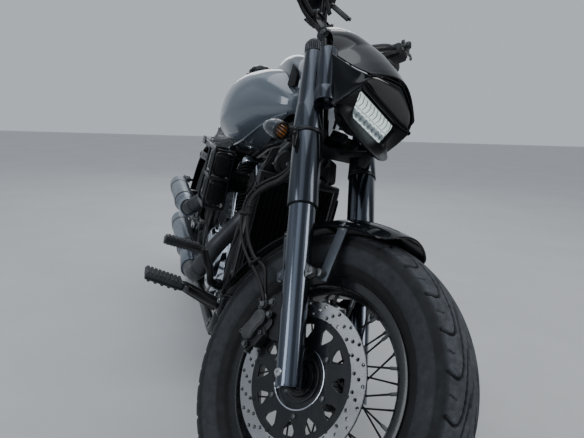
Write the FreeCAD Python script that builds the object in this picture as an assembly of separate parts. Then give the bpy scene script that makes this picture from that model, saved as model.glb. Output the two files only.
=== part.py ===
import FreeCAD, Part
import os, math

# Cruiser motorcycle, parked on its side stand with the steering on its left stop.
# Design axes, upright and straight: +X is the rider's left, +Y backward, +Z up,
# origin on the floor under the front axle.  Units are millimetres and degrees.
# At the end everything is steered, leaned and set down on the floor.

Vec = FreeCAD.Vector

# ---------------------------------------------------------------- driving sizes
WHEELBASE = 1655.0
RAKE = 33.0                 # steering axis from the vertical
AXLE_OFFSET = 56.0          # front axle ahead of the steering axis
STEER = 32.0                # left stop
LEAN = 12.5                 # lean onto the side stand
F_TYRE_R, F_TYRE_HALF, F_CROWN_R = 320.0, 65.0, 105.0
R_TYRE_R, R_TYRE_HALF, R_CROWN_R = 326.5, 85.0, 125.0
LEG_X, LEG_U = 116.0, 7.0   # fork leg: sideways, and ahead of the axle
SLIDER_R, COVER_R, TUBE_R = 28.8, 33.3, 20.5
AXLE_R, BORE_R = 10.0, 10.05
DISC_X, DISC_R, DISC_IN, DISC_T = 76.0, 153.5, 119.0, 5.0
PLATE_HOLES = 125.0         # between the two plate screws
SHIFT_X, SHIFT_Y = -181.825, -886.27 # to the middle of the whole box, set from its size

# ---------------------------------------------------------------- small helpers
def sind(a): return math.sin(math.radians(a))
def cosd(a): return math.cos(math.radians(a))

def unit(v):
    w = Vec(v); w.normalize(); return w

def rod(a, b, r):
    a, b = Vec(*a), Vec(*b)
    d = b.sub(a)
    return Part.makeCylinder(r, d.Length, a, d)

def cone(a, b, r1, r2):
    a, b = Vec(*a), Vec(*b)
    d = b.sub(a)
    if abs(r1 - r2) < 1e-6:
        return Part.makeCylinder(r1, d.Length, a, d)
    return Part.makeCone(r1, r2, d.Length, a, d)

def block(x0, x1, y0, y1, z0, z1, fillet=0.0, edges=None):
    s = Part.makeBox(x1 - x0, y1 - y0, z1 - z0, Vec(x0, y0, z0))
    if fillet > 0:
        if edges is None:
            es = s.Edges
        else:
            es = [e for e in s.Edges if abs(unit(e.tangentAt(e.FirstParameter)).dot(edges)) > 0.99]
        s = s.makeFillet(fillet, es)
    return s

def face_of(points):
    pts = [Vec(*p) for p in points]
    return Part.Face(Part.makePolygon(pts + [pts[0]]))

def prism(points, direction):
    return face_of(points).extrude(Vec(*direction))

def fuse(shapes):
    out = shapes[0]
    if len(shapes) > 1:
        out = out.multiFuse(shapes[1:])
    out = out.removeSplitter()
    if out.ShapeType == "Compound" and len(out.Solids) == 1:
        out = out.Solids[0]
    return out

def cut(a, tools):
    out = a.cut(tools if isinstance(tools, list) else [tools])
    if out.ShapeType == "Compound" and len(out.Solids) == 1:
        out = out.Solids[0]
    return out

def bend_path(points, radius=None):
    """Straight runs joined by tangent arcs; radius None takes the largest that fits."""
    P = [Vec(*p) for p in points]
    edges, radii, last = [], [], P[0]
    for i in range(1, len(P) - 1):
        a, b = unit(P[i - 1].sub(P[i])), unit(P[i + 1].sub(P[i]))
        turn = math.pi - a.getAngle(b)
        if turn < 0.01:
            continue
        room = 0.45 * min(P[i - 1].distanceToPoint(P[i]), P[i + 1].distanceToPoint(P[i]))
        rr = room / math.tan(turn / 2)
        if radius is not None:
            rr = min(radius, rr)
        t = rr * math.tan(turn / 2)
        p0, p1 = P[i].add(Vec(a).multiply(t)), P[i].add(Vec(b).multiply(t))
        bis = unit(a.add(b))
        mid = P[i].add(bis.multiply(rr / math.cos(turn / 2) - rr))
        if last.distanceToPoint(p0) > 1e-4:
            edges.append(Part.LineSegment(last, p0).toShape())
        edges.append(Part.Arc(p0, mid, p1).toShape())
        radii.append(round(rr, 1))
        last = p1
    edges.append(Part.LineSegment(last, P[-1]).toShape())
    return Part.Wire(edges), radii

def tube(points, r, radius=None, inner=0.0, name=""):
    """Round tube along straight runs and tangent arcs."""
    wire, radii = bend_path(points, radius)
    e0 = wire.OrderedEdges[0]
    p, t = e0.valueAt(e0.FirstParameter), e0.tangentAt(e0.FirstParameter)
    if p.distanceToPoint(Vec(*points[0])) > 1e-3:
        p, t = e0.valueAt(e0.LastParameter), e0.tangentAt(e0.LastParameter).multiply(-1)
    def swept(rad):
        prof = Part.Wire([Part.Circle(p, t, rad).toShape()])
        s = wire.makePipeShell([prof], True, False)
        if s.ShapeType != "Solid":
            s = Part.Solid(s)
        want = math.pi * rad * rad * wire.Length
        if not s.isValid() or abs(abs(s.Volume) - want) > 0.01 * want:
            print("tube", name, "volume", s.Volume, "wanted", want, s.isValid())
        return s
    s = swept(r)
    if inner > 0:
        s = cut(s, swept(inner))
    if name:
        print(name, "bend radii", radii)
    return s

def ring(x0, x1, r_out, r_in, y=0.0, z=0.0):
    s = Part.makeCylinder(r_out, x1 - x0, Vec(x0, y, z), Vec(1, 0, 0))
    if r_in > 0:
        s = cut(s, Part.makeCylinder(r_in, x1 - x0 + 2, Vec(x0 - 1, y, z), Vec(1, 0, 0)))
    return s

def section(y, half, z0, z1, corner, x=0.0):
    """Rounded rectangle across the machine at one y: four lines and four arcs."""
    c = min(corner, half * 0.98, (z1 - z0) * 0.49)
    k = c * (1 - math.sqrt(0.5))
    xl, xr = x - half, x + half
    L, A = [], Part.Arc
    def seg(a, b): return Part.LineSegment(Vec(a[0], y, a[1]), Vec(b[0], y, b[1])).toShape()
    def arc(a, m, b): return A(Vec(a[0], y, a[1]), Vec(m[0], y, m[1]), Vec(b[0], y, b[1])).toShape()
    L.append(seg((xl + c, z0), (xr - c, z0)))
    L.append(arc((xr - c, z0), (xr - k, z0 + k), (xr, z0 + c)))
    L.append(seg((xr, z0 + c), (xr, z1 - c)))
    L.append(arc((xr, z1 - c), (xr - k, z1 - k), (xr - c, z1)))
    L.append(seg((xr - c, z1), (xl + c, z1)))
    L.append(arc((xl + c, z1), (xl + k, z1 - k), (xl, z1 - c)))
    L.append(seg((xl, z1 - c), (xl, z0 + c)))
    L.append(arc((xl, z0 + c), (xl + k, z0 + k), (xl + c, z0)))
    return Part.Wire(L)

def loft(wires, ruled=True):
    return Part.makeLoft(wires, True, ruled)


def mat_move(x, y, z):
    m = FreeCAD.Matrix(); m.move(Vec(x, y, z)); return m

def mat_turn(axis, deg, about=(0, 0, 0)):
    pl = FreeCAD.Placement(Vec(0, 0, 0), FreeCAD.Rotation(Vec(*axis), deg), Vec(*about))
    return pl.toMatrix()

# fork frame: x left, y backward square to the legs, z up along the legs, origin on the axle
FORK_TO_DESIGN = mat_move(0, 0, F_TYRE_R).multiply(mat_turn((1, 0, 0), -RAKE))
STEER_TURN = mat_turn((0, 0, 1), STEER, (0, AXLE_OFFSET, 0))
# mask frame: level with the floor when upright, origin at the middle of the lamp
LAMP_U, LAMP_V = 103.0, 606.0
MASK_TO_FORK = mat_move(0, -LAMP_U, LAMP_V).multiply(mat_turn((1, 0, 0), RAKE))

# ---------------------------------------------------------------- resting on the floor
def wheel_low(centre, axle, R, crown):
    a = unit(axle)
    flat = math.sqrt(max(0.0, 1 - a.z * a.z))
    return centre.z - ((R - crown) * flat + crown)

def rest_matrix(pitch, heave):
    m = mat_move(SHIFT_X, SHIFT_Y, heave)
    return m.multiply(mat_turn((1, 0, 0), pitch)).multiply(mat_turn((0, 1, 0), LEAN))

def lows(pitch, heave):
    M = rest_matrix(pitch, heave)
    F = M.multiply(FORK_TO_DESIGN).multiply(STEER_TURN)
    def point(m, p): return m.multVec(Vec(*p))
    fc = point(F, (0, 0, 0)); fa = point(F, (1, 0, 0)).sub(fc)
    rc = point(M, (0, WHEELBASE, R_TYRE_R)); ra = point(M, (1, WHEELBASE, R_TYRE_R)).sub(rc)
    return wheel_low(fc, fa, F_TYRE_R, F_CROWN_R), wheel_low(rc, ra, R_TYRE_R, R_CROWN_R)

PITCH, HEAVE = 0.0, 0.0
for _ in range(20):
    f, r = lows(PITCH, HEAVE)
    PITCH -= math.degrees((r - f) / WHEELBASE)
    f, r = lows(PITCH, HEAVE)
    HEAVE -= 0.5 * (f + r)
REST = rest_matrix(PITCH, HEAVE)
FORK_REST = REST.multiply(FORK_TO_DESIGN).multiply(STEER_TURN)
print("pitch %.5f heave %.5f lows %s" % (PITCH, HEAVE, lows(PITCH, HEAVE)))

nodes = {}          # name -> (shape, "frame" or "fork")
def add(name, shape, where):
    if isinstance(shape, list):
        shape = Part.makeCompound(shape)
    nodes[name] = (shape, where)

# ================================================================ wheels
def wheel(prefix, R, half, crown, rim_r, rim_half, hub, where, centre, spoke_count, hub_half):
    cy, cz = centre
    def at(s): return s.transformed(mat_move(0, cy, cz))
    edge = half - 7.0
    drop = crown - math.sqrt(crown * crown - edge * edge)
    seat = rim_r - 13.0                       # bead seat radius
    wide = rim_r + (R - rim_r) * 0.46         # radius at the widest point
    def L(a, b): return Part.LineSegment(Vec(a[0], 0, a[1]), Vec(b[0], 0, b[1])).toShape()
    def A(a, m, b): return Part.Arc(Vec(a[0], 0, a[1]), Vec(m[0], 0, m[1]), Vec(b[0], 0, b[1])).toShape()
    inx = rim_half - 4.0
    prof = [L((-inx, seat), (inx, seat)), L((inx, seat), (inx, rim_r + 2)),
            A((inx, rim_r + 2), (half, wide), (edge, R - drop)),
            A((edge, R - drop), (0, R), (-edge, R - drop)),
            A((-edge, R - drop), (-half, wide), (-inx, rim_r + 2)),
            L((-inx, rim_r + 2), (-inx, seat))]
    tyre = Part.Face(Part.Wire(prof)).revolve(Vec(0, 0, 0), Vec(1, 0, 0), 360)
    add(prefix + "_tyre", at(tyre), where)
    # rim: columns x, radius; outside face then inside face, right to left
    w, f = rim_half, rim_r
    outer = [(-w, f), (-w + 3.9, f), (-w + 3.9, seat - 0.1), (-w * 0.55, seat - 0.1), (-w * 0.38, seat - 15),
             (w * 0.38, seat - 15), (w * 0.55, seat - 0.1), (w - 3.9, seat - 0.1), (w - 3.9, f), (w, f)]
    inner = [(w, seat - 7), (w * 0.62, seat - 9), (w * 0.42, seat - 22), (-w * 0.42, seat - 22),
             (-w * 0.62, seat - 9), (-w, seat - 7)]
    rim = face_of([(x, 0, r) for x, r in outer + inner]).revolve(Vec(0, 0, 0), Vec(1, 0, 0), 360)
    add(prefix + "_rim", at(rim), where)
    # hub: columns x, radius of the stepped barrel
    barrel = face_of([(x, 0, r) for x, r in hub] + [(hub[-1][0], 0, BORE_R), (hub[0][0], 0, BORE_R)])
    add(prefix + "_hub", at(barrel.revolve(Vec(0, 0, 0), Vec(1, 0, 0), 360)), where)
    # spokes: leaning fore and aft in pairs from each flange to the rim's middle
    spokes, n = [], spoke_count
    for i in range(n):
        side = -1 if i % 2 else 1
        lean = 1 if (i // 2) % 2 else -1
        a = 360.0 * i / n
        xh = side * (hub_half + (4 if lean > 0 else -4))
        a2 = a + lean * 26.0
        p = (xh, 46.0 * sind(a - lean * 22), 46.0 * cosd(a - lean * 22))
        q = (side * 9.0, (seat - 21.0) * sind(a2 * 1.0 - lean * 6), (seat - 21.0) * cosd(a2 * 1.0 - lean * 6))
        spokes.append(rod(p, q, 2.2))
    add(prefix + "_spokes", at(Part.makeCompound(spokes)), where)

F_HUB = [(-88, 16), (-88, 24), (-79, 24), (-79, 36), (-73.5, 36), (-73.5, 56), (-66, 56), (-60, 40), (-46, 40), (-46, 50),
         (-30, 50), (-26, 34), (26, 34), (30, 50), (46, 50), (46, 38), (62, 38), (70, 24), (88, 24), (88, 16)]
R_HUB = [(-88, 18), (-88, 26), (-81, 26), (-81, 58), (-70, 58), (-62, 40), (-46, 40), (-46, 50), (-30, 50), (-26, 40),
         (26, 40), (30, 50), (46, 50), (46, 44), (60, 44), (66, 62), (80, 62), (80, 26), (86, 26), (86, 18)]
wheel("front", F_TYRE_R, F_TYRE_HALF, F_CROWN_R, 217.0, 43.0, F_HUB, "fork", (0, 0), 40, 38.0)
wheel("rear", R_TYRE_R, R_TYRE_HALF, R_CROWN_R, 204.0, 58.0, R_HUB, "frame", (WHEELBASE, R_TYRE_R), 40, 38.0)

def disc(x, r_out, r_in, thick, inner, windows, win_in, win_out, y=0.0, z=0.0):
    """Brake rotor ring on a windowed carrier."""
    rotor = ring(x - thick / 2, x + thick / 2, r_out, r_in - 3, y, z)
    plate = ring(x - thick / 2 + 0.5, x + thick / 2 - 0.5, r_in + 1, inner, y, z)
    cuts = []
    for i in range(windows):
        a = 360.0 * i / windows
        pts = []
        for r, da in ((win_out, -10.5), (win_out, 10.5), (win_in, 2.6), (win_in, -2.6)):
            pts.append((x - thick, y + r * sind(a + da), z + r * cosd(a + da)))
        cuts.append(prism(pts, (2 * thick, 0, 0)))
    return fuse([rotor, cut(plate, cuts)])

add("front_disc", disc(-DISC_X, DISC_R, DISC_IN, DISC_T, 36.0, 12, 76.0, 108.0), "fork")
add("rear_disc", disc(-86.0, 125.0, 95.0, DISC_T, 26.0, 10, 68.0, 86.0, WHEELBASE, R_TYRE_R), "frame")

# ================================================================ fork
def leg(x, z0, z1, r0, r1=None):
    return cone((x, -LEG_U, z0), (x, -LEG_U, z1), r0, r0 if r1 is None else r1)

def fork_leg(s):
    x = s * LEG_X
    body = fuse([leg(x, -25, 350, 26.0, SLIDER_R),
                 block(x - 9, x + 9, -50, 40, 190, 208, 4.0, Vec(1, 0, 0)),
                 block(x - 14, x + 14, 8, 30, -16, 16, 5.0, Vec(1, 0, 0))])
    return cut(body, Part.makeCylinder(AXLE_R, 80, Vec(x - 40, 0, 0), Vec(1, 0, 0)))

add("fork_sliders", [fork_leg(-1), fork_leg(1)], "fork")

def fork_cover(s):
    x = s * LEG_X
    return fuse([leg(x, 350, 530, COVER_R), leg(x, 530, 757, 35.0, 22.5), leg(x, 757, 792, 18.0)])

# sleeve beside each cover that the mask bolts to
def mask_sleeve(s):
    x = s * LEG_X
    return fuse([cone((x, -52, 608), (x, -52, 745), 21.5, 19.5), block(x - 5, x + 5, -38, -25, 630, 735)])

STEM_R, STEM_BORE = 14.0, 14.05
def clamp_plate(z0, z1, boss, hole):
    parts = [cone((0, AXLE_OFFSET, z0), (0, AXLE_OFFSET, z1), 34, 34)]
    for s in (-1, 1):
        parts.append(leg(s * LEG_X, z0, z1, boss))
        parts.append(prism([(s * 8, AXLE_OFFSET - 26, z0), (s * 8, AXLE_OFFSET + 20, z0), (s * (LEG_X - 4), 20, z0),
                            (s * (LEG_X - 4), -24, z0), (s * 40, -10, z0)], (0, 0, z1 - z0)))
    p = fuse(parts)
    return cut(p, [leg(s * LEG_X, z0 - 5, z1 + 5, hole) for s in (-1, 1)])
yokes = fuse([clamp_plate(572, 606, 26, TUBE_R), clamp_plate(758, 784, 25, 18.0),
              cone((0, AXLE_OFFSET, 600), (0, AXLE_OFFSET, 762), STEM_R, STEM_R)])
add("fork_yokes", yokes, "fork")
# the tapered shrouds go round the lower clamp, which leaves them toward the stem
add("fork_covers", [cut(fuse([fork_cover(s), mask_sleeve(s)]), yokes) for s in (-1, 1)], "fork")
print("cover solids", [len(s.Solids) for s in nodes["fork_covers"][0].Solids], len(nodes["fork_covers"][0].Solids))
axle = fuse([rod((-141, 0, 0), (141, 0, 0), AXLE_R), rod((140, 0, 0), (148, 0, 0), 13.0), rod((-145, 0, 0), (-140, 0, 0), 8.0)])
add("front_axle", cut(axle, nodes["fork_sliders"][0]), "fork")

# front fender: an arc section swept round the axle, from ahead of the crown to behind it
def fender(half, r_side, r_top, thick, a0, a1, y=0.0, z=0.0):
    def A(a, m, b): return Part.Arc(Vec(a[0], 0, a[1]), Vec(m[0], 0, m[1]), Vec(b[0], 0, b[1])).toShape()
    def L(a, b): return Part.LineSegment(Vec(a[0], 0, a[1]), Vec(b[0], 0, b[1])).toShape()
    o = [(-half, r_side), (-half * 0.72, (r_side + r_top) / 2 + (r_top - r_side) * 0.16), (0, r_top)]
    q = thick
    prof = Part.Wire([A((-half, r_side), (0, r_top), (half, r_side)), L((half, r_side), (half - q, r_side - q * 0.2)),
                      A((half - q, r_side - q * 0.2), (0, r_top - q), (-half + q, r_side - q * 0.2)),
                      L((-half + q, r_side - q * 0.2), (-half, r_side))])
    s = Part.Face(prof).revolve(Vec(0, 0, 0), Vec(1, 0, 0), a1 - a0)
    # angle 0 is straight up, positive backward (towards +y): turning about +x goes the other way
    return s.transformed(mat_move(0, y, z).multiply(mat_turn((1, 0, 0), -a1)))
add("front_fender", fender(84.0, 314.0, 350.0, 3.5, -38.0, 52.0), "fork")
def blade(x0, y0, z0, x1, y1, z1, thick, wide):
    """Flat bar leaning from one four-sided end to the other."""
    def quad(x, y, z):
        return Part.makePolygon([Vec(x, y, z), Vec(x + thick, y, z), Vec(x + thick, y + wide, z), Vec(x, y + wide, z), Vec(x, y, z)])
    return Part.makeLoft([quad(x0, y0, z0), quad(x1, y1, z1)], True, True)
def fender_strut(s):
    front = fuse([block(-107, -88, -60, -50, 190, 208), blade(-92, -60, 190, -82, -102, 304, 4.0, 15.0)])
    back = fuse([block(-107, -88, 40, 50, 190, 208), blade(-92, 36, 190, -82, 52, 312, 4.0, 14.0)])
    out = [cut(q if s < 0 else q.mirror(Vec(0, 0, 0), Vec(1, 0, 0)), nodes["front_fender"][0]) for q in (front, back)]
    return [max(q.Solids, key=lambda w: w.Volume) for q in out]
add("fender_struts", fender_strut(-1) + fender_strut(1), "fork")

# brake caliper: behind the right leg, astride the disc
CAL_A, CAL_R = 43.5, 146.0          # angle behind the leg line, radius of its middle
def caliper():
    t = mat_turn((1, 0, 0), -CAL_A)
    outer = block(-108, -81.5, -39, 39, 114, 172, 12.0, Vec(1, 0, 0))
    inner = block(-70.5, -54, -32, 32, 116, 172, 8.0, Vec(1, 0, 0))
    bridge = block(-84, -68, -28, 28, 157.5, 178, 4.0, Vec(1, 0, 0))
    pots = [Part.makeCylinder(17.5, 8, Vec(-116, s * 18.5, CAL_R), Vec(1, 0, 0)) for s in (-1, 1)]
    body = fuse([outer, inner, bridge] + pots)
    return body.transformed(t)
def caliper_bracket():
    x0, x1 = -100.0, -93.0
    plate = prism([(x0, 14, 96), (x0, 14, 166), (x0, 74, 166), (x0, 84, 146), (x0, 66, 74), (x0, 30, 66)], (x1 - x0, 0, 0))
    return cut(plate, leg(-LEG_X, -30, 360, SLIDER_R))
add("brake_caliper", fuse([caliper(), caliper_bracket()]), "fork")

# brake hose: from the caliper up behind the leg to the lower clamp, fork frame points x, y, z
HOSE = [(-97, 86, 148), (-97, 93, 190), (-93, 104, 235), (-90, 140, 268), (-88, 168, 318), (-88, 178, 376), (-88, 172, 416),
        (-86, 156, 438), (-85, 128, 448), (-83, 94, 454), (-77, 68, 474), (-66, 54, 520), (-60, 52, 571)]
add("brake_hose", tube(HOSE, 4.5, name="brake_hose"), "fork")

# headlight mask, mask frame: x left, y backward, z up from the middle of the lamp
# columns: y, half width, bottom z, top z, corner radius, of the outside
MASK = [(-40, 112, -58, 96, 58), (40, 117, -30, 126, 60), (148, 116, 30, 170, 56), (235, 80, 110, 199, 40), (306, 26, 196, 219, 10)]
MASK_T = 4.0
def headlight_mask():
    t = MASK_T
    out = loft([section(*r) for r in MASK])
    hollow = []
    for i, (y, h, a, b, c) in enumerate(MASK):
        if i == 0:
            y -= 4
        elif i == len(MASK) - 1:
            y, h = y + 8, h - 7
        hollow.append(section(y, h - t, a - 60, b - t, max(c - t, 5)))
    shell = cut(out, loft(hollow))
    # trimmed behind a line that runs just ahead of the fork leg, low on the sides
    shell = cut(shell, prism([(-160, 45, -120), (-160, 49, -12), (-160, 152, 150), (-160, 250, 150), (-160, 250, -120)], (320, 0, 0)))
    # chin below the lamp, tied to both sides
    chin = loft([section(-40, 108.2, -62, -50, 5.9), section(-66, 22, -90, -82, 3.9)])
    out = fuse([shell, chin])
    return out if len(out.Solids) == 1 else max(out.Solids, key=lambda q: q.Volume)
mask_ = cut(headlight_mask().transformed(MASK_TO_FORK), nodes["fork_covers"][0])
add("headlight_mask", max(mask_.Solids, key=lambda q: q.Volume), "fork")
lamp = fuse([block(-78, 78, -6, 55, -42, 46, 24.0, Vec(0, 1, 0)), Part.makeCylinder(52, 40, Vec(0, 50, 2), Vec(0, 1, 0))])
lens = block(-74, 74, -14, -6, -38, 42, 22.0, Vec(0, 1, 0))
add("headlight_housing", lamp.transformed(MASK_TO_FORK), "fork")
add("headlight_lens", lens.transformed(MASK_TO_FORK), "fork")

# handlebar, fork frame; columns x, y, z of its left half
BAR = [(0, 66, 972), (62, 66, 970), (150, 50, 986), (257, -17, 1047), (412, 63, 1106)]
bar_pts = [(-x, y, z) for x, y, z in reversed(BAR)] + BAR[1:]
BAR_R, GRIP_R = 12.7, 17.0
bar = tube(bar_pts, BAR_R, 90.0, name="handlebar")
def along_bar(s, d0, d1):
    """Two points on the outer straight of the bar, d measured inward from its end."""
    a, b = Vec(s * BAR[-1][0], *BAR[-1][1:]), Vec(s * BAR[-2][0], *BAR[-2][1:])
    u = unit(b.sub(a))
    p, q = a.add(Vec(u).multiply(d0)), a.add(Vec(u).multiply(d1))
    return tuple(p), tuple(q)
def sleeve_on_bar(s, d0, d1, r, hole=BAR_R):
    p, q = along_bar(s, d0, d1)
    u = unit(Vec(*q).sub(Vec(*p)))
    pp, qq = Vec(*p).sub(Vec(u).multiply(2)), Vec(*q).add(Vec(u).multiply(2))
    return cut(rod(p, q, r), rod(tuple(pp), tuple(qq), hole))
add("grips", [sleeve_on_bar(s, 0, 118, GRIP_R) for s in (-1, 1)], "fork")
def controls(s):
    sw = sleeve_on_bar(s, 119, 149, 23.0)
    p, q = along_bar(s, 108, 134)
    # lever blade ahead of the grip
    tip, root = along_bar(s, 6, 134)
    tip = (tip[0], tip[1] - 62, tip[2] + 8); root = (root[0], root[1] - 52, root[2] + 6)
    lever = rod(root, tip, 6.0)
    perch = rod((q[0], q[1] - 18, q[2]), root, 9.0)
    pot = None
    parts = [sw, lever, perch]
    if s < 0:
        parts.append(block(q[0] - 22, q[0] + 22, q[1] - 62, q[1] - 24, q[2] + 6, q[2] + 42, 8.0, Vec(0, 0, 1)))
    else:
        parts.append(block(q[0] - 14, q[0] + 14, q[1] - 50, q[1] - 18, q[2] + 2, q[2] + 26, 6.0, Vec(0, 0, 1)))
    return cut(fuse(parts), [rod(*along_bar(s, 90, 170), BAR_R), bar])
add("hand_controls", [controls(s) for s in (-1, 1)], "fork")
def riser(s):
    x = s * 34.0
    foot = fuse([cone((x, 14, 784), (x, 22, 892), 14.0, 13.0), Part.makeCylinder(22, 26, Vec(x - 13, 22, 892), Vec(1, 0, 0)),
                 cone((x, 22, 892), (x, 66, 971), 13.0, 13.0)])
    cap = Part.makeCylinder(21, 30, Vec(x - 15, 66, 971), Vec(1, 0, 0))
    return cut(fuse([foot, cap]), [rod((x - 40, 66, 971), (x + 40, 66, 971), BAR_R), bar, yokes])
add("handlebar", bar, "fork")
add("bar_risers", [riser(s) for s in (-1, 1)], "fork")
# the mask's tail is notched round the risers
mask_ = cut(nodes["headlight_mask"][0], nodes["bar_risers"][0])
add("headlight_mask", max(mask_.Solids, key=lambda q: q.Volume), "fork")
# round instrument above the middle of the bar, with its bracket
inst = cone((0, 70, 1072), (0, 88, 1102), 46, 49)
add("instrument", fuse([block(-14, 14, 58, 82, 984.4, 1080, 3.0, Vec(0, 0, 1)), inst]), "fork")
# front indicators on clamps round the fork covers
def front_indicator(s):
    c = Vec(s * (LEG_X + 62), 34, 525)
    arm = rod((s * (LEG_X + 34), -LEG_U + 6, 526), tuple(c), 7.0)
    # pod points level fore and aft when upright: mask axes
    d = Vec(0, cosd(RAKE), sind(RAKE))
    tail = c.add(Vec(d).multiply(44)); nose = c.sub(Vec(d).multiply(18))
    pod = fuse([cone(tuple(nose), tuple(c), 21, 22), cone(tuple(c), tuple(tail), 22, 8)])
    clampr = cut(leg(s * LEG_X, 521, 531, 37.5), leg(s * LEG_X, 515, 540, COVER_R))
    return cut(fuse([arm, pod, clampr]), [leg(s * LEG_X, 515, 530, COVER_R), nodes["fork_covers"][0]])
add("front_indicators", [front_indicator(s) for s in (-1, 1)], "fork")

# ================================================================ frame and engine
def axis_point(v, back=0.0, x=0.0):
    """Point at v along the fork, back behind the steering axis, in design axes."""
    p = FORK_TO_DESIGN.multVec(Vec(x, AXLE_OFFSET + back, v))
    return (p.x, p.y, p.z)
head = cut(rod(axis_point(607.0), axis_point(757.0), 27.0), rod(axis_point(600.0), axis_point(765.0), STEM_BORE))
BACKBONE_R, CRADLE_R = 24.0, 16.0
backbone = tube([axis_point(690, 22), (0, 620, 788), (0, 900, 744), (0, 1084, 690)], BACKBONE_R, 200.0, name="backbone")
gusset = prism([(-5,) + axis_point(615, 20)[1:], (-5,) + axis_point(735, 20)[1:], (-5, 600, 790), (-5, 520, 742)], (10, 0, 0))
rear_tie = rod((-104, 1104, 666), (104, 1104, 666), 14.0)
rail = tube([(98, 1000, 690), (112, 1290, 636), (116, 1500, 660), (116, 1700, 664)], 13.0, 120.0, name="seat_rail")
add("main_frame", cut(fuse([head, backbone, gusset, rear_tie, rail, rail.mirror(Vec(0, 0, 0), Vec(1, 0, 0))]), rod(axis_point(600.0), axis_point(765.0), STEM_BORE)), "frame")
CRADLE = [axis_point(640, 24, 22)[0:3], (86, 466, 690), (108, 480, 500), (108, 505, 190), (105, 1010, 185), (105, 1110, 380), (105, 1060, 600), (98, 1080, 664)]
left_cradle = tube(CRADLE, CRADLE_R, 70.0, name="cradle")
right_cradle = left_cradle.mirror(Vec(0, 0, 0), Vec(1, 0, 0))
add("cradle_tubes", [left_cradle, right_cradle], "frame")
def tilt_block(half_x, half_t, l0, l1, deg, origin, fillet=0.0):
    """Block along a direction leaning deg forward (negative y) from vertical at origin (y, z)."""
    b = block(-half_x, half_x, -half_t, half_t, l0, l1, fillet, Vec(0, 0, 1)) if fillet else block(-half_x, half_x, -half_t, half_t, l0, l1)
    return b.transformed(mat_move(0, origin[0], origin[1]).multiply(mat_turn((1, 0, 0), deg)))
CRANK = (800.0, 345.0)
V_ANGLE = 27.0
case = fuse([block(-88, 88, 560, 1050, 205, 440, 30.0, Vec(1, 0, 0))])
add("engine_block", case, "frame")
cylinders = []
for deg in (V_ANGLE, -V_ANGLE):
    barrel = tilt_block(62, 60, 110, 285, deg, CRANK, 20.0)
    headb = tilt_block(74, 68, 285, 352, deg, CRANK, 18.0)
    cylinders.append(cut(fuse([barrel, headb]), case))
add("engine_cylinders", cylinders, "frame")
# side covers of the crankcase
clutch = Part.makeCylinder(112, 46, Vec(-134, 730, 345), Vec(1, 0, 0))
sprocket = Part.makeCylinder(80, 38, Vec(-126, 900, 350), Vec(1, 0, 0))
generator = Part.makeCylinder(112, 48, Vec(88, 740, 345), Vec(1, 0, 0))
bevel = Part.makeCylinder(84, 40, Vec(88, 930, 340), Vec(1, 0, 0))
add("engine_covers", [cut(fuse([clutch, sprocket]), case), cut(fuse([generator, bevel]), case)], "frame")
# radiator between the cradle's front tubes
rad = block(-114, 114, 414, 446, 340, 684, 10.0, Vec(0, 1, 0))
add("radiator", rad, "frame")
# fuel tank: columns y, half width, bottom, top, corner
TANK = [(548, 66, 858, 932, 34), (650, 144, 792, 972, 84), (790, 190, 722, 972, 122), (960, 170, 700, 938, 112), (1105, 96, 690, 838, 70)]
tank = loft([section(*r) for r in TANK])
tunnel = block(-40, 40, 470, 1120, 600, 852, 0)
tank = cut(tank, tunnel)
if len(tank.Solids) > 1:
    tank = max(tank.Solids, key=lambda s: s.Volume)
add("fuel_tank", tank, "frame")
console = loft([section(558, 36, 900, 960, 22), section(640, 56, 925, 1012, 30), section(704, 60, 940, 1024, 30), section(890, 50, 950, 976, 12)])
console = cut(console, tank)
add("tank_console", max(console.Solids, key=lambda q: q.Volume), "frame")
cap = cut(Part.makeCylinder(36, 42, Vec(-92, 842, 938), Vec(-0.22, 0, 1)), tank)
add("fuel_cap", cap if len(cap.Solids) == 1 else max(cap.Solids, key=lambda s: s.Volume), "frame")
# seats: columns y, half width, bottom, top, corner
seat_cut = fuse([tank, left_cradle, right_cradle])
seat = loft([section(1088, 76, 726, 796, 26), section(1180, 100, 690, 748, 30), section(1300, 126, 672, 716, 26),
             section(1420, 130, 678, 730, 26), section(1490, 98, 700, 798, 30)])
add("rider_seat", cut(seat, [tank]), "frame")
pillion = loft([section(1492, 88, 714, 794, 28), section(1600, 88, 728, 786, 28), section(1740, 62, 712, 764, 24)])
R_FENDER = dict(half=108.0, r_side=322.0, r_top=372.0, thick=4.0)
rear_fender = fender(R_FENDER["half"], R_FENDER["r_side"], R_FENDER["r_top"], R_FENDER["thick"], -52.0, 92.0, WHEELBASE, R_TYRE_R)
add("rear_fender", rear_fender, "frame")
fender_solid = Part.makeCylinder(373.0, 260, Vec(-130, WHEELBASE, R_TYRE_R), Vec(1, 0, 0))
add("pillion_seat", cut(pillion, fender_solid), "frame")
print("solids pillion", len(nodes["pillion_seat"][0].Solids))

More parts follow.
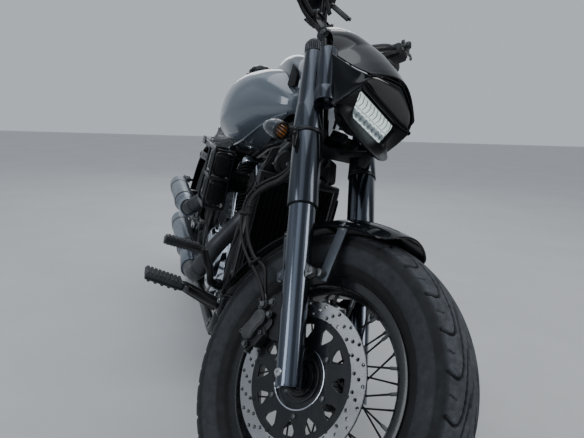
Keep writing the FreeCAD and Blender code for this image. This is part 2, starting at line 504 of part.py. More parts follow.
# ---------------------------------------------------------------- rear end
PIVOT = (1125.0, 372.0)
def arm(s):
    return tube([(s * 112, PIVOT[0], PIVOT[1]), (s * 113, 1300, 352), (s * 113, WHEELBASE, R_TYRE_R)], 18.0, 120.0)
arms = [arm(-1), arm(1)]
for s in (-1, 1):
    arms.append(Part.makeCylinder(32, 28, Vec(s * 113 - 14, WHEELBASE, R_TYRE_R), Vec(1, 0, 0)))
arms.append(rod((-112, 1190, 364), (112, 1190, 364), 22.0))
arms.append(rod((-136, PIVOT[0], PIVOT[1]), (136, PIVOT[0], PIVOT[1]), 20.0))
swing = cut(fuse(arms), [rod((-200, WHEELBASE, R_TYRE_R), (200, WHEELBASE, R_TYRE_R), AXLE_R),
                         left_cradle, right_cradle])
add("swingarm", swing, "frame")
add("rear_axle", fuse([rod((-140, WHEELBASE, R_TYRE_R), (140, WHEELBASE, R_TYRE_R), AXLE_R),
                       rod((-141, WHEELBASE, R_TYRE_R), (-131, WHEELBASE, R_TYRE_R), 15.0),
                       rod((131, WHEELBASE, R_TYRE_R), (148, WHEELBASE, R_TYRE_R), 15.0)]), "frame")
fd = rod((87.5, WHEELBASE, R_TYRE_R), (122, WHEELBASE, R_TYRE_R), 80.0)
fd = cut(fd, [rod((0, WHEELBASE, R_TYRE_R), (300, WHEELBASE, R_TYRE_R), AXLE_R), swing])
if len(fd.Solids) > 1:
    fd = max(fd.Solids, key=lambda s: s.Volume)
add("final_drive", fd, "frame")
shock = fuse([rod((0, 1196, 392), (0, 1150, 600), 30.0), rod((0, 1150, 596), (0, 1140, 640), 14.0)])
add("rear_shock", cut(shock, swing), "frame")
rcal = block(-106, -66, 1520, 1590, 372, 436, 8.0, Vec(1, 0, 0))
rcal = cut(rcal, [block(-91.5, -80.5, 1500, 1600, 360, 428), ring(-92, -80, 128, 0, WHEELBASE, R_TYRE_R)])
add("rear_caliper", rcal if len(rcal.Solids) == 1 else max(rcal.Solids, key=lambda s: s.Volume), "frame")

# ---------------------------------------------------------------- exhaust
HEADER_R = 24.0
front_header = tube([(-38, 598, 600), (-52, 560, 588), (-100, 560, 520), (-150, 590, 420), (-176, 660, 312), (-176, 800, 294), (-168, 961, 298)],
                    HEADER_R, 90.0, name="front_header")
rear_header = tube([(-60, 930, 590), (-120, 905, 556), (-178, 905, 500), (-204, 960, 458), (-206, 1040, 452)], HEADER_R, 70.0, name="rear_header")
headers = [cut(front_header, cylinders), cut(rear_header, cylinders)]
headers = [max(h.Solids, key=lambda q: q.Volume) for h in headers]
add("exhaust_headers", headers, "frame")
def muffler(x, z, y0, y1, r):
    return fuse([cone((x, y0, z), (x, y0 + 70, z), 26, r), cone((x, y0 + 70, z), (x, y1, z), r, r)])
def slash(m, x, y1, z, r):
    return cut(m, prism([(x - 90, y1 - 70, z - r - 5), (x - 90, y1 + 20, z - r - 5), (x - 90, y1 + 20, z + r + 5), (x - 90, y1, z + r + 5)], (180, 0, 0)))
add("mufflers", [cut(slash(muffler(-168, 298, 960, 1560, 38), -168, 1560, 298, 38), headers),
                 cut(slash(muffler(-206, 452, 1040, 1580, 38), -206, 1580, 452, 38), headers)], "frame")

# ---------------------------------------------------------------- intake and covers
filt = block(-206, -142, 640, 800, 520, 698, 18.0, Vec(1, 0, 0))
stub = rod((-146, 800 - 60, 600), (-60, 800, 600), 30.0)
add("air_cleaner", cut(fuse([filt, stub]), cylinders), "frame")
if len(nodes["air_cleaner"][0].Solids) > 1:
    add("air_cleaner", max(nodes["air_cleaner"][0].Solids, key=lambda s: s.Volume), "frame")
def side_cover(s):
    x = s * 128
    return prism([(x, 1030, 500), (x, 1230, 520), (x, 1270, 640), (x, 1110, 676), (x, 1020, 640)], (s * 14, 0, 0))
add("side_covers", [side_cover(s) for s in (-1, 1)], "frame")

# ---------------------------------------------------------------- tail
def on_fender(a, r):
    return (WHEELBASE + r * sind(a), R_TYRE_R + r * cosd(a))
y, z = on_fender(56, 374)
tl = block(-42, 42, 0, 34, -24, 24, 10.0, Vec(0, 1, 0)).transformed(mat_move(0, y - 2, z).multiply(mat_turn((1, 0, 0), -8)))
add("tail_light", cut(tl, Part.makeCylinder(372.0, 260, Vec(-130, WHEELBASE, R_TYRE_R), Vec(1, 0, 0))), "frame")
y, z = on_fender(80, 374)
pb = fuse([block(-90, 90, 2062, 2066, 350, 480), block(-18, 18, 1990, 2063, 400, 408)])
pb = cut(pb, [rod((k * PLATE_HOLES / 2, 2040, 460), (k * PLATE_HOLES / 2, 2080, 460), 3.25) for k in (-1, 1)])
add("plate_bracket", cut(pb, Part.makeCylinder(372.0, 260, Vec(-130, WHEELBASE, R_TYRE_R), Vec(1, 0, 0))), "frame")
def rear_indicator(s):
    c = Vec(s * 132, 2036, 430)
    arm_ = rod((s * 84, 2056.5, 430), tuple(c), 7.0)
    pod = fuse([cone((c.x, c.y - 40, c.z), tuple(c), 9, 24), cone(tuple(c), (c.x, c.y + 20, c.z), 24, 24)])
    return cut(fuse([arm_, pod]), pb)
add("rear_indicators", [rear_indicator(s) for s in (-1, 1)], "frame")

# ---------------------------------------------------------------- foot controls
def foot(s):
    # rubber-topped peg and its arm on the frame's front corner
    peg = prism([(s * 232, 400, 330), (s * 232, 466, 330), (s * 232, 466, 356), (s * 232, 400, 356)], (s * 104, 0, 16))
    arm_ = rod((s * 240, 433, 343), (s * 128, 466, 296), 13.0)
    lug = block(min(s * 126, s * 104), max(s * 126, s * 104), 440, 520, 268, 322, 8.0, Vec(1, 0, 0))
    return cut(fuse([peg, arm_, lug]), left_cradle if s > 0 else right_cradle)
add("foot_pegs", [max(foot(s).Solids, key=lambda q: q.Volume) for s in (-1, 1)], "frame")
pedal = fuse([rod((-205, 396, 452), (-312, 390, 462), 11.0), tube([(-207, 396, 452), (-178, 420, 400), (-160, 470, 352), (-134, 500, 340)], 8.0, 30.0),
              rod((-140, 500, 340), (-124.2, 500, 340), 14.0)])
add("brake_pedal", pedal, "frame")
shift = fuse([rod((205, 400, 440), (290, 396, 446), 11.0), tube([(207, 400, 440), (180, 424, 396), (160, 470, 352), (134, 500, 340)], 8.0, 30.0),
              rod((140, 500, 340), (124.2, 500, 340), 14.0)])
add("shift_lever", shift, "frame")

# ---------------------------------------------------------------- side stand
STAND_PIVOT = Vec(146, 690, 205)
FOOT_FLOOR = (318.0, 600.0)       # where the foot stands, in floor axes before the sideways shift
inv = REST.inverse()
def from_floor(x, y, z):
    return inv.multVec(Vec(x + SHIFT_X, y + SHIFT_Y, z))
foot_c = from_floor(FOOT_FLOOR[0], FOOT_FLOOR[1], 5.0)
down = from_floor(FOOT_FLOOR[0], FOOT_FLOOR[1], 0.0).sub(foot_c); down.normalize()
leg_dir = foot_c.sub(STAND_PIVOT)
FOLD_DIR = unit(Vec(0.14, 0.985, 0.06))
STAND_AXIS = unit(unit(leg_dir).cross(FOLD_DIR))
FOLD_ANGLE = math.degrees(unit(leg_dir).getAngle(FOLD_DIR))
print("stand axis", STAND_AXIS, "fold angle", FOLD_ANGLE, "leg", leg_dir.Length)
pad = Part.makeCylinder(28, 10, foot_c.sub(Vec(down).multiply(5)), down)
stand_leg = rod(tuple(STAND_PIVOT), tuple(foot_c), 11.0)
eye = Part.makeCylinder(20, 16, STAND_PIVOT.sub(Vec(STAND_AXIS).multiply(8)), STAND_AXIS)
stand = fuse([stand_leg, pad, eye])
# nothing below the floor face of the foot
below = Part.makeCylinder(80, 40, from_floor(FOOT_FLOOR[0], FOOT_FLOOR[1], 0.0), down)
stand = cut(stand, [below, Part.makeCylinder(8.05, 60, STAND_PIVOT.sub(Vec(STAND_AXIS).multiply(30)), STAND_AXIS)])
add("side_stand", stand, "frame")
pin = Part.makeCylinder(8.0, 40, STAND_PIVOT.sub(Vec(STAND_AXIS).multiply(20)), STAND_AXIS)
IN_DIR = Vec(-1, 0, 0)                       # inboard, square to the pin
IN_DIR = unit(IN_DIR.sub(Vec(STAND_AXIS).multiply(IN_DIR.dot(STAND_AXIS))))
REACH = 38.0
ears, ends = [], []
for k in (-1, 1):
    c = STAND_PIVOT.add(Vec(STAND_AXIS).multiply(15.6 * k))
    ears.append(Part.makeCylinder(15, 7.6, c.sub(Vec(STAND_AXIS).multiply(3.8)), STAND_AXIS))
    e = c.add(Vec(IN_DIR).multiply(REACH))
    ears.append(rod(tuple(c), tuple(e), 3.8))
    ends.append(e)
tie = rod(tuple(ends[0]), tuple(ends[1]), 7.0)
mid = ends[0].add(ends[1]).multiply(0.5)
post = rod(tuple(mid), (107, 690, 188), 9.0)
brk = cut(fuse([pin] + ears + [tie, post]), [left_cradle, case, nodes["engine_covers"][0]])
add("stand_bracket", max(brk.Solids, key=lambda q: q.Volume), "frame")

# ================================================================ write out
os.makedirs("parts", exist_ok=True)
low, high = [1e9] * 3, [-1e9] * 3
total = 0.0
for name, (shape, where) in nodes.items():
    s = shape.transformed(FORK_REST if where == "fork" else REST)
    if not s.isValid() or s.Volume <= 0 or not s.Solids:
        print("BAD", name, s.isValid(), s.Volume, len(s.Solids))
    if len(s.Solids) > 2 or (len(s.Solids) == 2 and s.ShapeType == "Solid"):
        print("  ", name, "solids", len(s.Solids))
    total += s.Volume
    verts, _ = s.tessellate(1.0)
    for v in verts:
        for i in range(3):
            low[i] = min(low[i], v[i]); high[i] = max(high[i], v[i])
    if len(s.Solids) == 1:
        s = s.Solids[0]
    s.exportStep("parts/%s.step" % name)
print("nodes", len(nodes), "box", [round(v, 2) for v in low], [round(v, 2) for v in high],
      "middle", round((low[0] + high[0]) / 2, 2), round((low[1] + high[1]) / 2, 2), "volume l", round(total / 1e6, 2))
def numbers(m): return [round(v, 9) for v in m.A]
print("FORK_REST", numbers(FORK_REST))
print("REST", numbers(REST))
print("STAND", [round(v, 9) for v in STAND_AXIS], [round(v, 6) for v in STAND_PIVOT], round(FOLD_ANGLE, 3), [round(v, 4) for v in foot_c])
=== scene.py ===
import bpy, bmesh, math
import numpy as np
from mathutils import Matrix, Vector
from mathutils.geometry import delaunay_2d_cdt


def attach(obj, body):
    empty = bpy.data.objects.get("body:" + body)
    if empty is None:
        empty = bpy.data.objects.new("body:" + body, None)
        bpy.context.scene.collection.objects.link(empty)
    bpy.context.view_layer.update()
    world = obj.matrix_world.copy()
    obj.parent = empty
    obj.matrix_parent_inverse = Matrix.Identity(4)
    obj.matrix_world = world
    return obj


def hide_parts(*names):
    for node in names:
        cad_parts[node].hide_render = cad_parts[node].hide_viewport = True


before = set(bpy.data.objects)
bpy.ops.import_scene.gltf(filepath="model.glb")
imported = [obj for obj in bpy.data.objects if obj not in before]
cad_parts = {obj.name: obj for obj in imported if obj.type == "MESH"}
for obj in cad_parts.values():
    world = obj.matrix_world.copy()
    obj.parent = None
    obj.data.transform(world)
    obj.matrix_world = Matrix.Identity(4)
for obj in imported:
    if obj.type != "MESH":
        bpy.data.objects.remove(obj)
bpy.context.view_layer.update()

# ------------------------------------------------------------------ frames (millimetres)
# D: machine upright, x left, y backward, z up, origin under the front axle
# L: fork, x left, y backward square to the legs, z up along the legs, origin on the axle
# K: mask, level with the floor when upright, origin at the middle of the lamp
REST = np.array([[0.976296007, 0.0, 0.216439614, -181.825],
                 [0.001163141, 0.99998556, -0.005246589, -886.27],
                 [-0.216436489, 0.005373973, 0.97628191, -5.926183967], [0, 0, 0, 1]])
FORK = np.array([[0.765478312, -0.617327212, 0.181521534, -84.595361589],
                 [0.446921915, 0.713029632, 0.540231011, -880.753674294],
                 [-0.462929536, -0.332409171, 0.821705779, 295.574942993], [0, 0, 0, 1]])

def move(x, y, z):
    m = np.eye(4); m[:3, 3] = (x, y, z); return m

def turn(axis, deg, about=(0, 0, 0)):
    r = np.array(Matrix.Rotation(math.radians(deg), 4, Vector(axis)))
    return move(*about) @ r @ move(-about[0], -about[1], -about[2])

MASK = FORK @ move(0, -103, 606) @ turn((1, 0, 0), 33)
WHERE = {"D": REST, "L": FORK, "K": MASK, "R": np.eye(4)}
WHEELBASE, R_R = 1655.0, 326.5
LEG_X = 116.0

def xf(M, P):
    P = np.asarray(P, float).reshape(-1, 3)
    return P @ M[:3, :3].T + M[:3, 3]

def sind(a): return math.sin(math.radians(a))
def cosd(a): return math.cos(math.radians(a))

# ------------------------------------------------------------------ camera, floor, light
scene = bpy.context.scene
cam = bpy.data.objects.new("camera", bpy.data.cameras.new("camera"))
scene.collection.objects.link(cam)
cam.matrix_world = Matrix(((0.968498, 0.008162, -0.248888, -0.427929),
                           (-0.24567, 0.194758, -0.949587, -1.897431),
                           (0.040722, 0.980817, 0.190628, 0.842987), (0, 0, 0, 1)))
cam.data.sensor_fit = "HORIZONTAL"
cam.data.sensor_width = 36.0
cam.data.lens = 34.995
cam.data.clip_start, cam.data.clip_end = 0.05, 60
scene.camera = cam

def area(name, loc, target, size, size_y, power, colour=(1, 1, 1)):
    l = bpy.data.lights.new(name, "AREA")
    l.shape, l.size, l.size_y, l.energy, l.color = "RECTANGLE", size, size_y, power, colour
    o = bpy.data.objects.new(name, l)
    scene.collection.objects.link(o)
    o.location = loc
    o.rotation_euler = (Vector(target) - Vector(loc)).to_track_quat("-Z", "Y").to_euler()
    return o
area("top_light", (0.3, 0.2, 4.2), (0, 0, 0.5), 3.2, 3.6, 48, (0.93, 0.97, 1.0))
area("left_light", (-4.0, -2.2, 2.3), (0, -0.5, 0.6), 1.6, 2.6, 58, (0.90, 0.95, 1.0))
area("right_light", (3.4, -2.6, 2.4), (0, -0.7, 0.6), 1.3, 2.4, 40, (1.0, 0.98, 0.95))
area("back_light", (0.8, 4.2, 2.6), (0, 0.2, 0.7), 2.4, 1.8, 22)
# surroundings: an even pale backdrop behind the part, and a studio of soft boxes and dark flags round the rest
world = bpy.data.worlds.new("studio")
scene.world = world
world.use_nodes = True
wn = world.node_tree
def wnode(kind, **k):
    n = wn.nodes.new(kind)
    for a, v in k.items(): setattr(n, a, v)
    return n
w_tc = wnode("ShaderNodeTexCoord")
def wdot(vec):
    d = wnode("ShaderNodeVectorMath", operation="DOT_PRODUCT")
    wn.links.new(w_tc.outputs["Generated"], d.inputs[0]); d.inputs[1].default_value = vec
    return d.outputs["Value"]
def wmap(sock, a, b, lo, hi):
    m = wnode("ShaderNodeMapRange", interpolation_type="SMOOTHSTEP")
    wn.links.new(sock, m.inputs[0])
    for i, v in enumerate((a, b, lo, hi)): m.inputs[i + 1].default_value = v
    return m.outputs[0]
def wmul(a, b):
    m = wnode("ShaderNodeMath", operation="MULTIPLY"); wn.links.new(a, m.inputs[0])
    if isinstance(b, float): m.inputs[1].default_value = b
    else: wn.links.new(b, m.inputs[1])
    return m.outputs[0]
w_t = wnode("ShaderNodeMapRange")
wn.links.new(wdot((0.969, -0.246, 0.0)), w_t.inputs[0])
for i, v in enumerate((-1.0, 1.0, 0.0, 1.0)): w_t.inputs[i + 1].default_value = v
w_band = wnode("ShaderNodeValToRGB")
w_band.color_ramp.interpolation = "EASE"
stops = [(0.0, 0.55), (0.05, 0.55), (0.12, 0.28), (0.21, 0.26), (0.30, 0.80), (0.46, 0.62), (0.54, 0.17), (0.73, 0.15), (0.80, 0.42), (0.89, 0.40), (0.95, 0.20), (1.0, 0.20)]
cr_ = w_band.color_ramp
while len(cr_.elements) < len(stops): cr_.elements.new(0.5)
for e_, (p_, v_) in zip(cr_.elements, stops):
    e_.position = p_; e_.color = (v_ * 0.90, v_ * 0.97, v_ * 1.06, 1)
wn.links.new(w_t.outputs[0], w_band.inputs[0])
w_up = wmap(wdot((0.0, 0.0, 1.0)), 0.10, 0.70, 0.62, 1.45)
w_env = wnode("ShaderNodeVectorMath", operation="SCALE")
wn.links.new(w_band.outputs[0], w_env.inputs[0]); wn.links.new(w_up, w_env.inputs["Scale"])
w_mix = wnode("ShaderNodeMix", data_type="RGBA")
wn.links.new(wmap(wdot((0.2538, 0.9673, 0.0)), 0.45, 0.78, 1.0, 0.0), w_mix.inputs["Factor"])
w_mix.inputs[6].default_value = (0.50, 0.54, 0.585, 1)
wn.links.new(w_env.outputs[0], w_mix.inputs[7])
wn.links.new(w_mix.outputs[2], wn.nodes["Background"].inputs[0])
wn.nodes["Background"].inputs[1].default_value = 1.0

# ------------------------------------------------------------------ materials
def new_mat(name):
    m = bpy.data.materials.new(name)
    m.use_nodes = True
    nt = m.node_tree
    return m, nt, nt.nodes["Principled BSDF"]

def node(nt, kind, **inputs):
    n = nt.nodes.new(kind)
    for k, v in inputs.items():
        if k in n.inputs:
            n.inputs[k].default_value = v
    return n

def coords(nt, local=False, scale=None):
    if local:
        n = nt.nodes.new("ShaderNodeAttribute"); n.attribute_name = "loc"
        out = n.outputs["Vector"]
    else:
        out = nt.nodes.new("ShaderNodeTexCoord").outputs["Object"]
    if scale is not None:
        s = nt.nodes.new("ShaderNodeMapping"); s.inputs["Scale"].default_value = scale
        nt.links.new(out, s.inputs["Vector"]); out = s.outputs[0]
    return out

def noise(nt, vec, scale, detail=4.0, rough=0.55):
    n = nt.nodes.new("ShaderNodeTexNoise")
    n.inputs["Scale"].default_value = scale
    n.inputs["Detail"].default_value = detail
    n.inputs["Roughness"].default_value = rough
    nt.links.new(vec, n.inputs["Vector"])
    return n.outputs["Fac"]

def ramp(nt, fac, stops):
    r = nt.nodes.new("ShaderNodeValToRGB")
    e = r.color_ramp.elements
    while len(e) < len(stops): e.new(0.5)
    for i, (p, c) in enumerate(stops):
        e[i].position = p
        e[i].color = (*c, 1) if len(c) == 3 else c
    nt.links.new(fac, r.inputs[0])
    return r.outputs[0]

def rng(nt, fac, a, b, lo=0.3, hi=0.7):
    r = nt.nodes.new("ShaderNodeMapRange")
    r.inputs["From Min"].default_value, r.inputs["From Max"].default_value = lo, hi
    r.inputs["To Min"].default_value, r.inputs["To Max"].default_value = a, b
    nt.links.new(fac, r.inputs["Value"])
    return r.outputs[0]

def bump(nt, b, height, strength, dist=0.0005, chain=None):
    n = nt.nodes.new("ShaderNodeBump")
    n.inputs["Strength"].default_value = strength
    n.inputs["Distance"].default_value = dist
    nt.links.new(height, n.inputs["Height"])
    if chain is not None: nt.links.new(chain, n.inputs["Normal"])
    nt.links.new(n.outputs[0], b.inputs["Normal"])
    return n.outputs[0]

def surface(name, c0, c1, rough=(0.3, 0.4), metal=0.0, coat=0.0, coat_rough=0.05, spots=6.0,
            grain=900.0, grain_bump=0.12, wave=None, dust=None, sheen=0.0, ior=1.5, spec=0.5):
    """Paint, plastic or metal: cloudy colour, uneven gloss, fine grain, and dust that settles on what faces up."""
    m, nt, b = new_mat(name)
    v = coords(nt)
    big = noise(nt, v, spots, 5.0, 0.6)
    col = ramp(nt, big, [(0.32, c0), (0.68, c1)])
    if dust:
        amount, dcol = dust
        g = nt.nodes.new("ShaderNodeNewGeometry")
        sep = nt.nodes.new("ShaderNodeSeparateXYZ"); nt.links.new(g.outputs["Normal"], sep.inputs[0])
        up = rng(nt, sep.outputs[2], 0.0, 1.0, 0.1, 1.0)
        n2 = rng(nt, noise(nt, v, 38.0, 6.0, 0.7), 0.0, 1.0, 0.42, 0.72)
        mul = nt.nodes.new("ShaderNodeMath"); mul.operation = "MULTIPLY"
        nt.links.new(up, mul.inputs[0]); nt.links.new(n2, mul.inputs[1])
        mul2 = nt.nodes.new("ShaderNodeMath"); mul2.operation = "MULTIPLY"; mul2.inputs[1].default_value = amount
        nt.links.new(mul.outputs[0], mul2.inputs[0])
        mix = nt.nodes.new("ShaderNodeMix"); mix.data_type = "RGBA"
        nt.links.new(mul2.outputs[0], mix.inputs["Factor"])
        nt.links.new(col, mix.inputs[6]); mix.inputs[7].default_value = (*dcol, 1)
        col = mix.outputs[2]
    nt.links.new(col, b.inputs["Base Color"])
    fine = noise(nt, v, grain, 2.0, 0.5)
    mid = noise(nt, v, 45.0, 5.0, 0.65)
    nt.links.new(rng(nt, mid, rough[0], rough[1]), b.inputs["Roughness"])
    b.inputs["Metallic"].default_value = metal
    b.inputs["IOR"].default_value = ior
    b.inputs["Specular IOR Level"].default_value = spec
    b.inputs["Coat Weight"].default_value = coat
    b.inputs["Coat Roughness"].default_value = coat_rough
    if ior < 1.45:
        b.inputs["Coat IOR"].default_value = ior
    if sheen:
        b.inputs["Sheen Weight"].default_value = sheen
        b.inputs["Sheen Roughness"].default_value = 0.5
    last = bump(nt, b, fine, grain_bump, 0.0003)
    if wave:
        bump(nt, b, noise(nt, v, wave[0], 3.0), wave[1], 0.001, last)
    return m

M = {}
M["gloss_black"] = surface("gloss_black", (0.0028, 0.0034, 0.0048), (0.005, 0.0060, 0.0080), (0.12, 0.19), coat=0.34, coat_rough=0.03, grain=700, grain_bump=0.02, wave=(26, 0.05), spec=0.14, ior=1.38)
M["wheel_black"] = surface("wheel_black", (0.005, 0.006, 0.008), (0.010, 0.011, 0.013), (0.20, 0.34), coat=0.4, coat_rough=0.08, grain_bump=0.03, dust=(0.10, (0.06, 0.06, 0.06)), spec=0.30)
M["spoke_black"] = surface("spoke_black", (0.010, 0.011, 0.013), (0.020, 0.021, 0.024), (0.26, 0.42), metal=0.4, grain_bump=0.05)
M["frame_black"] = surface("frame_black", (0.005, 0.006, 0.0075), (0.010, 0.011, 0.0135), (0.30, 0.44), coat=0.15, coat_rough=0.2, grain=1400, grain_bump=0.10, dust=(0.12, (0.06, 0.06, 0.06)), spec=0.35)
M["fork_gunmetal"] = surface("fork_gunmetal", (0.088, 0.104, 0.132), (0.105, 0.123, 0.154), (0.13, 0.19), metal=0.97, coat=0.4, coat_rough=0.05, grain=500, grain_bump=0.015)
M["fork_dark"] = surface("fork_dark", (0.040, 0.048, 0.062), (0.052, 0.062, 0.080), (0.15, 0.22), metal=0.92, coat=0.5, coat_rough=0.04, grain=500, grain_bump=0.015)
M["bright_steel"] = surface("bright_steel", (0.42, 0.43, 0.44), (0.60, 0.61, 0.62), (0.22, 0.36), metal=1.0, spots=60, grain_bump=0.05)
M["dull_steel"] = surface("dull_steel", (0.10, 0.105, 0.11), (0.17, 0.175, 0.18), (0.34, 0.50), metal=0.9, spots=80, grain_bump=0.10)
M["caliper_grey"] = surface("caliper_grey", (0.030, 0.031, 0.034), (0.055, 0.056, 0.060), (0.42, 0.60), metal=0.35, spots=50, grain=1500, grain_bump=0.35, dust=(0.5, (0.15, 0.145, 0.13)))
M["hose_rubber"] = surface("hose_rubber", (0.006, 0.006, 0.007), (0.013, 0.013, 0.014), (0.42, 0.55), spots=40, grain=1200, grain_bump=0.12, spec=0.35)
M["dark_plastic"] = surface("dark_plastic", (0.005, 0.0055, 0.0065), (0.011, 0.0115, 0.013), (0.40, 0.55), spots=14, grain=2200, grain_bump=0.35, spec=0.32)
M["engine_dark"] = surface("engine_dark", (0.008, 0.009, 0.011), (0.017, 0.018, 0.021), (0.36, 0.52), metal=0.2, spots=24, grain=1600, grain_bump=0.45, dust=(0.35, (0.08, 0.075, 0.07)), spec=0.35)
M["polished_metal"] = surface("polished_metal", (0.50, 0.54, 0.60), (0.62, 0.66, 0.72), (0.07, 0.17), metal=1.0, spots=12, grain_bump=0.02, wave=(18, 0.03))
M["muffler_satin"] = surface("muffler_satin", (0.130, 0.158, 0.200), (0.175, 0.208, 0.258), (0.26, 0.38), metal=0.95, spots=16, grain_bump=0.04)
M["header_satin"] = surface("header_satin", (0.040, 0.042, 0.047), (0.066, 0.068, 0.073), (0.38, 0.52), metal=0.75, spots=20, grain=1500, grain_bump=0.16, dust=(0.2, (0.12, 0.115, 0.11)))
M["radiator_black"] = surface("radiator_black", (0.002, 0.0022, 0.003), (0.004, 0.0045, 0.006), (0.40, 0.58), spots=30, grain=1500, grain_bump=0.2, spec=0.25)
M["tank_grey"] = surface("tank_grey", (0.118, 0.142, 0.170), (0.130, 0.156, 0.186), (0.16, 0.22), metal=0.10, coat=0.8, coat_rough=0.03, spots=3, grain=600, grain_bump=0.012, wave=(14, 0.03))
M["black_glass"] = surface("black_glass", (0.002, 0.002, 0.003), (0.004, 0.004, 0.005), (0.03, 0.06), coat=1.0, coat_rough=0.01, grain_bump=0.0, wave=(10, 0.02))

# ------------------------------------------------------------------ mesh makers, all closed, millimetres
def lathe(profile, n=64, loop=False, M4=None):
    """Turned about the x axis; profile of (x, r). An open profile starts and ends on the axis (r 0) or is capped."""
    prof = [(float(a), float(b)) for a, b in profile]
    if not loop:
        if prof[0][1] > 1e-9: prof = [(prof[0][0], 0.0)] + prof
        if prof[-1][1] > 1e-9: prof = prof + [(prof[-1][0], 0.0)]
    V, F, rows = [], [], []
    ang = np.linspace(0, 2 * math.pi, n, endpoint=False)
    for (a, r) in prof:
        if r < 1e-9:
            rows.append([len(V)]); V.append((a, 0, 0))
        else:
            s = len(V)
            V.extend((a, r * math.sin(t), r * math.cos(t)) for t in ang)
            rows.append(list(range(s, s + n)))
    k = len(rows)
    for i in range(k if loop else k - 1):
        A, B = rows[i], rows[(i + 1) % k]
        for j in range(n):
            j2 = (j + 1) % n
            if len(A) == 1 and len(B) == 1: continue
            if len(A) == 1: F.append((A[0], B[j2], B[j]))
            elif len(B) == 1: F.append((A[j], A[j2], B[0]))
            else: F.append((A[j], A[j2], B[j2], B[j]))
    V = np.array(V)
    return (xf(M4, V) if M4 is not None else V), F

def soft_profile(points, r=1.5, seg=3, loop=False):
    """Rounds each corner of a profile with a small arc."""
    P = [np.array(p, float) for p in points]
    out, n = [], len(P)
    for i in range(n):
        if not loop and i in (0, n - 1):
            out.append(tuple(P[i])); continue
        a, b, c = P[i - 1], P[i], P[(i + 1) % n]
        u, v = a - b, c - b
        lu, lv = np.linalg.norm(u), np.linalg.norm(v)
        if lu < 1e-6 or lv < 1e-6: out.append(tuple(b)); continue
        u, v = u / lu, v / lv
        ang = math.acos(max(-1, min(1, float(u @ v))))
        if abs(math.pi - ang) < 0.08: out.append(tuple(b)); continue
        t = min(r / math.tan(ang / 2), 0.45 * lu, 0.45 * lv)
        for k in range(seg + 1):
            s = k / seg
            q = (1 - s) ** 2 * (b + u * t) + 2 * s * (1 - s) * b + s * s * (b + v * t)
            out.append(tuple(q))
    return out

def axis_frame(p, d):
    """Matrix that takes the +x axis to direction d at point p."""
    d = np.array(d, float); d /= np.linalg.norm(d)
    ref = np.array((0, 0, 1.0)) if abs(d[2]) < 0.9 else np.array((0, 1.0, 0))
    y = np.cross(ref, d); y /= np.linalg.norm(y)
    z = np.cross(d, y)
    m = np.eye(4); m[:3, 0], m[:3, 1], m[:3, 2], m[:3, 3] = d, y, z, p
    return m

def turned(p, d, profile, n=32, r=0.8, seg=2):
    """Turned piece standing at p along d; profile of (height, radius)."""
    return lathe(soft_profile([(profile[0][0], 0)] + list(profile) + [(profile[-1][0], 0)], r, seg), n, M4=axis_frame(p, d))

def cyl(p, q, r, n=32, bevel=1.0):
    p, q = np.array(p, float), np.array(q, float)
    L = float(np.linalg.norm(q - p))
    return turned(p, q - p, [(0, r), (L, r)], n, bevel)

def conic(p, q, r1, r2, n=32, bevel=1.0):
    p, q = np.array(p, float), np.array(q, float)
    return turned(p, q - p, [(0, r1), (float(np.linalg.norm(q - p)), r2)], n, bevel)

def pipe_between(p, q, r_out, r_in, n=40, bevel=0.6):
    p, q = np.array(p, float), np.array(q, float)
    L = float(np.linalg.norm(q - p))
    return lathe(soft_profile([(0, r_out), (L, r_out), (L, r_in), (0, r_in)], bevel, 2, True), n, True, axis_frame(p, q - p))

def catmull(points, per=8, closed=False):
    P = np.array(points, float); n = len(P)
    out = []
    last = n if closed else n - 1
    for i in range(last):
        p0 = P[(i - 1) % n] if (closed or i > 0) else 2 * P[0] - P[1]
        p1, p2 = P[i], P[(i + 1) % n]
        p3 = P[(i + 2) % n] if (closed or i < n - 2) else 2 * P[-1] - P[-2]
        d1 = max(np.linalg.norm(p1 - p0), 1e-6) ** 0.5; d2 = max(np.linalg.norm(p2 - p1), 1e-6) ** 0.5; d3 = max(np.linalg.norm(p3 - p2), 1e-6) ** 0.5
        m1 = ((p1 - p0) / d1 - (p2 - p0) / (d1 + d2) + (p2 - p1) / d2) * d2
        m2 = ((p2 - p1) / d2 - (p3 - p1) / (d2 + d3) + (p3 - p2) / d3) * d2
        for k in range(per):
            t = k / per
            out.append((2 * t**3 - 3 * t**2 + 1) * p1 + (t**3 - 2 * t**2 + t) * m1 + (-2 * t**3 + 3 * t**2) * p2 + (t**3 - t**2) * m2)
    if not closed: out.append(P[-1])
    return np.array(out)

def arcs(points, radius=None, step=9.0):
    """Straight runs joined by tangent arcs, as the bent tubes of the frame are."""
    P = [np.array(p, float) for p in points]
    out = [P[0]]
    for i in range(1, len(P) - 1):
        a, b = P[i - 1] - P[i], P[i + 1] - P[i]
        la, lb = np.linalg.norm(a), np.linalg.norm(b)
        a, b = a / la, b / lb
        tn = math.pi - math.acos(max(-1, min(1, float(a @ b))))
        if tn < 0.01: continue
        room = 0.45 * min(la, lb)
        rr = room / math.tan(tn / 2)
        if radius is not None: rr = min(radius, rr)
        t = rr * math.tan(tn / 2)
        c = P[i] + (a + b) / np.linalg.norm(a + b) * (rr / math.cos(tn / 2))
        p0, p1 = P[i] + a * t, P[i] + b * t
        k = max(2, int(math.degrees(tn) / step) + 1)
        e0, e1 = (p0 - c) / rr, (p1 - c) / rr
        for j in range(k + 1):
            s = j / k
            out.append(c + rr * (math.sin((1 - s) * tn) * e0 + math.sin(s * tn) * e1) / math.sin(tn))
    out.append(P[-1])
    return np.array(out)

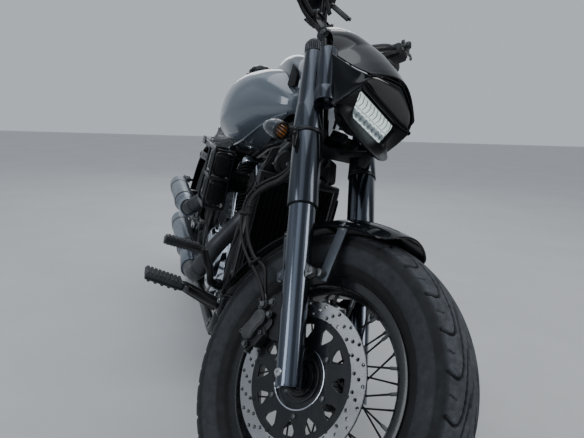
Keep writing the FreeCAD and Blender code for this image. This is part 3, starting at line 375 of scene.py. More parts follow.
def tube(path, r, n=14, caps=True, flat=None, closed=False):
    """Tube along a path; r a number or one for each point; flat=(a, b) makes an a by b oval."""
    P = np.array(path, float)
    k = len(P)
    R = np.full(k, float(r)) if np.isscalar(r) else np.array(r, float)
    T = np.gradient(P, axis=0) if not closed else np.roll(P, -1, 0) - np.roll(P, 1, 0)
    T /= np.linalg.norm(T, axis=1)[:, None]
    ref = np.array((0, 0, 1.0)) if abs(T[0][2]) < 0.9 else np.array((0, 1.0, 0))
    u = np.cross(ref, T[0]); u /= np.linalg.norm(u)
    V, F = [], []
    a = np.linspace(0, 2 * math.pi, n, endpoint=False)
    ca, sa = np.cos(a)[:, None], np.sin(a)[:, None]
    fa, fb = flat if flat else (1, 1)
    for i in range(k):
        u = u - T[i] * float(u @ T[i]); u /= np.linalg.norm(u)
        w = np.cross(T[i], u)
        V.append(P[i] + R[i] * (fa * ca * u + fb * sa * w))
    V = np.concatenate(V)
    for i in range(k if closed else k - 1):
        i2 = (i + 1) % k
        for j in range(n):
            j2 = (j + 1) % n
            F.append((i * n + j, i * n + j2, i2 * n + j2, i2 * n + j))
    if caps and not closed:
        F.append(tuple(range(n - 1, -1, -1)))
        F.append(tuple((k - 1) * n + j for j in range(n)))
    return V, F

def hollow_tube(path, r_out, r_in, n=32):
    A, FA = tube(path, r_out, n, caps=False)
    B, FB = tube(path, r_in, n, caps=False)
    k, s = len(path), len(A)
    F = list(FA) + [tuple(reversed([i + s for i in f])) for f in FB]
    for j in range(n):
        j2 = (j + 1) % n
        F.append((j2, j, s + j, s + j2))
        e = (k - 1) * n
        F.append((e + j, e + j2, s + e + j2, s + e + j))
    return np.concatenate([A, B]), F

_cache = {}
def from_bm(bm):
    bm.verts.ensure_lookup_table()
    V = np.array([v.co[:] for v in bm.verts]); F = [tuple(v.index for v in f.verts) for f in bm.faces]
    bm.free()
    return V, F

def boxr(x0, x1, y0, y1, z0, z1, b=2.0, seg=2, M4=None):
    """Block with rounded edges."""
    sx, sy, sz = x1 - x0, y1 - y0, z1 - z0
    b = min(b, 0.48 * min(sx, sy, sz))
    bm = bmesh.new()
    bmesh.ops.create_cube(bm, size=1.0)
    for v in bm.verts:
        v.co = Vector(((x0 + x1) / 2 + v.co.x * sx, (y0 + y1) / 2 + v.co.y * sy, (z0 + z1) / 2 + v.co.z * sz))
    if b > 0:
        bmesh.ops.bevel(bm, geom=list(bm.edges), offset=b, segments=seg, profile=0.5, affect="EDGES", clamp_overlap=True)
    bm.verts.index_update()
    V, F = from_bm(bm)
    return (xf(M4, V) if M4 is not None else V), F

def plate(outline, t, plane="yz", at=0.0, bevel=1.0, M4=None, seg=2):
    """Flat plate with that outline, t thick from at, edges rounded; plane gives its two outline axes."""
    ax = {"x": 0, "y": 1, "z": 2}
    i, j = ax[plane[0]], ax[plane[1]]
    k = 3 - i - j
    bm = bmesh.new()
    lo, hi = [], []
    for a, b in outline:
        for lst, h in ((lo, at), (hi, at + t)):
            c = [0, 0, 0]; c[i], c[j], c[k] = a, b, h
            lst.append(bm.verts.new(c))
    bm.faces.new(lo); bm.faces.new(list(reversed(hi)))
    n = len(lo)
    for q in range(n):
        bm.faces.new((lo[q], hi[q], hi[(q + 1) % n], lo[(q + 1) % n]))
    bmesh.ops.recalc_face_normals(bm, faces=list(bm.faces))
    if bevel > 0:
        es = [e for e in bm.edges if len(e.link_faces) == 2 and e.calc_face_angle(0) > 0.35]
        bmesh.ops.bevel(bm, geom=es, offset=min(bevel, 0.45 * abs(t)), segments=seg, profile=0.5, affect="EDGES", clamp_overlap=True)
    bm.verts.index_update()
    V, F = from_bm(bm)
    return (xf(M4, V) if M4 is not None else V), F

def round_outline(points, r=6.0, seg=5):
    return soft_profile(points, r, seg, loop=True)

def circle2(cx, cy, r, n=16, a0=0.0):
    return [(cx + r * math.cos(a0 + 2 * math.pi * i / n), cy + r * math.sin(a0 + 2 * math.pi * i / n)) for i in range(n)]

def holed(outer, holes, t, plane="yz", at=0.0, bevel=0.0):
    """Flat plate of that outline with holes through it: two faces from a triangulation, and the walls."""
    pts, edges, loops = [], [], []
    for L in [outer] + list(holes):
        s = len(pts); pts += [tuple(p) for p in L]
        edges += [(s + i, s + (i + 1) % len(L)) for i in range(len(L))]
        loops.append((s, len(L)))
    v, e, f, ov, oe, of_ = delaunay_2d_cdt([Vector(p) for p in pts], edges, [], 1, 1e-5)
    P = np.array([p[:] for p in v])
    back = {}
    for i, o in enumerate(ov):
        for q in o: back[q] = i
    keep = []
    HL = [np.array(h) for h in holes]
    cen = [h.mean(0) for h in HL]; rad = [np.max(np.linalg.norm(h - c, axis=1)) for h, c in zip(HL, cen)]
    def inside(p, L):
        x, y = p; c = False; n = len(L); j = n - 1
        for i in range(n):
            if (L[i][1] > y) != (L[j][1] > y) and x < (L[j][0] - L[i][0]) * (y - L[i][1]) / (L[j][1] - L[i][1]) + L[i][0]: c = not c
            j = i
        return c
    outer_ = np.array(outer)
    for face in f:
        c = P[list(face)].mean(0)
        if not inside(c, outer_): continue
        if any(np.linalg.norm(c - cen[k]) <= rad[k] and inside(c, HL[k]) for k in range(len(HL))): continue
        keep.append(tuple(face))
    ax = {"x": 0, "y": 1, "z": 2}; i, j = ax[plane[0]], ax[plane[1]]; k = 3 - i - j
    n = len(P)
    V = np.zeros((2 * n, 3)); V[:n, i] = V[n:, i] = P[:, 0]; V[:n, j] = V[n:, j] = P[:, 1]; V[:n, k] = at; V[n:, k] = at + t
    F = [tuple(q) for q in keep] + [tuple(reversed([q + n for q in fc])) for fc in keep]
    for s, m in loops:
        for q in range(m):
            a, b = back[s + q], back[s + (q + 1) % m]
            F.append((a, b, b + n, a + n))
    return V, F

def grid(P, close_u=False, close_v=False):
    """Faces over an array of points [u][v]."""
    P = np.array(P, float); nu, nv = P.shape[:2]
    F = []
    for i in range(nu if close_u else nu - 1):
        i2 = (i + 1) % nu
        for j in range(nv if close_v else nv - 1):
            j2 = (j + 1) % nv
            F.append((i * nv + j, i * nv + j2, i2 * nv + j2, i2 * nv + j))
    return P.reshape(-1, 3), F

def grid_normals(P, close_u=False, close_v=False):
    def diff(A, ax, wrap):
        if wrap: return np.roll(A, -1, ax) - np.roll(A, 1, ax)
        return np.gradient(A, axis=ax)
    du, dv = diff(P, 0, close_u), diff(P, 1, close_v)
    N = np.cross(dv, du)
    L = np.linalg.norm(N, axis=2, keepdims=True); L[L < 1e-9] = 1
    return N / L

def shell(P, t, flip=False):
    """Sheet of thickness t over a grid of points, closed round its edges."""
    P = np.array(P, float)
    N = grid_normals(P) * (-1 if flip else 1)
    Q = P - N * (t[..., None] if isinstance(t, np.ndarray) else t)
    nu, nv = P.shape[:2]
    V1, F1 = grid(P); V2, F2 = grid(Q)
    s = len(V1)
    F = list(F1) + [tuple(reversed([i + s for i in f])) for f in F2]
    def id_(i, j): return i * nv + j
    for i in range(nu - 1):
        F.append((id_(i, 0), id_(i + 1, 0), s + id_(i + 1, 0), s + id_(i, 0)))
        F.append((id_(i + 1, nv - 1), id_(i, nv - 1), s + id_(i, nv - 1), s + id_(i + 1, nv - 1)))
    for j in range(nv - 1):
        F.append((id_(0, j + 1), id_(0, j), s + id_(0, j), s + id_(0, j + 1)))
        F.append((id_(nu - 1, j), id_(nu - 1, j + 1), s + id_(nu - 1, j + 1), s + id_(nu - 1, j)))
    return np.concatenate([V1, V2]), F

def rounded_rect(half, z0, z1, c, n=8, x=0.0):
    """Outline of a section: points (x, z), corners of n steps."""
    c = min(c, half * 0.98, (z1 - z0) * 0.49)
    out = []
    for cx, cz, a0 in ((x + half - c, z0 + c, -90), (x + half - c, z1 - c, 0), (x - half + c, z1 - c, 90), (x - half + c, z0 + c, 180)):
        for k in range(n + 1):
            a = math.radians(a0 + 90 * k / n)
            out.append((cx + c * math.cos(a), cz + c * math.sin(a)))
    return out

def loft_rings(rings, cap=True):
    """Skin over closed rings with the same number of points."""
    P = np.array(rings, float); k, n = P.shape[:2]
    V, F = grid(P, close_v=True)
    if cap:
        F.append(tuple(range(n - 1, -1, -1)))
        F.append(tuple((k - 1) * n + j for j in range(n)))
    return V, F

def hexbolt(p, d, af=10.0, h=6.0, washer=True, stud=0.0):
    T = axis_frame(p, d)
    out = []
    r = af / math.sqrt(3)
    out.append(lathe([(0.0, r), (h * 0.82, r), (h, r * 0.86)], 6, M4=T))
    if washer: out.append(lathe([(-0.2, af * 0.72), (1.2, af * 0.72)], 24, M4=T))
    if stud: out.append(lathe([(h - 1, stud), (h + 3, stud), (h + 4, stud * 0.8)], 14, M4=T))
    return out

def capbolt(p, d, r=5.0, h=6.0):
    """Socket head screw: a round head with a shallow round well."""
    T = axis_frame(p, d)
    n = 24
    out = [lathe([(0, r), (h - 0.7, r), (h, r - 0.7), (h, r * 0.56), (h * 0.45, r * 0.52)], n, M4=T)]
    return out

def domebolt(p, d, r=5.0, h=3.5):
    return [lathe([(0, r), (h * 0.35, r * 0.98), (h * 0.75, r * 0.75), (h, r * 0.42), (h, r * 0.38), (h * 0.5, r * 0.34)], 20, M4=axis_frame(p, d))]

class Piece:
    def __init__(self, name, where, body, *mats, crease=32.0):
        self.name, self.M4, self.body, self.mats, self.crease = name, WHERE[where], body, mats, crease
        self.V, self.F, self.I, self.n = [], [], [], 0
    def add(self, vf, mat=0, M4=None):
        if isinstance(vf, list):
            for q in vf: self.add(q, mat, M4)
            return self
        V, F = vf
        V = np.asarray(V, float)
        if M4 is not None: V = xf(M4, V)
        self.V.append(V)
        n = self.n
        self.F.extend(tuple(i + n for i in f) for f in F)
        self.I.extend([mat] * len(F))
        self.n += len(V)
        return self
    def mirror(self, vf, mat=0, M4=None):
        """The piece and its mirror image in x."""
        if isinstance(vf, list):
            for q in vf: self.mirror(q, mat, M4)
            return self
        V, F = vf
        if M4 is not None: V = xf(M4, V)
        self.add((V, F), mat)
        W = np.array(V, float); W[:, 0] *= -1
        return self.add((W, [tuple(reversed(f)) for f in F]), mat)
    def done(self, replaces=(), slot=None, normals=True, sub=0, ride=True):
        V = np.concatenate(self.V)
        me = bpy.data.meshes.new(self.name)
        me.from_pydata((xf(self.M4, V) * 0.001).tolist(), [], self.F)
        me.polygons.foreach_set("material_index", np.array(self.I, np.int32))
        for k in self.mats:
            me.materials.append(M[k])
        if normals:
            bm = bmesh.new(); bm.from_mesh(me)
            bmesh.ops.recalc_face_normals(bm, faces=bm.faces)
            bm.to_mesh(me); bm.free()
        at = me.attributes.new("loc", "FLOAT_VECTOR", "POINT")
        at.data.foreach_set("vector", V.astype(np.float32).ravel())
        me.validate()
        me.shade_smooth()
        if self.crease < 179:
            me.set_sharp_from_angle(angle=math.radians(self.crease))
        o = bpy.data.objects.new(self.name, me)
        scene.collection.objects.link(o)
        if ride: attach(o, self.body)
        if replaces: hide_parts(*replaces)
        return o

# ================================================================== wheels
def disc_material():
    """Ground rotor steel: fine rings about the axle, read from the piece's own coordinates."""
    m, nt, b = new_mat("disc_steel")
    loc = coords(nt, local=True)
    sep = nt.nodes.new("ShaderNodeSeparateXYZ"); nt.links.new(loc, sep.inputs[0])
    com = nt.nodes.new("ShaderNodeCombineXYZ")
    nt.links.new(sep.outputs[1], com.inputs[1]); nt.links.new(sep.outputs[2], com.inputs[2])
    ln = nt.nodes.new("ShaderNodeVectorMath"); ln.operation = "LENGTH"; nt.links.new(com.outputs[0], ln.inputs[0])
    cx = nt.nodes.new("ShaderNodeCombineXYZ"); nt.links.new(ln.outputs["Value"], cx.inputs[0])
    rings = noise(nt, cx.outputs[0], 1.6, 6.0, 0.8)
    cloud = noise(nt, coords(nt), 30.0, 4.0)
    nt.links.new(ramp(nt, rings, [(0.3, (0.36, 0.37, 0.38)), (0.7, (0.48, 0.49, 0.50))]), b.inputs["Base Color"])
    nt.links.new(rng(nt, cloud, 0.24, 0.31), b.inputs["Roughness"])
    b.inputs["Metallic"].default_value = 1.0
    b.inputs["Anisotropic"].default_value = 0.5
    bump(nt, b, rings, 0.07, 0.0002)
    return m
M["disc_steel"] = disc_material()

def rubber(name, c0, c1, dust, amount, rough=(0.62, 0.82)):
    """Tyre rubber: near black in what is cut deep, greyed by road dust where it runs on the ground."""
    m, nt, b = new_mat(name)
    v = coords(nt)
    col = ramp(nt, noise(nt, v, 26.0, 6.0, 0.7), [(0.3, c0), (0.7, c1)])
    a = nt.nodes.new("ShaderNodeAttribute"); a.attribute_name = "wear"
    n1 = rng(nt, noise(nt, v, 60.0, 8.0, 0.75), 0.25, 1.0, 0.30, 0.66)
    n2 = rng(nt, noise(nt, v, 9.0, 4.0, 0.6), 0.6, 1.0, 0.35, 0.65)
    k = nt.nodes.new("ShaderNodeMath"); k.operation = "MULTIPLY"; nt.links.new(n1, k.inputs[0]); nt.links.new(a.outputs["Fac"], k.inputs[1])
    k1 = nt.nodes.new("ShaderNodeMath"); k1.operation = "MULTIPLY"; nt.links.new(k.outputs[0], k1.inputs[0]); nt.links.new(n2, k1.inputs[1])
    k2 = nt.nodes.new("ShaderNodeMath"); k2.operation = "MULTIPLY"; k2.inputs[1].default_value = amount; nt.links.new(k1.outputs[0], k2.inputs[0])
    mix = nt.nodes.new("ShaderNodeMix"); mix.data_type = "RGBA"
    nt.links.new(k2.outputs[0], mix.inputs["Factor"]); nt.links.new(col, mix.inputs[6]); mix.inputs[7].default_value = (*dust, 1)
    nt.links.new(mix.outputs[2], b.inputs["Base Color"])
    nt.links.new(rng(nt, noise(nt, v, 50.0, 4.0), *rough), b.inputs["Roughness"])
    b.inputs["Specular IOR Level"].default_value = 0.34
    b1 = bump(nt, b, noise(nt, v, 900.0, 3.0), 0.30, 0.0004)
    bump(nt, b, noise(nt, v, 130.0, 6.0, 0.7), 0.20, 0.0010, b1)
    return m
M["tyre"] = rubber("tyre", (0.0055, 0.0058, 0.0065), (0.0105, 0.0110, 0.0120), (0.112, 0.122, 0.140), 0.95)

def seg_distance(px, py, line):
    """Distance of points from a polyline, and how far along it they are (0 to 1)."""
    L = np.array(line, float)
    best = np.full(px.shape, 1e9); where = np.zeros(px.shape)
    lens = np.linalg.norm(np.diff(L, axis=0), axis=1); tot = lens.sum(); acc = 0.0
    for i in range(len(L) - 1):
        ax, ay = L[i]; dx, dy = L[i + 1] - L[i]
        t = np.clip(((px - ax) * dx + (py - ay) * dy) / (dx * dx + dy * dy), 0, 1)
        d = np.hypot(px - ax - t * dx, py - ay - t * dy)
        m_ = d < best
        best[m_] = d[m_]; where[m_] = ((acc + t * lens[i]) / tot)[m_]
        acc += lens[i]
    return best, where

def tyre(name, R, half, crown, rim_r, rim_half, n_around, n_tread, n_side, pitches, where, centre, body, node_name):
    edge = half - 7.0
    drop = crown - math.sqrt(crown * crown - edge * edge)
    seat = rim_r - 13.0
    wide = rim_r + (R - rim_r) * 0.46
    inx = rim_half - 4.0
    a_edge = math.asin(edge / crown)
    # columns: x, r, outward normal (nx, nr), s (distance from the crown), kind (1 tread, 0 side)
    cols = []
    def three_arc(p0, p1, p2, n):
        A = np.array([p0, p1, p2], float)
        d = 2 * (A[0, 0] * (A[1, 1] - A[2, 1]) + A[1, 0] * (A[2, 1] - A[0, 1]) + A[2, 0] * (A[0, 1] - A[1, 1]))
        q = (A ** 2).sum(1)
        c = np.array(((q[0] * (A[1, 1] - A[2, 1]) + q[1] * (A[2, 1] - A[0, 1]) + q[2] * (A[0, 1] - A[1, 1])) / d,
                      (q[0] * (A[2, 0] - A[1, 0]) + q[1] * (A[0, 0] - A[2, 0]) + q[2] * (A[1, 0] - A[0, 0])) / d))
        a0, a2 = math.atan2(*(A[0] - c)[::-1]), math.atan2(*(A[2] - c)[::-1])
        rr = np.linalg.norm(A[0] - c)
        return [(c[0] + rr * math.cos(a0 + (a2 - a0) * k / n), c[1] + rr * math.sin(a0 + (a2 - a0) * k / n),
                 math.cos(a0 + (a2 - a0) * k / n), math.sin(a0 + (a2 - a0) * k / n)) for k in range(n + 1)]
    side = three_arc((inx, rim_r + 2), (half, wide), (edge, R - drop), n_side)
    right = [(inx - 3, seat + 0.4, 0, -1, 0, 2), (inx, seat + 0.4, 0.7, -0.7, 0, 2), (inx, rim_r - 4, 1, 0, 0, 2)]
    for (x, r, nx, nr) in side[:-1]: right.append((x, r, nx, nr, crown * a_edge + (R - drop - r), 0))
    for k in range(n_tread + 1):
        a = a_edge * (1 - 2 * k / n_tread)
        cols.append((crown * math.sin(a), R - crown + crown * math.cos(a), math.sin(a), math.cos(a), crown * a, 1))
    left = [(-x, r, -nx, nr, -s, k) for (x, r, nx, nr, s, k) in reversed(right)]
    C = np.array(right + cols + left, float)
    nc = len(C)
    th = np.linspace(0, 2 * math.pi, n_around, endpoint=False)
    TH, X = np.meshgrid(th, C[:, 0], indexing="ij")
    S = np.broadcast_to(C[:, 4], TH.shape); RR = np.broadcast_to(C[:, 1], TH.shape); K = np.broadcast_to(C[:, 5], TH.shape)
    depth = np.zeros(TH.shape)
    cut_ = np.zeros(TH.shape)
    circ = 2 * math.pi * R
    pitch = circ / pitches
    s_edge = crown * a_edge
    k_ = s_edge / 61.5
    # one side's grooves: columns are distance from the crown, and distance round the wheel
    hook = catmull([(66 * k_, 6), (58 * k_, 0), (48 * k_, -5), (40 * k_, -3), (34.5 * k_, 8), (30.5 * k_, 28), (26.5 * k_, 60), (21.5 * k_, 96), (15 * k_, 128)], 5)
    sipe = catmull([(63 * k_, 44), (55 * k_, 39), (49 * k_, 37)], 4)
    short = catmull([(14 * k_, 30), (9.5 * k_, 52), (7.5 * k_, 72)], 4)
    cpos = -TH * R
    treadish = (K > 0.5) & (K < 1.5) | ((K < 0.5) & (np.abs(S) < s_edge + 9))
    for sgn, off in ((1, 0.0), (-1, 0.5)):
        mask_ = treadish & (S * sgn > 2 * k_)
        for shift in (-2, -1, 0, 1):
            c = (cpos - off * pitch) % pitch + (-shift) * pitch - 0.0
            for line, w0, w1, dep in ((hook, 2.7, 1.3, 5.6), (sipe, 1.2, 1.0, 2.6), (short, 1.3, 0.9, 2.6)):
                if line is not hook and shift not in (-1, 0): continue
                px, py = S[mask_] * sgn, c[mask_]
                near = (py > line[:, 1].min() - 8) & (py < line[:, 1].max() + 8)
                d = np.full(px.shape, 99.0); w = np.zeros(px.shape)
                if near.any():
                    dd, ww = seg_distance(px[near], py[near], line); d[near] = dd; w[near] = ww
                half_w = w0 + (w1 - w0) * w
                fade = np.clip((1 - w) / 0.12, 0, 1) if line is hook else 1.0
                g = np.clip((half_w + 1.1 - d) / 1.9, 0, 1); g = g * g * (3 - 2 * g)
                depth[mask_] = np.maximum(depth[mask_], g * dep * (0.45 + 0.55 * fade))
                cut_[mask_] = np.maximum(cut_[mask_], g)
    # sidewall: bead ridge, raised plain band, fine ribs, shoulder step
    r_ = RR
    side_m = K < 0.5
    raise_ = np.zeros(TH.shape)
    h_ = R - rim_r
    def band(a, b, soft, hgt):
        t = (r_ - rim_r) / h_
        return hgt * np.clip((t - a) / soft, 0, 1) * np.clip((b - t) / soft, 0, 1)
    raise_ += band(0.075, 0.125, 0.02, 1.5)
    raise_ += band(0.235, 0.60, 0.012, 0.8)
    for q in (0.66, 0.695, 0.73): raise_ += band(q, q + 0.018, 0.006, 0.45)
    # plain raised bars round the band, evenly spaced
    t_ = (r_ - rim_r) / h_
    bars = (np.cos(TH * 6) > 0.93) & (t_ > 0.30) & (t_ < 0.54)
    raise_ += np.where(bars, 0.7, 0)
    disp = np.where(side_m, raise_, 0) - depth
    nx = np.broadcast_to(C[:, 2], TH.shape); nr = np.broadcast_to(C[:, 3], TH.shape)
    X2, R2 = X + nx * disp, RR + nr * disp
    # keep the greatest radius on the crown
    P = np.stack([X2, R2 * -np.sin(TH), R2 * np.cos(TH)], -1)
    p = Piece(name, where, body, "tyre", crease=60)
    V, F = grid(P, close_u=True, close_v=True)
    p.add((V, F), 0, M4=move(0, *centre))
    o = p.done(replaces=(node_name,), slot="tyre")
    wear = np.where(K > 0.5, 1.0, 0.0) * (1 - 0.93 * cut_)
    wear = np.where(K > 1.5, 0, wear)
    shoulder = np.clip((np.abs(S) - s_edge) / 10.0, 0, 1)
    wear = np.where(side_m, np.maximum(0.62 * (1 - shoulder) * (1 - cut_), band(0.235, 0.60, 0.012, 0.30) + 0.05), wear)
    at = o.data.attributes.new("wear", "FLOAT", "POINT")
    at.data.foreach_set("value", wear.astype(np.float32).ravel())
    return o

tyre("front_tyre_rubber", 320.0, 65.0, 105.0, 217.0, 43.0, 840, 62, 20, 26, "L", (0, 0), "front_wheel", "front_tyre")
tyre("rear_tyre_rubber", 326.5, 85.0, 125.0, 204.0, 58.0, 620, 58, 16, 26, "D", (WHEELBASE, R_R), "rear_wheel", "rear_tyre")

def rim(name, rim_r, half, where, centre, body, node_name, n=128):
    seat = rim_r - 13.0
    w = half
    outer = [(-w, rim_r - 1.5), (-w + 1.9, rim_r), (-w + 3.9, rim_r - 1.5), (-w + 3.9, seat - 0.1), (-w * 0.60, seat - 0.1), (-w * 0.40, seat - 14.5),
             (w * 0.40, seat - 14.5), (w * 0.60, seat - 0.1), (w - 3.9, seat - 0.1), (w - 3.9, rim_r - 1.5), (w - 1.9, rim_r), (w, rim_r - 1.5)]
    inner = [(w, seat - 5), (w * 0.93, seat - 8), (w * 0.70, seat - 9), (w * 0.60, seat - 13.5), (w * 0.42, seat - 22), (w * 0.18, seat - 22.3), (-w * 0.18, seat - 22.3),
             (-w * 0.42, seat - 22), (-w * 0.60, seat - 13.5), (-w * 0.70, seat - 9), (-w * 0.93, seat - 8), (-w, seat - 5)]
    p = Piece(name, where, body, "wheel_black", "bright_steel", crease=40)
    T = move(0, *centre)
    p.add(lathe(soft_profile(outer + inner, 1.4, 2, True), n, True), 0, T)
    # valve
    for q in (T @ turn((1, 0, 0), 200),):
        p.add(cyl((0, 0, seat - 20), (2, 0, seat - 58), 4.0, 14), 0, q)
        p.add(cyl((2, 0, seat - 58), (2.4, 0, seat - 68), 4.8, 14), 0, q)
    return p.done(replaces=(node_name,))
rim("front_rim_black", 217.0, 43.0, "L", (0, 0), "front_wheel", "front_rim")
rim("rear_rim_black", 204.0, 58.0, "D", (WHEELBASE, R_R), "rear_wheel", "rear_rim")

def spokes(name, rim_r, where, centre, body, node_name, n=40, hub_half=38.0):
    seat = rim_r - 13.0
    p = Piece(name, where, body, "spoke_black", "dull_steel", crease=40)
    T = move(0, *centre)
    for i in range(n):
        side = -1 if i % 2 else 1
        lean = 1 if (i // 2) % 2 else -1
        a = 360.0 * i / n
        xh = side * (hub_half + (4 if lean > 0 else -4))
        P = np.array((xh, 46.0 * sind(a - lean * 22), 46.0 * cosd(a - lean * 22)))
        a2 = a + lean * 20.0
        Q = np.array((side * 9.0, (seat - 21.0) * sind(a2), (seat - 21.0) * cosd(a2)))
        u = (Q - P) / np.linalg.norm(Q - P)
        # the spoke, a little thicker at its two ends, with its bent head and its nipple
        p.add(tube([P, P + u * 22, P + u * 30, Q - u * 40, Q - u * 30, Q], [2.3, 2.3, 1.9, 1.9, 2.2, 2.2], 8), 0, T)
        p.add(tube([P + u * 2, P + np.array((-side * lean * 3.5, 0, 0)), P + np.array((-side * lean * 9.0, 0, 0)) - u * 1], [2.3, 2.5, 2.5], 8), 0, T)
        p.add(turned(P + np.array((-side * lean * 8.0, 0, 0)), (-side * lean, 0, 0), [(0, 4.2), (2.6, 3.4)], 10, 0.5, 1), 0, T)
        p.add(turned(Q - u * 19, u, [(0, 2.9), (3, 3.6), (14, 3.6), (20, 4.6)], 8, 0.3, 1), 1, T)
    return p.done(replaces=(node_name,))
spokes("front_wire_spokes", 217.0, "L", (0, 0), "front_wheel", "front_spokes")
spokes("rear_wire_spokes", 204.0, "D", (WHEELBASE, R_R), "rear_wheel", "rear_spokes")

def ring_holes(r, n, d, a0=0.0, k=14):
    return [circle2(r * math.cos(a0 + 2 * math.pi * i / n), r * math.sin(a0 + 2 * math.pi * i / n), d / 2, k) for i in range(n)]

def hub(name, prof, where, centre, body, node_name, n=72):
    p = Piece(name, where, body, "wheel_black", "polished_metal", "frame_black", crease=34)
    T = move(0, *centre)
    p.add(lathe(soft_profile(prof + [(prof[-1][0], 10.05), (prof[0][0], 10.05)], 1.6, 2, True), n, True), 0, T)
    # ribs between the spoke flanges and drilled-flange webs
    for i in range(20):
        a = 18.0 * i
        p.add(boxr(-27, 27, -1.6, 1.6, 33, 38.5, 1.0, 1), 0, T @ turn((1, 0, 0), a))
    return p, T
F_HUB = [(-88, 16), (-88, 24), (-79, 24), (-79, 34.5), (-73.5, 36), (-73.5, 55), (-66, 55), (-58, 40), (-46, 40), (-46, 50),
         (-42, 50.6), (-34, 50.6), (-30, 50), (-26, 34), (26, 34), (30, 50), (34, 50.6), (42, 50.6), (46, 50), (46, 38), (62, 38), (70, 24), (88, 24), (88, 16)]
p, T = hub("front_hub_barrel", F_HUB, "L", (0, 0), "front_wheel", "front_hub")
# raised rings of the bearing seal on the disc side
p.add(lathe(soft_profile([(-81.5, 33.0), (-81.5, 27.5), (-79.0, 27.5), (-79.0, 33.0)], 0.6, 2, True), 64, True), 2, T)
p.add(lathe(soft_profile([(-76.6, 46.5), (-76.6, 41.0), (-73.0, 41.0), (-73.0, 46.5)], 0.6, 2, True), 64, True), 2, T)
for i in range(10):
    p.add(domebolt((-73.2, 50.6 * sind(36 * i + 9), 50.6 * cosd(36 * i + 9)), (-1, 0, 0), 2.4, 1.8), 2, T)
p.done(replaces=("front_hub",))
R_HUB = [(-88, 18), (-88, 26), (-81, 26), (-81, 58), (-70, 58), (-62, 40), (-46, 40), (-46, 50), (-30, 50), (-26, 40),
         (26, 40), (30, 50), (46, 50), (46, 44), (60, 44), (66, 62), (80, 62), (80, 26), (86, 26), (86, 18)]
p, T = hub("rear_hub_barrel", R_HUB, "D", (WHEELBASE, R_R), "rear_wheel", "rear_hub")
p.done(replaces=("rear_hub",))

def rotor(name, x, r_out, r_in, inner, where, centre, body, node_name, groups, win_n, win_in, win_out, first, bolt_n, bolt_r, bolt_first, thick=5.0, step=None):
    p = Piece(name, where, body, "disc_steel", "wheel_black", "polished_metal", "dull_steel", crease=30)
    T = move(0, *centre)
    # columns of the drilling: radius share, turn of the three holes in a group
    holes = []
    for i in range(groups):
        for f, da in ((0.20, -0.32), (0.50, 0.0), (0.80, 0.32)):
            a = 2 * math.pi * (i + da) / groups + 0.05
            r = r_in + (r_out - r_in) * f
            holes.append(circle2(r * math.cos(a), r * math.sin(a), 4.0, 14))
    n = 144
    p.add(holed(circle2(0, 0, r_out - 0.6, n), holes + [circle2(0, 0, r_in, n)], thick - 1.2, "yz", x - thick / 2 + 0.6), 0, T)
    # ground faces stand a little proud of the rim of the disc
    for s in (-1, 1):
        xa = x + s * (thick / 2 - 0.6)
        p.add(holed(circle2(0, 0, r_out - 1.6, n), holes + [circle2(0, 0, r_in + 1.0, n)], s * 0.6, "yz", xa), 0, T)
    # carrier: plate with windows wide at their outer side
    wins = []
    for i in range(win_n):
        a = math.radians(first - 360.0 / win_n * i)
        def at(r, da): return (-r * math.cos(a + math.radians(da)), r * math.sin(a + math.radians(da)))
        q = [at(win_out, -7.6), at(win_out, 7.6), at((win_in * 0.35 + win_out * 0.65), 8.2), at(win_in, 1.8), at(win_in, -1.8), at((win_in * 0.35 + win_out * 0.65), -8.2)]
        wins.append(round_outline(q, 4.2, 3))
    carrier_holes = wins + [circle2(0, 0, inner, 72)]
    p.add(holed(circle2(0, 0, r_in + 0.9, n), carrier_holes, 4.0, "yz", x - 2.0), 1, T)
    # a rolled lip round each window
    for w_ in wins:
        path = [(x - 2.0, a_, b_) for a_, b_ in w_]
        p.add(tube(path, 0.8, 6, closed=True), 1, T)
    # bright ring round the carrier's opening, and its fixing screws
    p.add(lathe(soft_profile([(x - 3.2, inner + 2.2), (x - 3.2, inner - 0.4), (x + 2.5, inner - 0.4), (x + 2.5, inner + 2.2)], 0.7, 2, True), 96, True), 2, T)
    for i in range(bolt_n):
        a = math.radians(bolt_first - 360.0 / bolt_n * i)
        c = (x - 2.0, -bolt_r * math.cos(a), bolt_r * math.sin(a))
        p.add(turned(c, (-1, 0, 0), [(0, 6.6), (1.0, 6.4)], 24, 0.4, 1), 1, T)
        p.add(domebolt((c[0] - 0.9, c[1], c[2]), (-1, 0, 0), 5.2, 3.0), 3, T)
    # buttons where the rotor floats on its carrier
    for i in range(10):
        a = 2 * math.pi * i / 10 + 0.31
        c = (x - 2.3, (r_in - 2) * math.cos(a), (r_in - 2) * math.sin(a))
        p.add(turned(c, (-1, 0, 0), [(0, 5.0), (1.0, 4.8)], 20, 0.5, 1), 1, T)
    return p
p = rotor("front_brake_disc", -76.0, 153.5, 120.0, 59.0, "L", (0, 0), "front_wheel", "front_disc", 24, 12, 78.0, 108.0, 80.7, 6, 71.0, 25.7)
# inner ring that ties the carrier to the hub, behind the bright ring
p.add(lathe(soft_profile([(-74.2, 60.0), (-74.2, 36.2), (-72.0, 36.2), (-72.0, 60.0)], 0.5, 2, True), 72, True), 1)
p.done(replaces=("front_disc",))
p = rotor("rear_brake_disc", -86.0, 125.0, 95.0, 40.0, "D", (WHEELBASE, R_R), "rear_wheel", "rear_disc", 20, 10, 62.0, 84.0, 0.0, 5, 52.0, 18.0)
p.add(lathe(soft_profile([(-87.5, 41.5), (-87.5, 26.2), (-84.5, 26.2), (-84.5, 41.5)], 0.5, 2, True), 60, True), 1, move(0, WHEELBASE, R_R))
p.done(replaces=("rear_disc",))
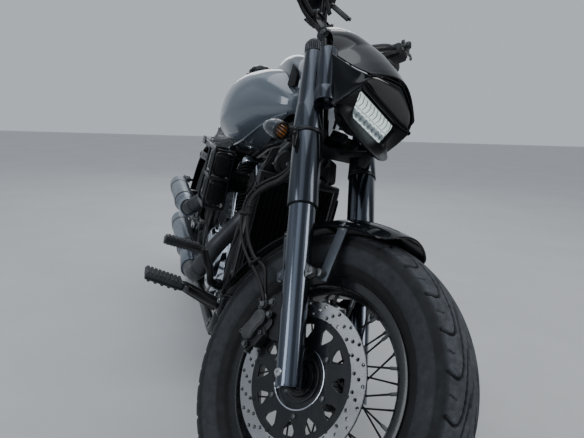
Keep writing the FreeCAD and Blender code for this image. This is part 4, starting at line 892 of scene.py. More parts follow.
# ================================================================== fork, front fender, caliper, bars
M["pod_grey"] = surface("pod_grey", (0.030, 0.037, 0.047), (0.038, 0.046, 0.058), (0.18, 0.26), metal=0.3, coat=0.5, coat_rough=0.04, grain_bump=0.02)
M["cap_grey"] = surface("cap_grey", (0.045, 0.050, 0.058), (0.075, 0.082, 0.092), (0.30, 0.42), metal=0.8, spots=60, grain_bump=0.15)
M["amber_lens"] = surface("amber_lens", (0.34, 0.105, 0.018), (0.52, 0.18, 0.030), (0.10, 0.16), coat=1.0, coat_rough=0.03, spots=80, grain_bump=0.05)
M["strut_grey"] = surface("strut_grey", (0.058, 0.066, 0.080), (0.080, 0.090, 0.106), (0.34, 0.46), metal=0.5, spots=30, grain_bump=0.10)
M["pad_brown"] = surface("pad_brown", (0.050, 0.036, 0.026), (0.085, 0.062, 0.044), (0.60, 0.75), spots=90, grain_bump=0.4)
LY = -7.0

def upright(x, y, prof, n=64, r=1.0, seg=2, sharp=False):
    P = [(prof[0][0], 0)] + list(prof) + [(prof[-1][0], 0)]
    return lathe(P if sharp else soft_profile(P, r, seg), n, M4=axis_frame((x, y, 0), (0, 0, 1)))

def cogged(p, d, stations, teeth=30, depth=1.4):
    """Turned collar with fine flutes along it; stations of (height, radius, flute share)."""
    T = axis_frame(p, d)
    rings = []
    n = teeth * 4
    for h, r, k in stations:
        ring = []
        for i in range(n):
            a = 2 * math.pi * i / n
            rr = r - (depth * k if i % 4 in (2, 3) else 0.0)
            ring.append((h, rr * math.cos(a), rr * math.sin(a)))
        rings.append(ring)
    V, F = loft_rings(rings)
    return xf(T, V), F

legs = Piece("fork_sliders", "L", "fork", "fork_gunmetal", "dark_plastic", "dull_steel", crease=34)
legs.mirror(upright(LEG_X, LY, [(-25, 23.5), (-25, 25.6), (-18, 26.0), (60, 26.4), (180, 27.4), (300, 28.4), (346, 28.8), (350, 28.0)], 72, 1.6, 3), 0)
legs.mirror(upright(LEG_X, LY, [(-27.5, 15), (-24, 15)], 32, 0.6), 1)
legs.mirror(hexbolt((LEG_X, LY, -27), (0, 0, -1), 12, 5), 2)
horn = round_outline([(-50, 191), (-50, 207), (-42, 209), (-30, 221), (-18, 236), (-7, 240), (-7, 166), (-18, 168), (-28, 184), (-40, 190)], 5, 4)
legs.mirror(plate(horn, 15, "yz", LEG_X - 7.5, 3.4), 2)
hornb = round_outline([(40, 191), (40, 206), (31, 209), (20, 221), (8, 234), (-7, 236), (-7, 168), (8, 170), (20, 184), (30, 190)], 5, 4)
legs.mirror(plate(hornb, 15, "yz", LEG_X - 7.5, 3.4), 0)
legs.mirror(plate(round_outline([(4, -15), (23, -15), (26, -9), (26, 9), (23, 15), (4, 15)], 4, 3), 22, "yz", LEG_X - 11, 2.2), 1)
for z_ in (-9, 9):
    legs.mirror(capbolt((LEG_X + 4, 25.5, z_), (0, 1, 0), 3.6, 4), 1)
legs.mirror(boxr(LEG_X - 10, LEG_X + 10, 24, 26.6, -1.0, 1.0, 0.3, 1), 1)
legs.done(replaces=("fork_sliders",))

cov = Piece("fork_covers", "L", "fork", "fork_dark", "radiator_black", "cap_grey", "hose_rubber", crease=34)
cov.mirror(upright(LEG_X, LY, [(346.5, 29.2), (346.5, 31.0), (352, 31.0), (352, 29)], 64, 0.6), 1)
cov.mirror(upright(LEG_X, LY, [(349.0, 31.4), (349.6, 33.3), (531, 33.3)], 84, 0.5, 2), 0)
cov.mirror(upright(LEG_X, LY, [(531, 33.0), (531, 35.2), (566, 33.4), (597, 31.8), (598.4, 30.4), (640, 28.3), (700, 25.3), (755, 22.6), (757.5, 21.4)], 84, 0.8, 2), 0)
# front sleeve that the mask bolts to: a capped tube, open below, webbed to the shroud
cov.mirror(upright(LEG_X - 1, -50, [(606, 24.4), (745, 23.0), (748, 21.0)], 56, 1.0, 2), 0)
cov.mirror(pipe_between((LEG_X - 1, -50, 600), (LEG_X - 1, -50, 636), 24.6, 21.0, 56, 0.7), 0)
cov.mirror(upright(LEG_X, -52, [(618, 18.4), (624, 18.4)], 40, 0.4), 1)
cov.mirror(plate([(-44, 640), (-44, 742), (-24, 742), (-30, 690), (-34, 640)], 26, "yz", LEG_X - 13, 2.0), 0)
cov.mirror(upright(LEG_X, -50, [(746, 17.6), (752, 17.0), (756, 12.0), (756.4, 5.0)], 40, 1.6, 3), 1)
# fluted cap of the top clamp and the fork's top bolt
cov.mirror(cogged((LEG_X, LY, 757), (0, 0, 1), [(0.6, 21.6, 0), (1.6, 23.0, 0.2), (4, 23.4, 1), (24, 23.4, 1), (27, 22.8, 0.4), (29.4, 21.0, 0)], 26, 1.5), 2)
cov.mirror(upright(LEG_X, LY, [(785, 17.8), (792, 17.4), (793.5, 15.0), (793.5, 9.0), (790, 8.6)], 48, 0.8), 1)
cov.mirror(hexbolt((LEG_X, LY, 789.5), (0, 0, 1), 14, 4, washer=False), 2)
cov.done(replaces=("fork_covers",))

yk = Piece("fork_yokes", "L", "fork", "radiator_black", "dull_steel", "bright_steel", crease=34)
for z0, z1, rb in ((572, 606, 26), (758, 784, 22.0)):
    ol = round_outline([(-LEG_X + 6, 22), (-30, 80), (0, 92), (30, 80), (LEG_X - 6, 22), (LEG_X - 6, -26), (44, -12), (14, 26), (-14, 26), (-44, -12), (-LEG_X + 6, -26)], 10, 5)
    yk.add(plate(ol, z1 - z0, "xy", z0, 3.0), 0)
    yk.mirror(upright(LEG_X, LY, [(z0, rb), (z1, rb)], 48, 1.5), 0)
    yk.mirror(capbolt((60, 52.0, (z0 + z1) / 2), (0.6, 0.8, 0), 5, 6), 1)
    yk.mirror(capbolt((LEG_X - 32, 34, (z0 + z1) / 2), (0.5, 0.86, 0), 5, 6), 1)
yk.add(upright(0, 56, [(596, 26), (607, 26)], 48, 1.0), 0)
yk.add(upright(0, 56, [(600, 14), (765, 14)], 32, 1.0), 0)
yk.add(upright(0, 56, [(784, 26), (788, 26), (790, 22)], 48, 0.8), 1)
yk.add(lathe([(0, 17.5), (9, 17.5), (11, 15)], 6, M4=axis_frame((0, 56, 788), (0, 0, 1))), 2)
yk.add(upright(0, 56, [(796, 10), (801, 10), (802, 8)], 32, 0.8), 1)
yk.done(replaces=("fork_yokes",))

ax = Piece("front_axle", "L", "fork", "bright_steel", "dark_plastic", crease=34)
ax.add(cyl((-140, 0, 0), (140, 0, 0), 9.95, 40, 0.6), 0)
ax.add(lathe([(0, 8.2), (3.0, 8.0), (4.6, 7.0), (4.6, 3.2), (2.0, 3.0)], 36, M4=axis_frame((-140.5, -1, 0.5), (-1, 0, 0))), 0)
ax.add(lathe([(0, 13.2), (6.4, 13.2), (8, 11.6)], 6, M4=axis_frame((140, 0, 0), (1, 0, 0))), 0)
ax.add(cyl((139, 0, 0), (141.5, 0, 0), 15, 40, 0.6), 0)
ax.done(replaces=("front_axle",))

# ------------------------------------------------------------------ front fender and its struts
def fender_grid(half, r_side, r_top, a0, a1, nu=72, nv=29, round_end=26.0, y=0.0, z=0.0):
    """Points [along][across] of the outer face; the ends' corners are rounded."""
    sag = r_top - r_side
    R = (half * half + sag * sag) / (2 * sag); c = r_top - R
    am = math.asin(half / R)
    out = []
    for i in range(nu):
        t = i / (nu - 1)
        ang = a0 + (a1 - a0) * t
        row = []
        for j in range(nv):
            s = -1 + 2 * j / (nv - 1)
            b = s * am
            # toward the ends the outer strips stop short, so that the corner is round
            short = round_end * (1 - math.sqrt(max(0.0, 1 - max(0.0, (abs(s) - 0.68) / 0.32) ** 2)))
            d0 = math.degrees(short / r_side)
            a_ = a0 + d0 + (a1 - a0 - 2 * d0) * t
            x, r = R * math.sin(b), c + R * math.cos(b)
            row.append((x, y + r * sind(a_), z + r * cosd(a_)))
        out.append(row)
    return np.array(out)

def edge_loop(G):
    return np.concatenate([G[0, :-1], G[:-1, -1], G[-1, ::-1][:-1], G[::-1, 0][:-1]])

fen = Piece("front_fender", "L", "fork", "gloss_black", "dull_steel", crease=40)
G = fender_grid(84, 314, 350, -38, 52)
fen.add(shell(G, 3.0), 0)
# rolled bead round the whole edge
loop = edge_loop(G)
cen = np.array([(p[0] * 0.985, p[1] * 0.994, p[2] * 0.994) for p in loop])
fen.add(tube(cen, 2.7, 8, closed=True), 0)
# two pressed lines that run round beside the middle
for xs in (-30, 30):
    j = int(round((xs / 84 * 0.5 + 0.5) * 28))
    fen.add(tube(G[3:-3, j] * np.array((1, 0.9985, 0.9985)), 1.5, 6), 0)
for a_ in (-17.3, 10.6):
    for s in (-1, 1):
        fen.add(domebolt((s * 83.2, 312 * sind(a_), 312 * cosd(a_) + 6), (s, 0, 0.35), 5.5, 3), 1)
fen.done(replaces=("front_fender",))

def strap(p, q, wide, thick, xdir=(1, 0, 0), b=1.2):
    """Flat bar from p to q, its thin way along xdir."""
    p, q = np.array(p, float), np.array(q, float)
    w = q - p; L = np.linalg.norm(w); w /= L
    x = np.array(xdir, float); x -= w * (x @ w); x /= np.linalg.norm(x)
    y = np.cross(w, x)
    m = np.eye(4); m[:3, 0], m[:3, 1], m[:3, 2], m[:3, 3] = x, y, w, p
    return boxr(-thick / 2, thick / 2, -wide / 2, wide / 2, 0, L, b, 2, m)

st = Piece("fender_struts", "L", "fork", "strut_grey", "dull_steel", crease=34)
for s in (-1, 1):
    st.add(strap((s * 91, -52, 186), (s * 80.5, -94, 303), 24, 4.6, b=1.4), 0)
    st.add(strap((s * 91, 44, 189), (s * 80.5, 59, 311), 14, 4.0), 0)
    for y_ in (-49.0, 42.0):
        st.add(cyl((s * 108, y_ - (4 if y_ < 0 else -3), 199), (s * 87, y_ - (4 if y_ < 0 else -3), 199), 8.4, 28, 1.4), 1)
        st.add(domebolt((s * 88.5, y_ - 4 if y_ < 0 else y_ + 3, 199), (-s, 0, 0), 6.5, 3.5), 1)
        st.add(domebolt((s * 123.0, -43 if y_ < 0 else 33, 199), (s, 0, 0), 4.5, 2.6), 1)
    st.add(cyl((s * 84, -91, 296), (s * 76, -91, 296), 6, 20, 0.8), 1)
    st.add(cyl((s * 84, 58, 304), (s * 76, 58, 304), 6, 20, 0.8), 1)
st.done(replaces=("fender_struts",))

# ------------------------------------------------------------------ brake caliper and hoses
CT = turn((1, 0, 0), -43.5)
cal = Piece("brake_caliper", "L", "fork", "caliper_grey", "engine_dark", "dull_steel", "pad_brown", "hose_rubber", crease=34)
def peanut(r, d, neck, n=14):
    pts = []
    a1 = math.acos(min(1, (d - neck) / r * 0.6 + 0.25))
    for k in range(n + 1):
        a = -math.pi + a1 + (2 * math.pi - 2 * a1) * k / n
        pts.append((d + r * math.cos(a), 146 + r * math.sin(a)))
    for k in range(n + 1):
        a = a1 + (2 * math.pi - 2 * a1) * k / n
        pts.append((-d + r * math.cos(a), 146 + r * math.sin(a)))
    return pts
cal.add(plate(peanut(17.6, 18.5, 11), 11, "yz", -116, 2.4, None, 3), 0, CT)
cal.add(plate(peanut(14.6, 18.5, 9), 2.0, "yz", -117.4, 0.9), 0, CT)
cal.add(plate(round_outline([(-38, 122), (-30, 114), (30, 114), (38, 122), (36, 160), (24, 172), (-24, 172), (-36, 160)], 6, 4), 24, "yz", -106, 3.0), 1, CT)
cal.add(plate(round_outline([(-31, 118), (31, 118), (31, 168), (20, 174), (-20, 174), (-31, 168)], 6, 3), 16, "yz", -70, 3.0), 1, CT)
for y_ in (-21, 0, 21):
    cal.add(boxr(-84, -66, y_ - 6.5, y_ + 6.5, 158, 178, 2.5), 1, CT)
cal.add(boxr(-81.6, -78.8, -29, 29, 118, 152, 0.8), 3, CT)
cal.add(boxr(-73.2, -70, -29, 29, 118, 152, 0.8), 3, CT)
for y_, z_ in ((-41, 131), (41, 131)):
    cal.add(cyl((-112, y_, z_), (-92, y_, z_), 7.4, 28, 1.2), 1, CT)
    cal.add(hexbolt((-112, y_, z_), (-1, 0, 0), 10, 6), 2, CT)
for y_, z_ in ((-33, 166), (33, 164), (0, 122)):
    cal.add(capbolt((-106, y_, z_), (-1, 0, 0), 4.6, 5), 2, CT)
# slide pins in ribbed rubber boots
for y0, y1, z_ in ((-38, -60, 160), (38, 56, 126)):
    cal.add(cyl((-99, y0, z_), (-99, y1, z_), 4.6, 20, 0.8), 2, CT)
    for k in range(4):
        yy = y0 + (y1 - y0) * (0.12 + 0.16 * k)
        cal.add(lathe([(0, 7.4), (1.3, 8.0), (2.6, 7.4)], 24, M4=axis_frame((-99, yy, z_), (0, 1 if y1 > y0 else -1, 0))), 4, CT)
# bleeder with its cap, union and banjo bolt
cal.add(cyl((-99, -30, 170), (-101, -38, 182), 3.0, 16, 0.5), 2, CT)
cal.add(cyl((-101, -38, 182), (-102, -41, 188), 4.2, 16, 0.9), 4, CT)
cal.add(plate(round_outline([(14, 96), (14, 168), (66, 168), (86, 150), (88, 128), (66, 76), (34, 66), (14, 72)], 8, 4), 7, "yz", -100, 1.5), 1)
for y_, z_ in ((24, 92), (26, 150), (66, 152), (72, 118)):
    cal.add(hexbolt((-100, y_, z_), (-1, 0, 0), 12, 6), 2)

cal.done(replaces=("brake_caliper",))

HOSE = [(-97, 86, 148), (-97, 93, 190), (-93, 104, 235), (-90, 140, 268), (-88, 168, 318), (-88, 178, 376), (-88, 172, 416),
        (-86, 156, 438), (-85, 128, 448), (-83, 94, 454), (-77, 68, 474), (-66, 54, 520), (-60, 52, 571)]
HOSE2 = [(-104, 78, 92), (-106, 90, 120), (-106, 84, 152), (-105, 96, 187), (-104, 119, 226), (-101, 147, 260), (-98, 172, 300), (-97, 186, 340),
         (-97, 190, 378), (-96, 182, 420), (-93, 162, 446), (-90, 130, 459), (-87, 94, 466), (-80, 66, 486), (-72, 46, 530), (-66, 40, 576)]
hz = Piece("brake_hose", "L", "fork", "hose_rubber", "dull_steel", "dark_plastic", crease=50)
h1 = catmull(HOSE, 10); h2 = catmull(HOSE2, 8)
hz.add(tube(h1, 4.5, 14), 0)
hz.add(tube(h2, 3.4, 12), 0)
loom = np.array([p for p in h1 if p[2] > 404 or (p[1] > 150 and p[2] > 400)])
loom = loom[loom[:, 2] < 500]
hz.add(tube(loom, 7.6, 18), 0)
for k in range(2, len(loom) - 2, 3):
    hz.add(lathe([(-1.2, 8.1), (1.2, 8.1), (1.2, 7.2), (-1.2, 7.2)], 24, True, axis_frame(loom[k], loom[k + 1] - loom[k])), 0)
hz.add(pipe_between((-97, 85, 146), (-97, 91, 172), 5.8, 2.0, 24, 0.6), 1)
hz.add(cyl((-106, 84, 148), (-90, 84, 148), 7.2, 28, 0.8), 1)
hz.add(hexbolt((-106, 84, 148), (-1, 0, 0), 12, 6), 1)
hz.add(cyl((-104, 72, 82), (-104, 79, 98), 5.6, 20, 0.8), 2)
for k in (26, 52, 70):
    p, q = h1[k], h1[k + 1]
    d = (q - p) / np.linalg.norm(q - p)
    near = h2[np.argmin(np.linalg.norm(h2 - p, axis=1))]
    c = (p + near) / 2
    side = near - p; side -= d * (side @ d); gap = np.linalg.norm(side); side /= max(gap, 1e-6)
    oth = np.cross(d, side)
    m = np.eye(4); m[:3, 0], m[:3, 1], m[:3, 2], m[:3, 3] = side, oth, d, c
    hz.add(boxr(-gap / 2 - 6.4, gap / 2 + 6.0, -6.0, 6.0, -4, 4, 2.6, 3, m), 2)
    hz.add(boxr(-gap / 2 - 7.2, gap / 2 + 6.6, -2.0, 7.4, -2.2, 2.2, 1.0, 2, m), 2)
hz.done(replaces=("brake_hose",))

# ------------------------------------------------------------------ handlebar and what sits on it
BAR = [(0, 66, 972), (62, 66, 970), (150, 50, 986), (257, -17, 1047), (412, 63, 1106)]
bp = arcs([(-x, y, z) for x, y, z in reversed(BAR)] + BAR[1:], 90.0, 6.0)
hb = Piece("handlebar", "L", "fork", "frame_black", "dull_steel", "hose_rubber", crease=50)
hb.add(tube(bp, 12.7, 28), 0)
def on_bar(s, d):
    a, b = np.array((s * 412.0, 63, 1106)), np.array((s * 257.0, -17, 1047))
    u = (b - a) / np.linalg.norm(b - a)
    return a + u * d, u
for s in (-1, 1):
    p, u = on_bar(s, 0)
    hb.add(turned(p + u * 1, -u, [(0, 12.7), (2, 15.0), (14, 15.4), (18, 13.0)], 32, 1.2), 1)
# clutch, throttle and switch cables, bound under the bar and gathered behind the mask
for s, off, r in ((-1, 16, 4.2), (-1, 24, 3.0), (1, 17, 3.4), (1, 24, 3.0)):
    hb.add(tube(catmull([(s * 262, -24, 1040 - off * 0.6), (s * 200, 10, 1006 - off), (s * 150, 40, 974 - off * 0.6), (s * 96, 58, 962 - off * 0.7), (s * 52, 48, 944 - off), (s * 30, 6, 900 - off * 2), (s * 24, -20, 820), (s * 26, 0, 700 + off), (s * 34, 30, 640)], 6), r, 10), 2)
hb.done(replaces=("handlebar",))

gp = Piece("grips", "L", "fork", "hose_rubber", crease=40)
for s in (-1, 1):
    p, u = on_bar(s, 0)
    prof = [(0, 13), (0, 16.4)]
    for k in range(17):
        a = 4 + k * 6.2
        prof += [(a, 16.9), (a + 3.6, 17.0), (a + 4.4, 15.7), (a + 5.4, 15.7)]
    prof += [(111, 17), (112, 20), (118, 20), (118, 13)]
    gp.add(lathe(prof, 40, True, axis_frame(p, u)), 0)
gp.done(replaces=("grips",))

hc = Piece("hand_controls", "L", "fork", "dark_plastic", "frame_black", "dull_steel", "black_glass", "pad_brown", crease=34)
for s in (-1, 1):
    p, u = on_bar(s, 119)
    T = axis_frame(p, u)
    hc.add(lathe(soft_profile([(0, 13), (0, 21), (3, 23), (14, 23), (15, 22), (16, 23), (28, 23), (31, 20), (31, 13)], 1.0, 2, True), 40, True, T), 0)
    q, _ = on_bar(s, 134)
    # housing behind and under the bar, with its buttons
    up_ = np.array((0, 0, 1.0)); fw = np.array((0, -1.0, 0))
    m = np.eye(4); m[:3, 0] = u; f_ = fw - u * (fw @ u); f_ /= np.linalg.norm(f_); m[:3, 1] = -f_; m[:3, 2] = np.cross(m[:3, 0], m[:3, 1]); m[:3, 3] = q
    if m[2, 2] < 0: m[:3, 2] *= -1; m[:3, 0] *= -1
    hc.add(boxr(-19, 19, -8, 27, -21, 21, 6, 3, m), 0)
    for k, (a, b, c, mt) in enumerate(((-8, 27, 9, 2), (8, 27, 9, 4), (0, 27, -6, 2))):
        hc.add(boxr(a - 5, a + 5, b - 2, b + 4, c - 4, c + 4, 1.5, 2, m), mt)
    hc.add(boxr(-20, -14, -16, 6, 10, 17, 1.6, 2, m), 2)
    # lever perch and pivot, and the lever's blade
    t_, _ = on_bar(s, 6)
    root = q + np.array((0, -52, 6.0)); tip = t_ + np.array((0, -60, 8.0))
    hc.add(conic(q + np.array((0, -14, 2)), root, 12, 8.5, 24, 1.5), 1)
    hc.add(cyl(root + np.array((0, 0, -9)), root + np.array((0, 0, 9)), 9, 28, 1.5), 1)
    hc.add(domebolt(root + np.array((0, 0, 9)), (0, 0, 1), 6, 3), 2)
    mid_ = (root + tip) / 2 + np.array((0, 6.0, 0))
    pth = catmull([root, root * 0.75 + tip * 0.25 + np.array((0, 3, 0)), mid_, tip * 0.8 + root * 0.2 + np.array((0, 0, 0)), tip], 8)
    hc.add(tube(pth, np.r_[np.linspace(8.0, 5.4, len(pth) - 4), [5.6, 6.6, 7.2, 5.0]], 16, flat=(0.72, 1.0)), 1)
    if s < 0:
        b0 = q + np.array((0, -43, 24))
        hc.add(boxr(b0[0] - 22, b0[0] + 22, b0[1] - 19, b0[1] + 19, b0[2] - 18, b0[2] + 12, 7, 3), 1)
        hc.add(boxr(b0[0] - 23, b0[0] + 23, b0[1] - 20, b0[1] + 20, b0[2] + 12, b0[2] + 18, 3, 2), 0)
        for i_ in (-1, 1):
            for j_ in (-1, 1):
                hc.add(domebolt((b0[0] + 17 * i_, b0[1] + 14 * j_, b0[2] + 18), (0, 0, 1), 3.2, 1.6), 2)
        hc.add(cyl((b0[0] + 10, b0[1] - 19.5, b0[2] - 2), (b0[0] + 10, b0[1] - 21, b0[2] - 2), 6, 24, 0.5), 3)
    else:
        # switch block under the bar, the broad dark shape seen past the mask
        hc.add(boxr(q[0] - 26, q[0] + 24, q[1] - 36, q[1] + 10, q[2] - 34, q[2] + 14, 9, 3), 0)
        hc.add(boxr(q[0] - 20, q[0] + 20, q[1] - 38.5, q[1] - 34, q[2] - 24, q[2] + 4, 2, 2), 1)
        for a in (-10, 6):
            hc.add(boxr(q[0] + a - 5, q[0] + a + 5, q[1] - 41.5, q[1] - 37, q[2] - 16, q[2] - 6, 1.5, 2), 2)
        hc.add(plate(round_outline([(q[1] - 44, q[2] + 8), (q[1] - 22, q[2] + 8), (q[1] - 26, q[2] + 40), (q[1] - 34, q[2] + 40)], 4, 3), 16, "yz", q[0] + 2, 2.0), 1)
        hc.add(cyl(q + np.array((10, -30, 28)), q + np.array((10, -30, 44)), 4.5, 20, 1.0), 2)
hc.done(replaces=("hand_controls",))

rs = Piece("bar_risers", "L", "fork", "frame_black", "hose_rubber", "dull_steel", "cap_grey", crease=34)
for s in (-1, 1):
    x = s * 34.0
    rs.add(conic((x, 14, 784), (x, 21, 882), 14, 13, 32, 1.0), 0)
    rs.add(turned((x, 14, 784), (0, 0, 1), [(0, 19), (6, 19), (8, 15)], 32, 1.2), 0)
    rs.add(cyl((x - 13, 22, 892), (x + 13, 22, 892), 22.5, 56, 2.5), 1)
    rs.add(cyl((x - 14, 22, 892), (x + 14, 22, 892), 17.5, 48, 1.6), 0)
    # thin lighter ring on the end of each boss: a painted highlight round the end
    rs.add(lathe([(0, 13.6), (0.9, 13.4), (0.9, 12.2), (0, 12.0)], 40, True, axis_frame((x - 14 if s < 0 else x + 14, 22, 892), (s, 0, 0))), 3)
    rs.add(hexbolt((x + s * 14, 22, 892), (s, 0, 0), 15, 5), 2)
    rs.add(conic((x, 34, 911), (x, 60, 962), 13, 13, 32, 1.0), 0)
    rs.add(pipe_between((x - 15, 66, 971), (x + 15, 66, 971), 21, 12.75, 48, 1.4), 0)
    rs.add(boxr(x - 15.4, x + 15.4, 40, 92, 969.4, 972.2, 0.4, 1), 1)
    for dx in (-8, 8):
        for dy in (-16.5, 16.5):
            rs.add(capbolt((x + dx, 66 + dy, 983), (0, 0, 1), 4.2, 6), 2)
rs.done(replaces=("bar_risers",))

ins = Piece("instrument", "L", "fork", "dark_plastic", "gloss_black", "dull_steel", "black_glass", "cap_grey", crease=34)
ip, iq = np.array((0, 70, 1072.0)), np.array((0, 88, 1102.0)); idr = (iq - ip) / np.linalg.norm(iq - ip)
ins.add(lathe(soft_profile([(-6, 0), (-6, 26), (0, 44), (8, 47), (26, 48.5), (30, 48.5)], 3, 3) + [(30, 0)], 72, M4=axis_frame(ip, idr)), 0)
ins.add(lathe(soft_profile([(27, 44), (27, 50), (35, 50), (37, 47), (35.5, 43.5), (33, 43.5)], 1.0, 2, True), 72, True, axis_frame(ip, idr)), 1)
ins.add(lathe([(30, 43.8), (34, 43.8), (34.6, 30), (34.8, 0)], 64, M4=axis_frame(ip, idr)), 3)
for k in range(25):
    a = math.radians(-120 + 10 * k)
    T = axis_frame(ip + idr * 34.2, idr)
    L_ = 5.5 if k % 3 == 0 else 3.0
    m = T @ turn((1, 0, 0), -120 + 10 * k)
    ins.add(boxr(0.1, 0.9, -0.6, 0.6, 41.5 - L_, 41.5, 0.1, 1, m), 4)
ins.add(boxr(0.1, 0.9, -14, 14, -16, 0, 0.2, 1, axis_frame(ip + idr * 34.4, idr)), 4)
ins.add(boxr(-14, 14, 58, 80, 983.6, 1074, 3.0, 3), 1)
ins.add(boxr(-24, 24, 58, 82, 983.6, 990, 2.4, 2), 1)
# stay that runs from under the instrument forward to the mask's crest
ins.add(strap((14, 56, 1064), (32, -2, 985), 15, 6, (0.8, 0.5, 0)), 0)
ins.add(strap((-8, 52, 1058), (0, 40, 1000), 12, 5, (1, 0, 0)), 0)
ins.add(hexbolt((17, 46, 1052), (-0.6, -0.7, 0.3), 9, 5), 2)
ins.add(hexbolt((32, -3, 986), (0.3, -0.5, 0.8), 9, 6), 2)
for x_ in (-16, 16):
    ins.add(hexbolt((x_, 62, 990), (0, 0, 1), 9, 5), 2)
ins.done(replaces=("instrument",))

# ------------------------------------------------------------------ front indicators
DL = np.array((0, cosd(33), sind(33)))
def indicator_pod(P, c, d, r, front, back, upv, mats, M4=None, s=1):
    """Bullet pod with a slatted amber lens; c centre, d from lens to tail."""
    T = axis_frame(c, d)
    P.add(lathe(soft_profile([(-front, 0), (-front, r * 0.86), (-front * 0.8, r * 0.97), (0, r), (back * 0.35, r * 0.88), (back * 0.7, r * 0.6), (back * 0.93, r * 0.34), (back, 0)], 3, 3), 48, M4=T), mats[0], M4)
    P.add(lathe(soft_profile([(-front - 5, 0), (-front - 4.6, r * 0.45), (-front - 2.6, r * 0.72), (-front + 0.6, r * 0.80), (-front + 1, 0)], 1.5, 3), 48, M4=T), mats[1], M4)
    P.add(lathe(soft_profile([(-front - 6.4, r * 0.84), (-front - 6.4, r * 0.93), (-front + 2, r * 0.95), (-front + 2, r * 0.82)], 0.7, 2, True), 48, True, T), mats[2], M4)
    d_ = np.array(d, float) / np.linalg.norm(d)
    up = np.array(upv, float); up -= d_ * (up @ d_); up /= np.linalg.norm(up)
    sd = np.cross(up, d_)
    m = np.eye(4); m[:3, 0], m[:3, 1], m[:3, 2], m[:3, 3] = sd, d_, up, c
    for k in (-2, -1, 0, 1, 2):
        h = k * r * 0.33
        w = math.sqrt(max(0.0, (r * 0.88) ** 2 - h * h))
        P.add(boxr(-w, w, -front - 8.0, -front + 0.5, h - r * 0.055, h + r * 0.055, 0.5, 1, m), mats[2], M4)

fi = Piece("front_indicators", "L", "fork", "pod_grey", "amber_lens", "dark_plastic", "frame_black", "dull_steel", crease=34)
for s in (-1, 1):
    c = np.array((s * 178.0, 34, 525))
    indicator_pod(fi, c, DL, 22.0, 18, 44, (0, -sind(33), cosd(33)), (0, 1, 2))
    a = np.array((s * 149.0, 0, 526))
    fi.add(cyl(a, c + (a - c) * 0.18, 6.4, 24, 0.8), 3)
    fi.add(conic(a + (c - a) * 0.10, a + (c - a) * 0.42, 10.5, 7.5, 28, 1.0), 2)
    fi.add(pipe_between((s * LEG_X, LY, 523.5), (s * LEG_X, LY, 530.2), 35.6, 33.2, 84, 0.6), 3)
    # tail of the clamp: a leaf that lies down the outside of the leg, with its bolt
    for (nx, ny) in ((s * 0.93, 0.20),):
        n_ = np.array((nx, ny, 0)); n_ /= np.linalg.norm(n_)
        t_ = np.cross((0, 0, 1), n_)
        m = np.eye(4); m[:3, 0], m[:3, 1], m[:3, 2], m[:3, 3] = n_, t_, (0, 0, 1), np.array((s * LEG_X, LY, 0)) + n_ * 33.6
        fi.add(plate(round_outline([(-7, 532), (7, 532), (8, 512), (3, 486), (0, 478), (-3, 486), (-8, 512)], 3, 3), 4.5, "yz", -0.5, 1.2, m), 3)
        fi.add(capbolt(np.array((s * LEG_X, LY, 519)) + n_ * 37.5, n_, 4.2, 4.5), 4)
    m2 = np.array((s * LEG_X, LY, 527)) + np.array((s * 0.55, 0.83, 0)) * 36
    fi.add(boxr(m2[0] - 8, m2[0] + 8, m2[1] - 6, m2[1] + 12, 515, 538, 2.5, 3), 3)
    fi.add(hexbolt((m2[0], m2[1] + 12, 533), (0, 1, 0), 8, 5), 4)
    fi.add(hexbolt((m2[0], m2[1] + 12, 520), (0, 1, 0), 8, 5), 4)
fi.done(replaces=("front_indicators",))
# ================================================================== headlight mask and lamp
ROLL = move(5, 0, 0) @ turn((0, 0, 1), -2.5, (0, 60, 0)) @ turn((0, 1, 0), 2.0)      # the mask sits a little turned in its brackets
# named edges of the left half, front to back, mask frame
RIDGE = [(0, -30, 103), (0, -8, 116), (0, 30, 138), (0, 74, 160), (0, 122, 179), (0, 178, 197), (0, 235, 210), (0, 282, 217), (0, 308, 220)]
CREASE = [(100, -26, 60), (107, -12, 60), (111, 8, 62), (113, 55, 73), (116, 108, 87), (114, 152, 136), (97, 210, 160), (62, 262, 184), (18, 304, 207)]
LOW = [(108, -23, 27), (111, -12, 8), (114, 4, -16), (115, 14, -31), (116, 30, -26), (117, 44, -13)]
LIP = [(115, 12, -34), (99, -13, -48), (79, -30, -60), (45, -54, -75), (16, -66, -82), (0, -68, -83)]
ARCH = [(0, -30, 98), (21, -30, 93), (52, -29, 83), (79, -28, 72), (95, -26, 60), (104, -24, 43), (108, -23, 27)]
LENS = [(79, 26), (82, 16), (70, -30), (62, -35), (-60, -33), (-70, -24), (-83, 22), (-78, 31)]

def resample(points, n):
    P = np.array(points, float)
    L = np.r_[0, np.cumsum(np.linalg.norm(np.diff(P, axis=0), axis=1))]
    t = np.linspace(0, L[-1], n)
    return np.stack([np.interp(t, L, P[:, k]) for k in range(P.shape[1])], 1)

def smooth_edge(points, n, per=8):
    return resample(catmull(points, per), n)

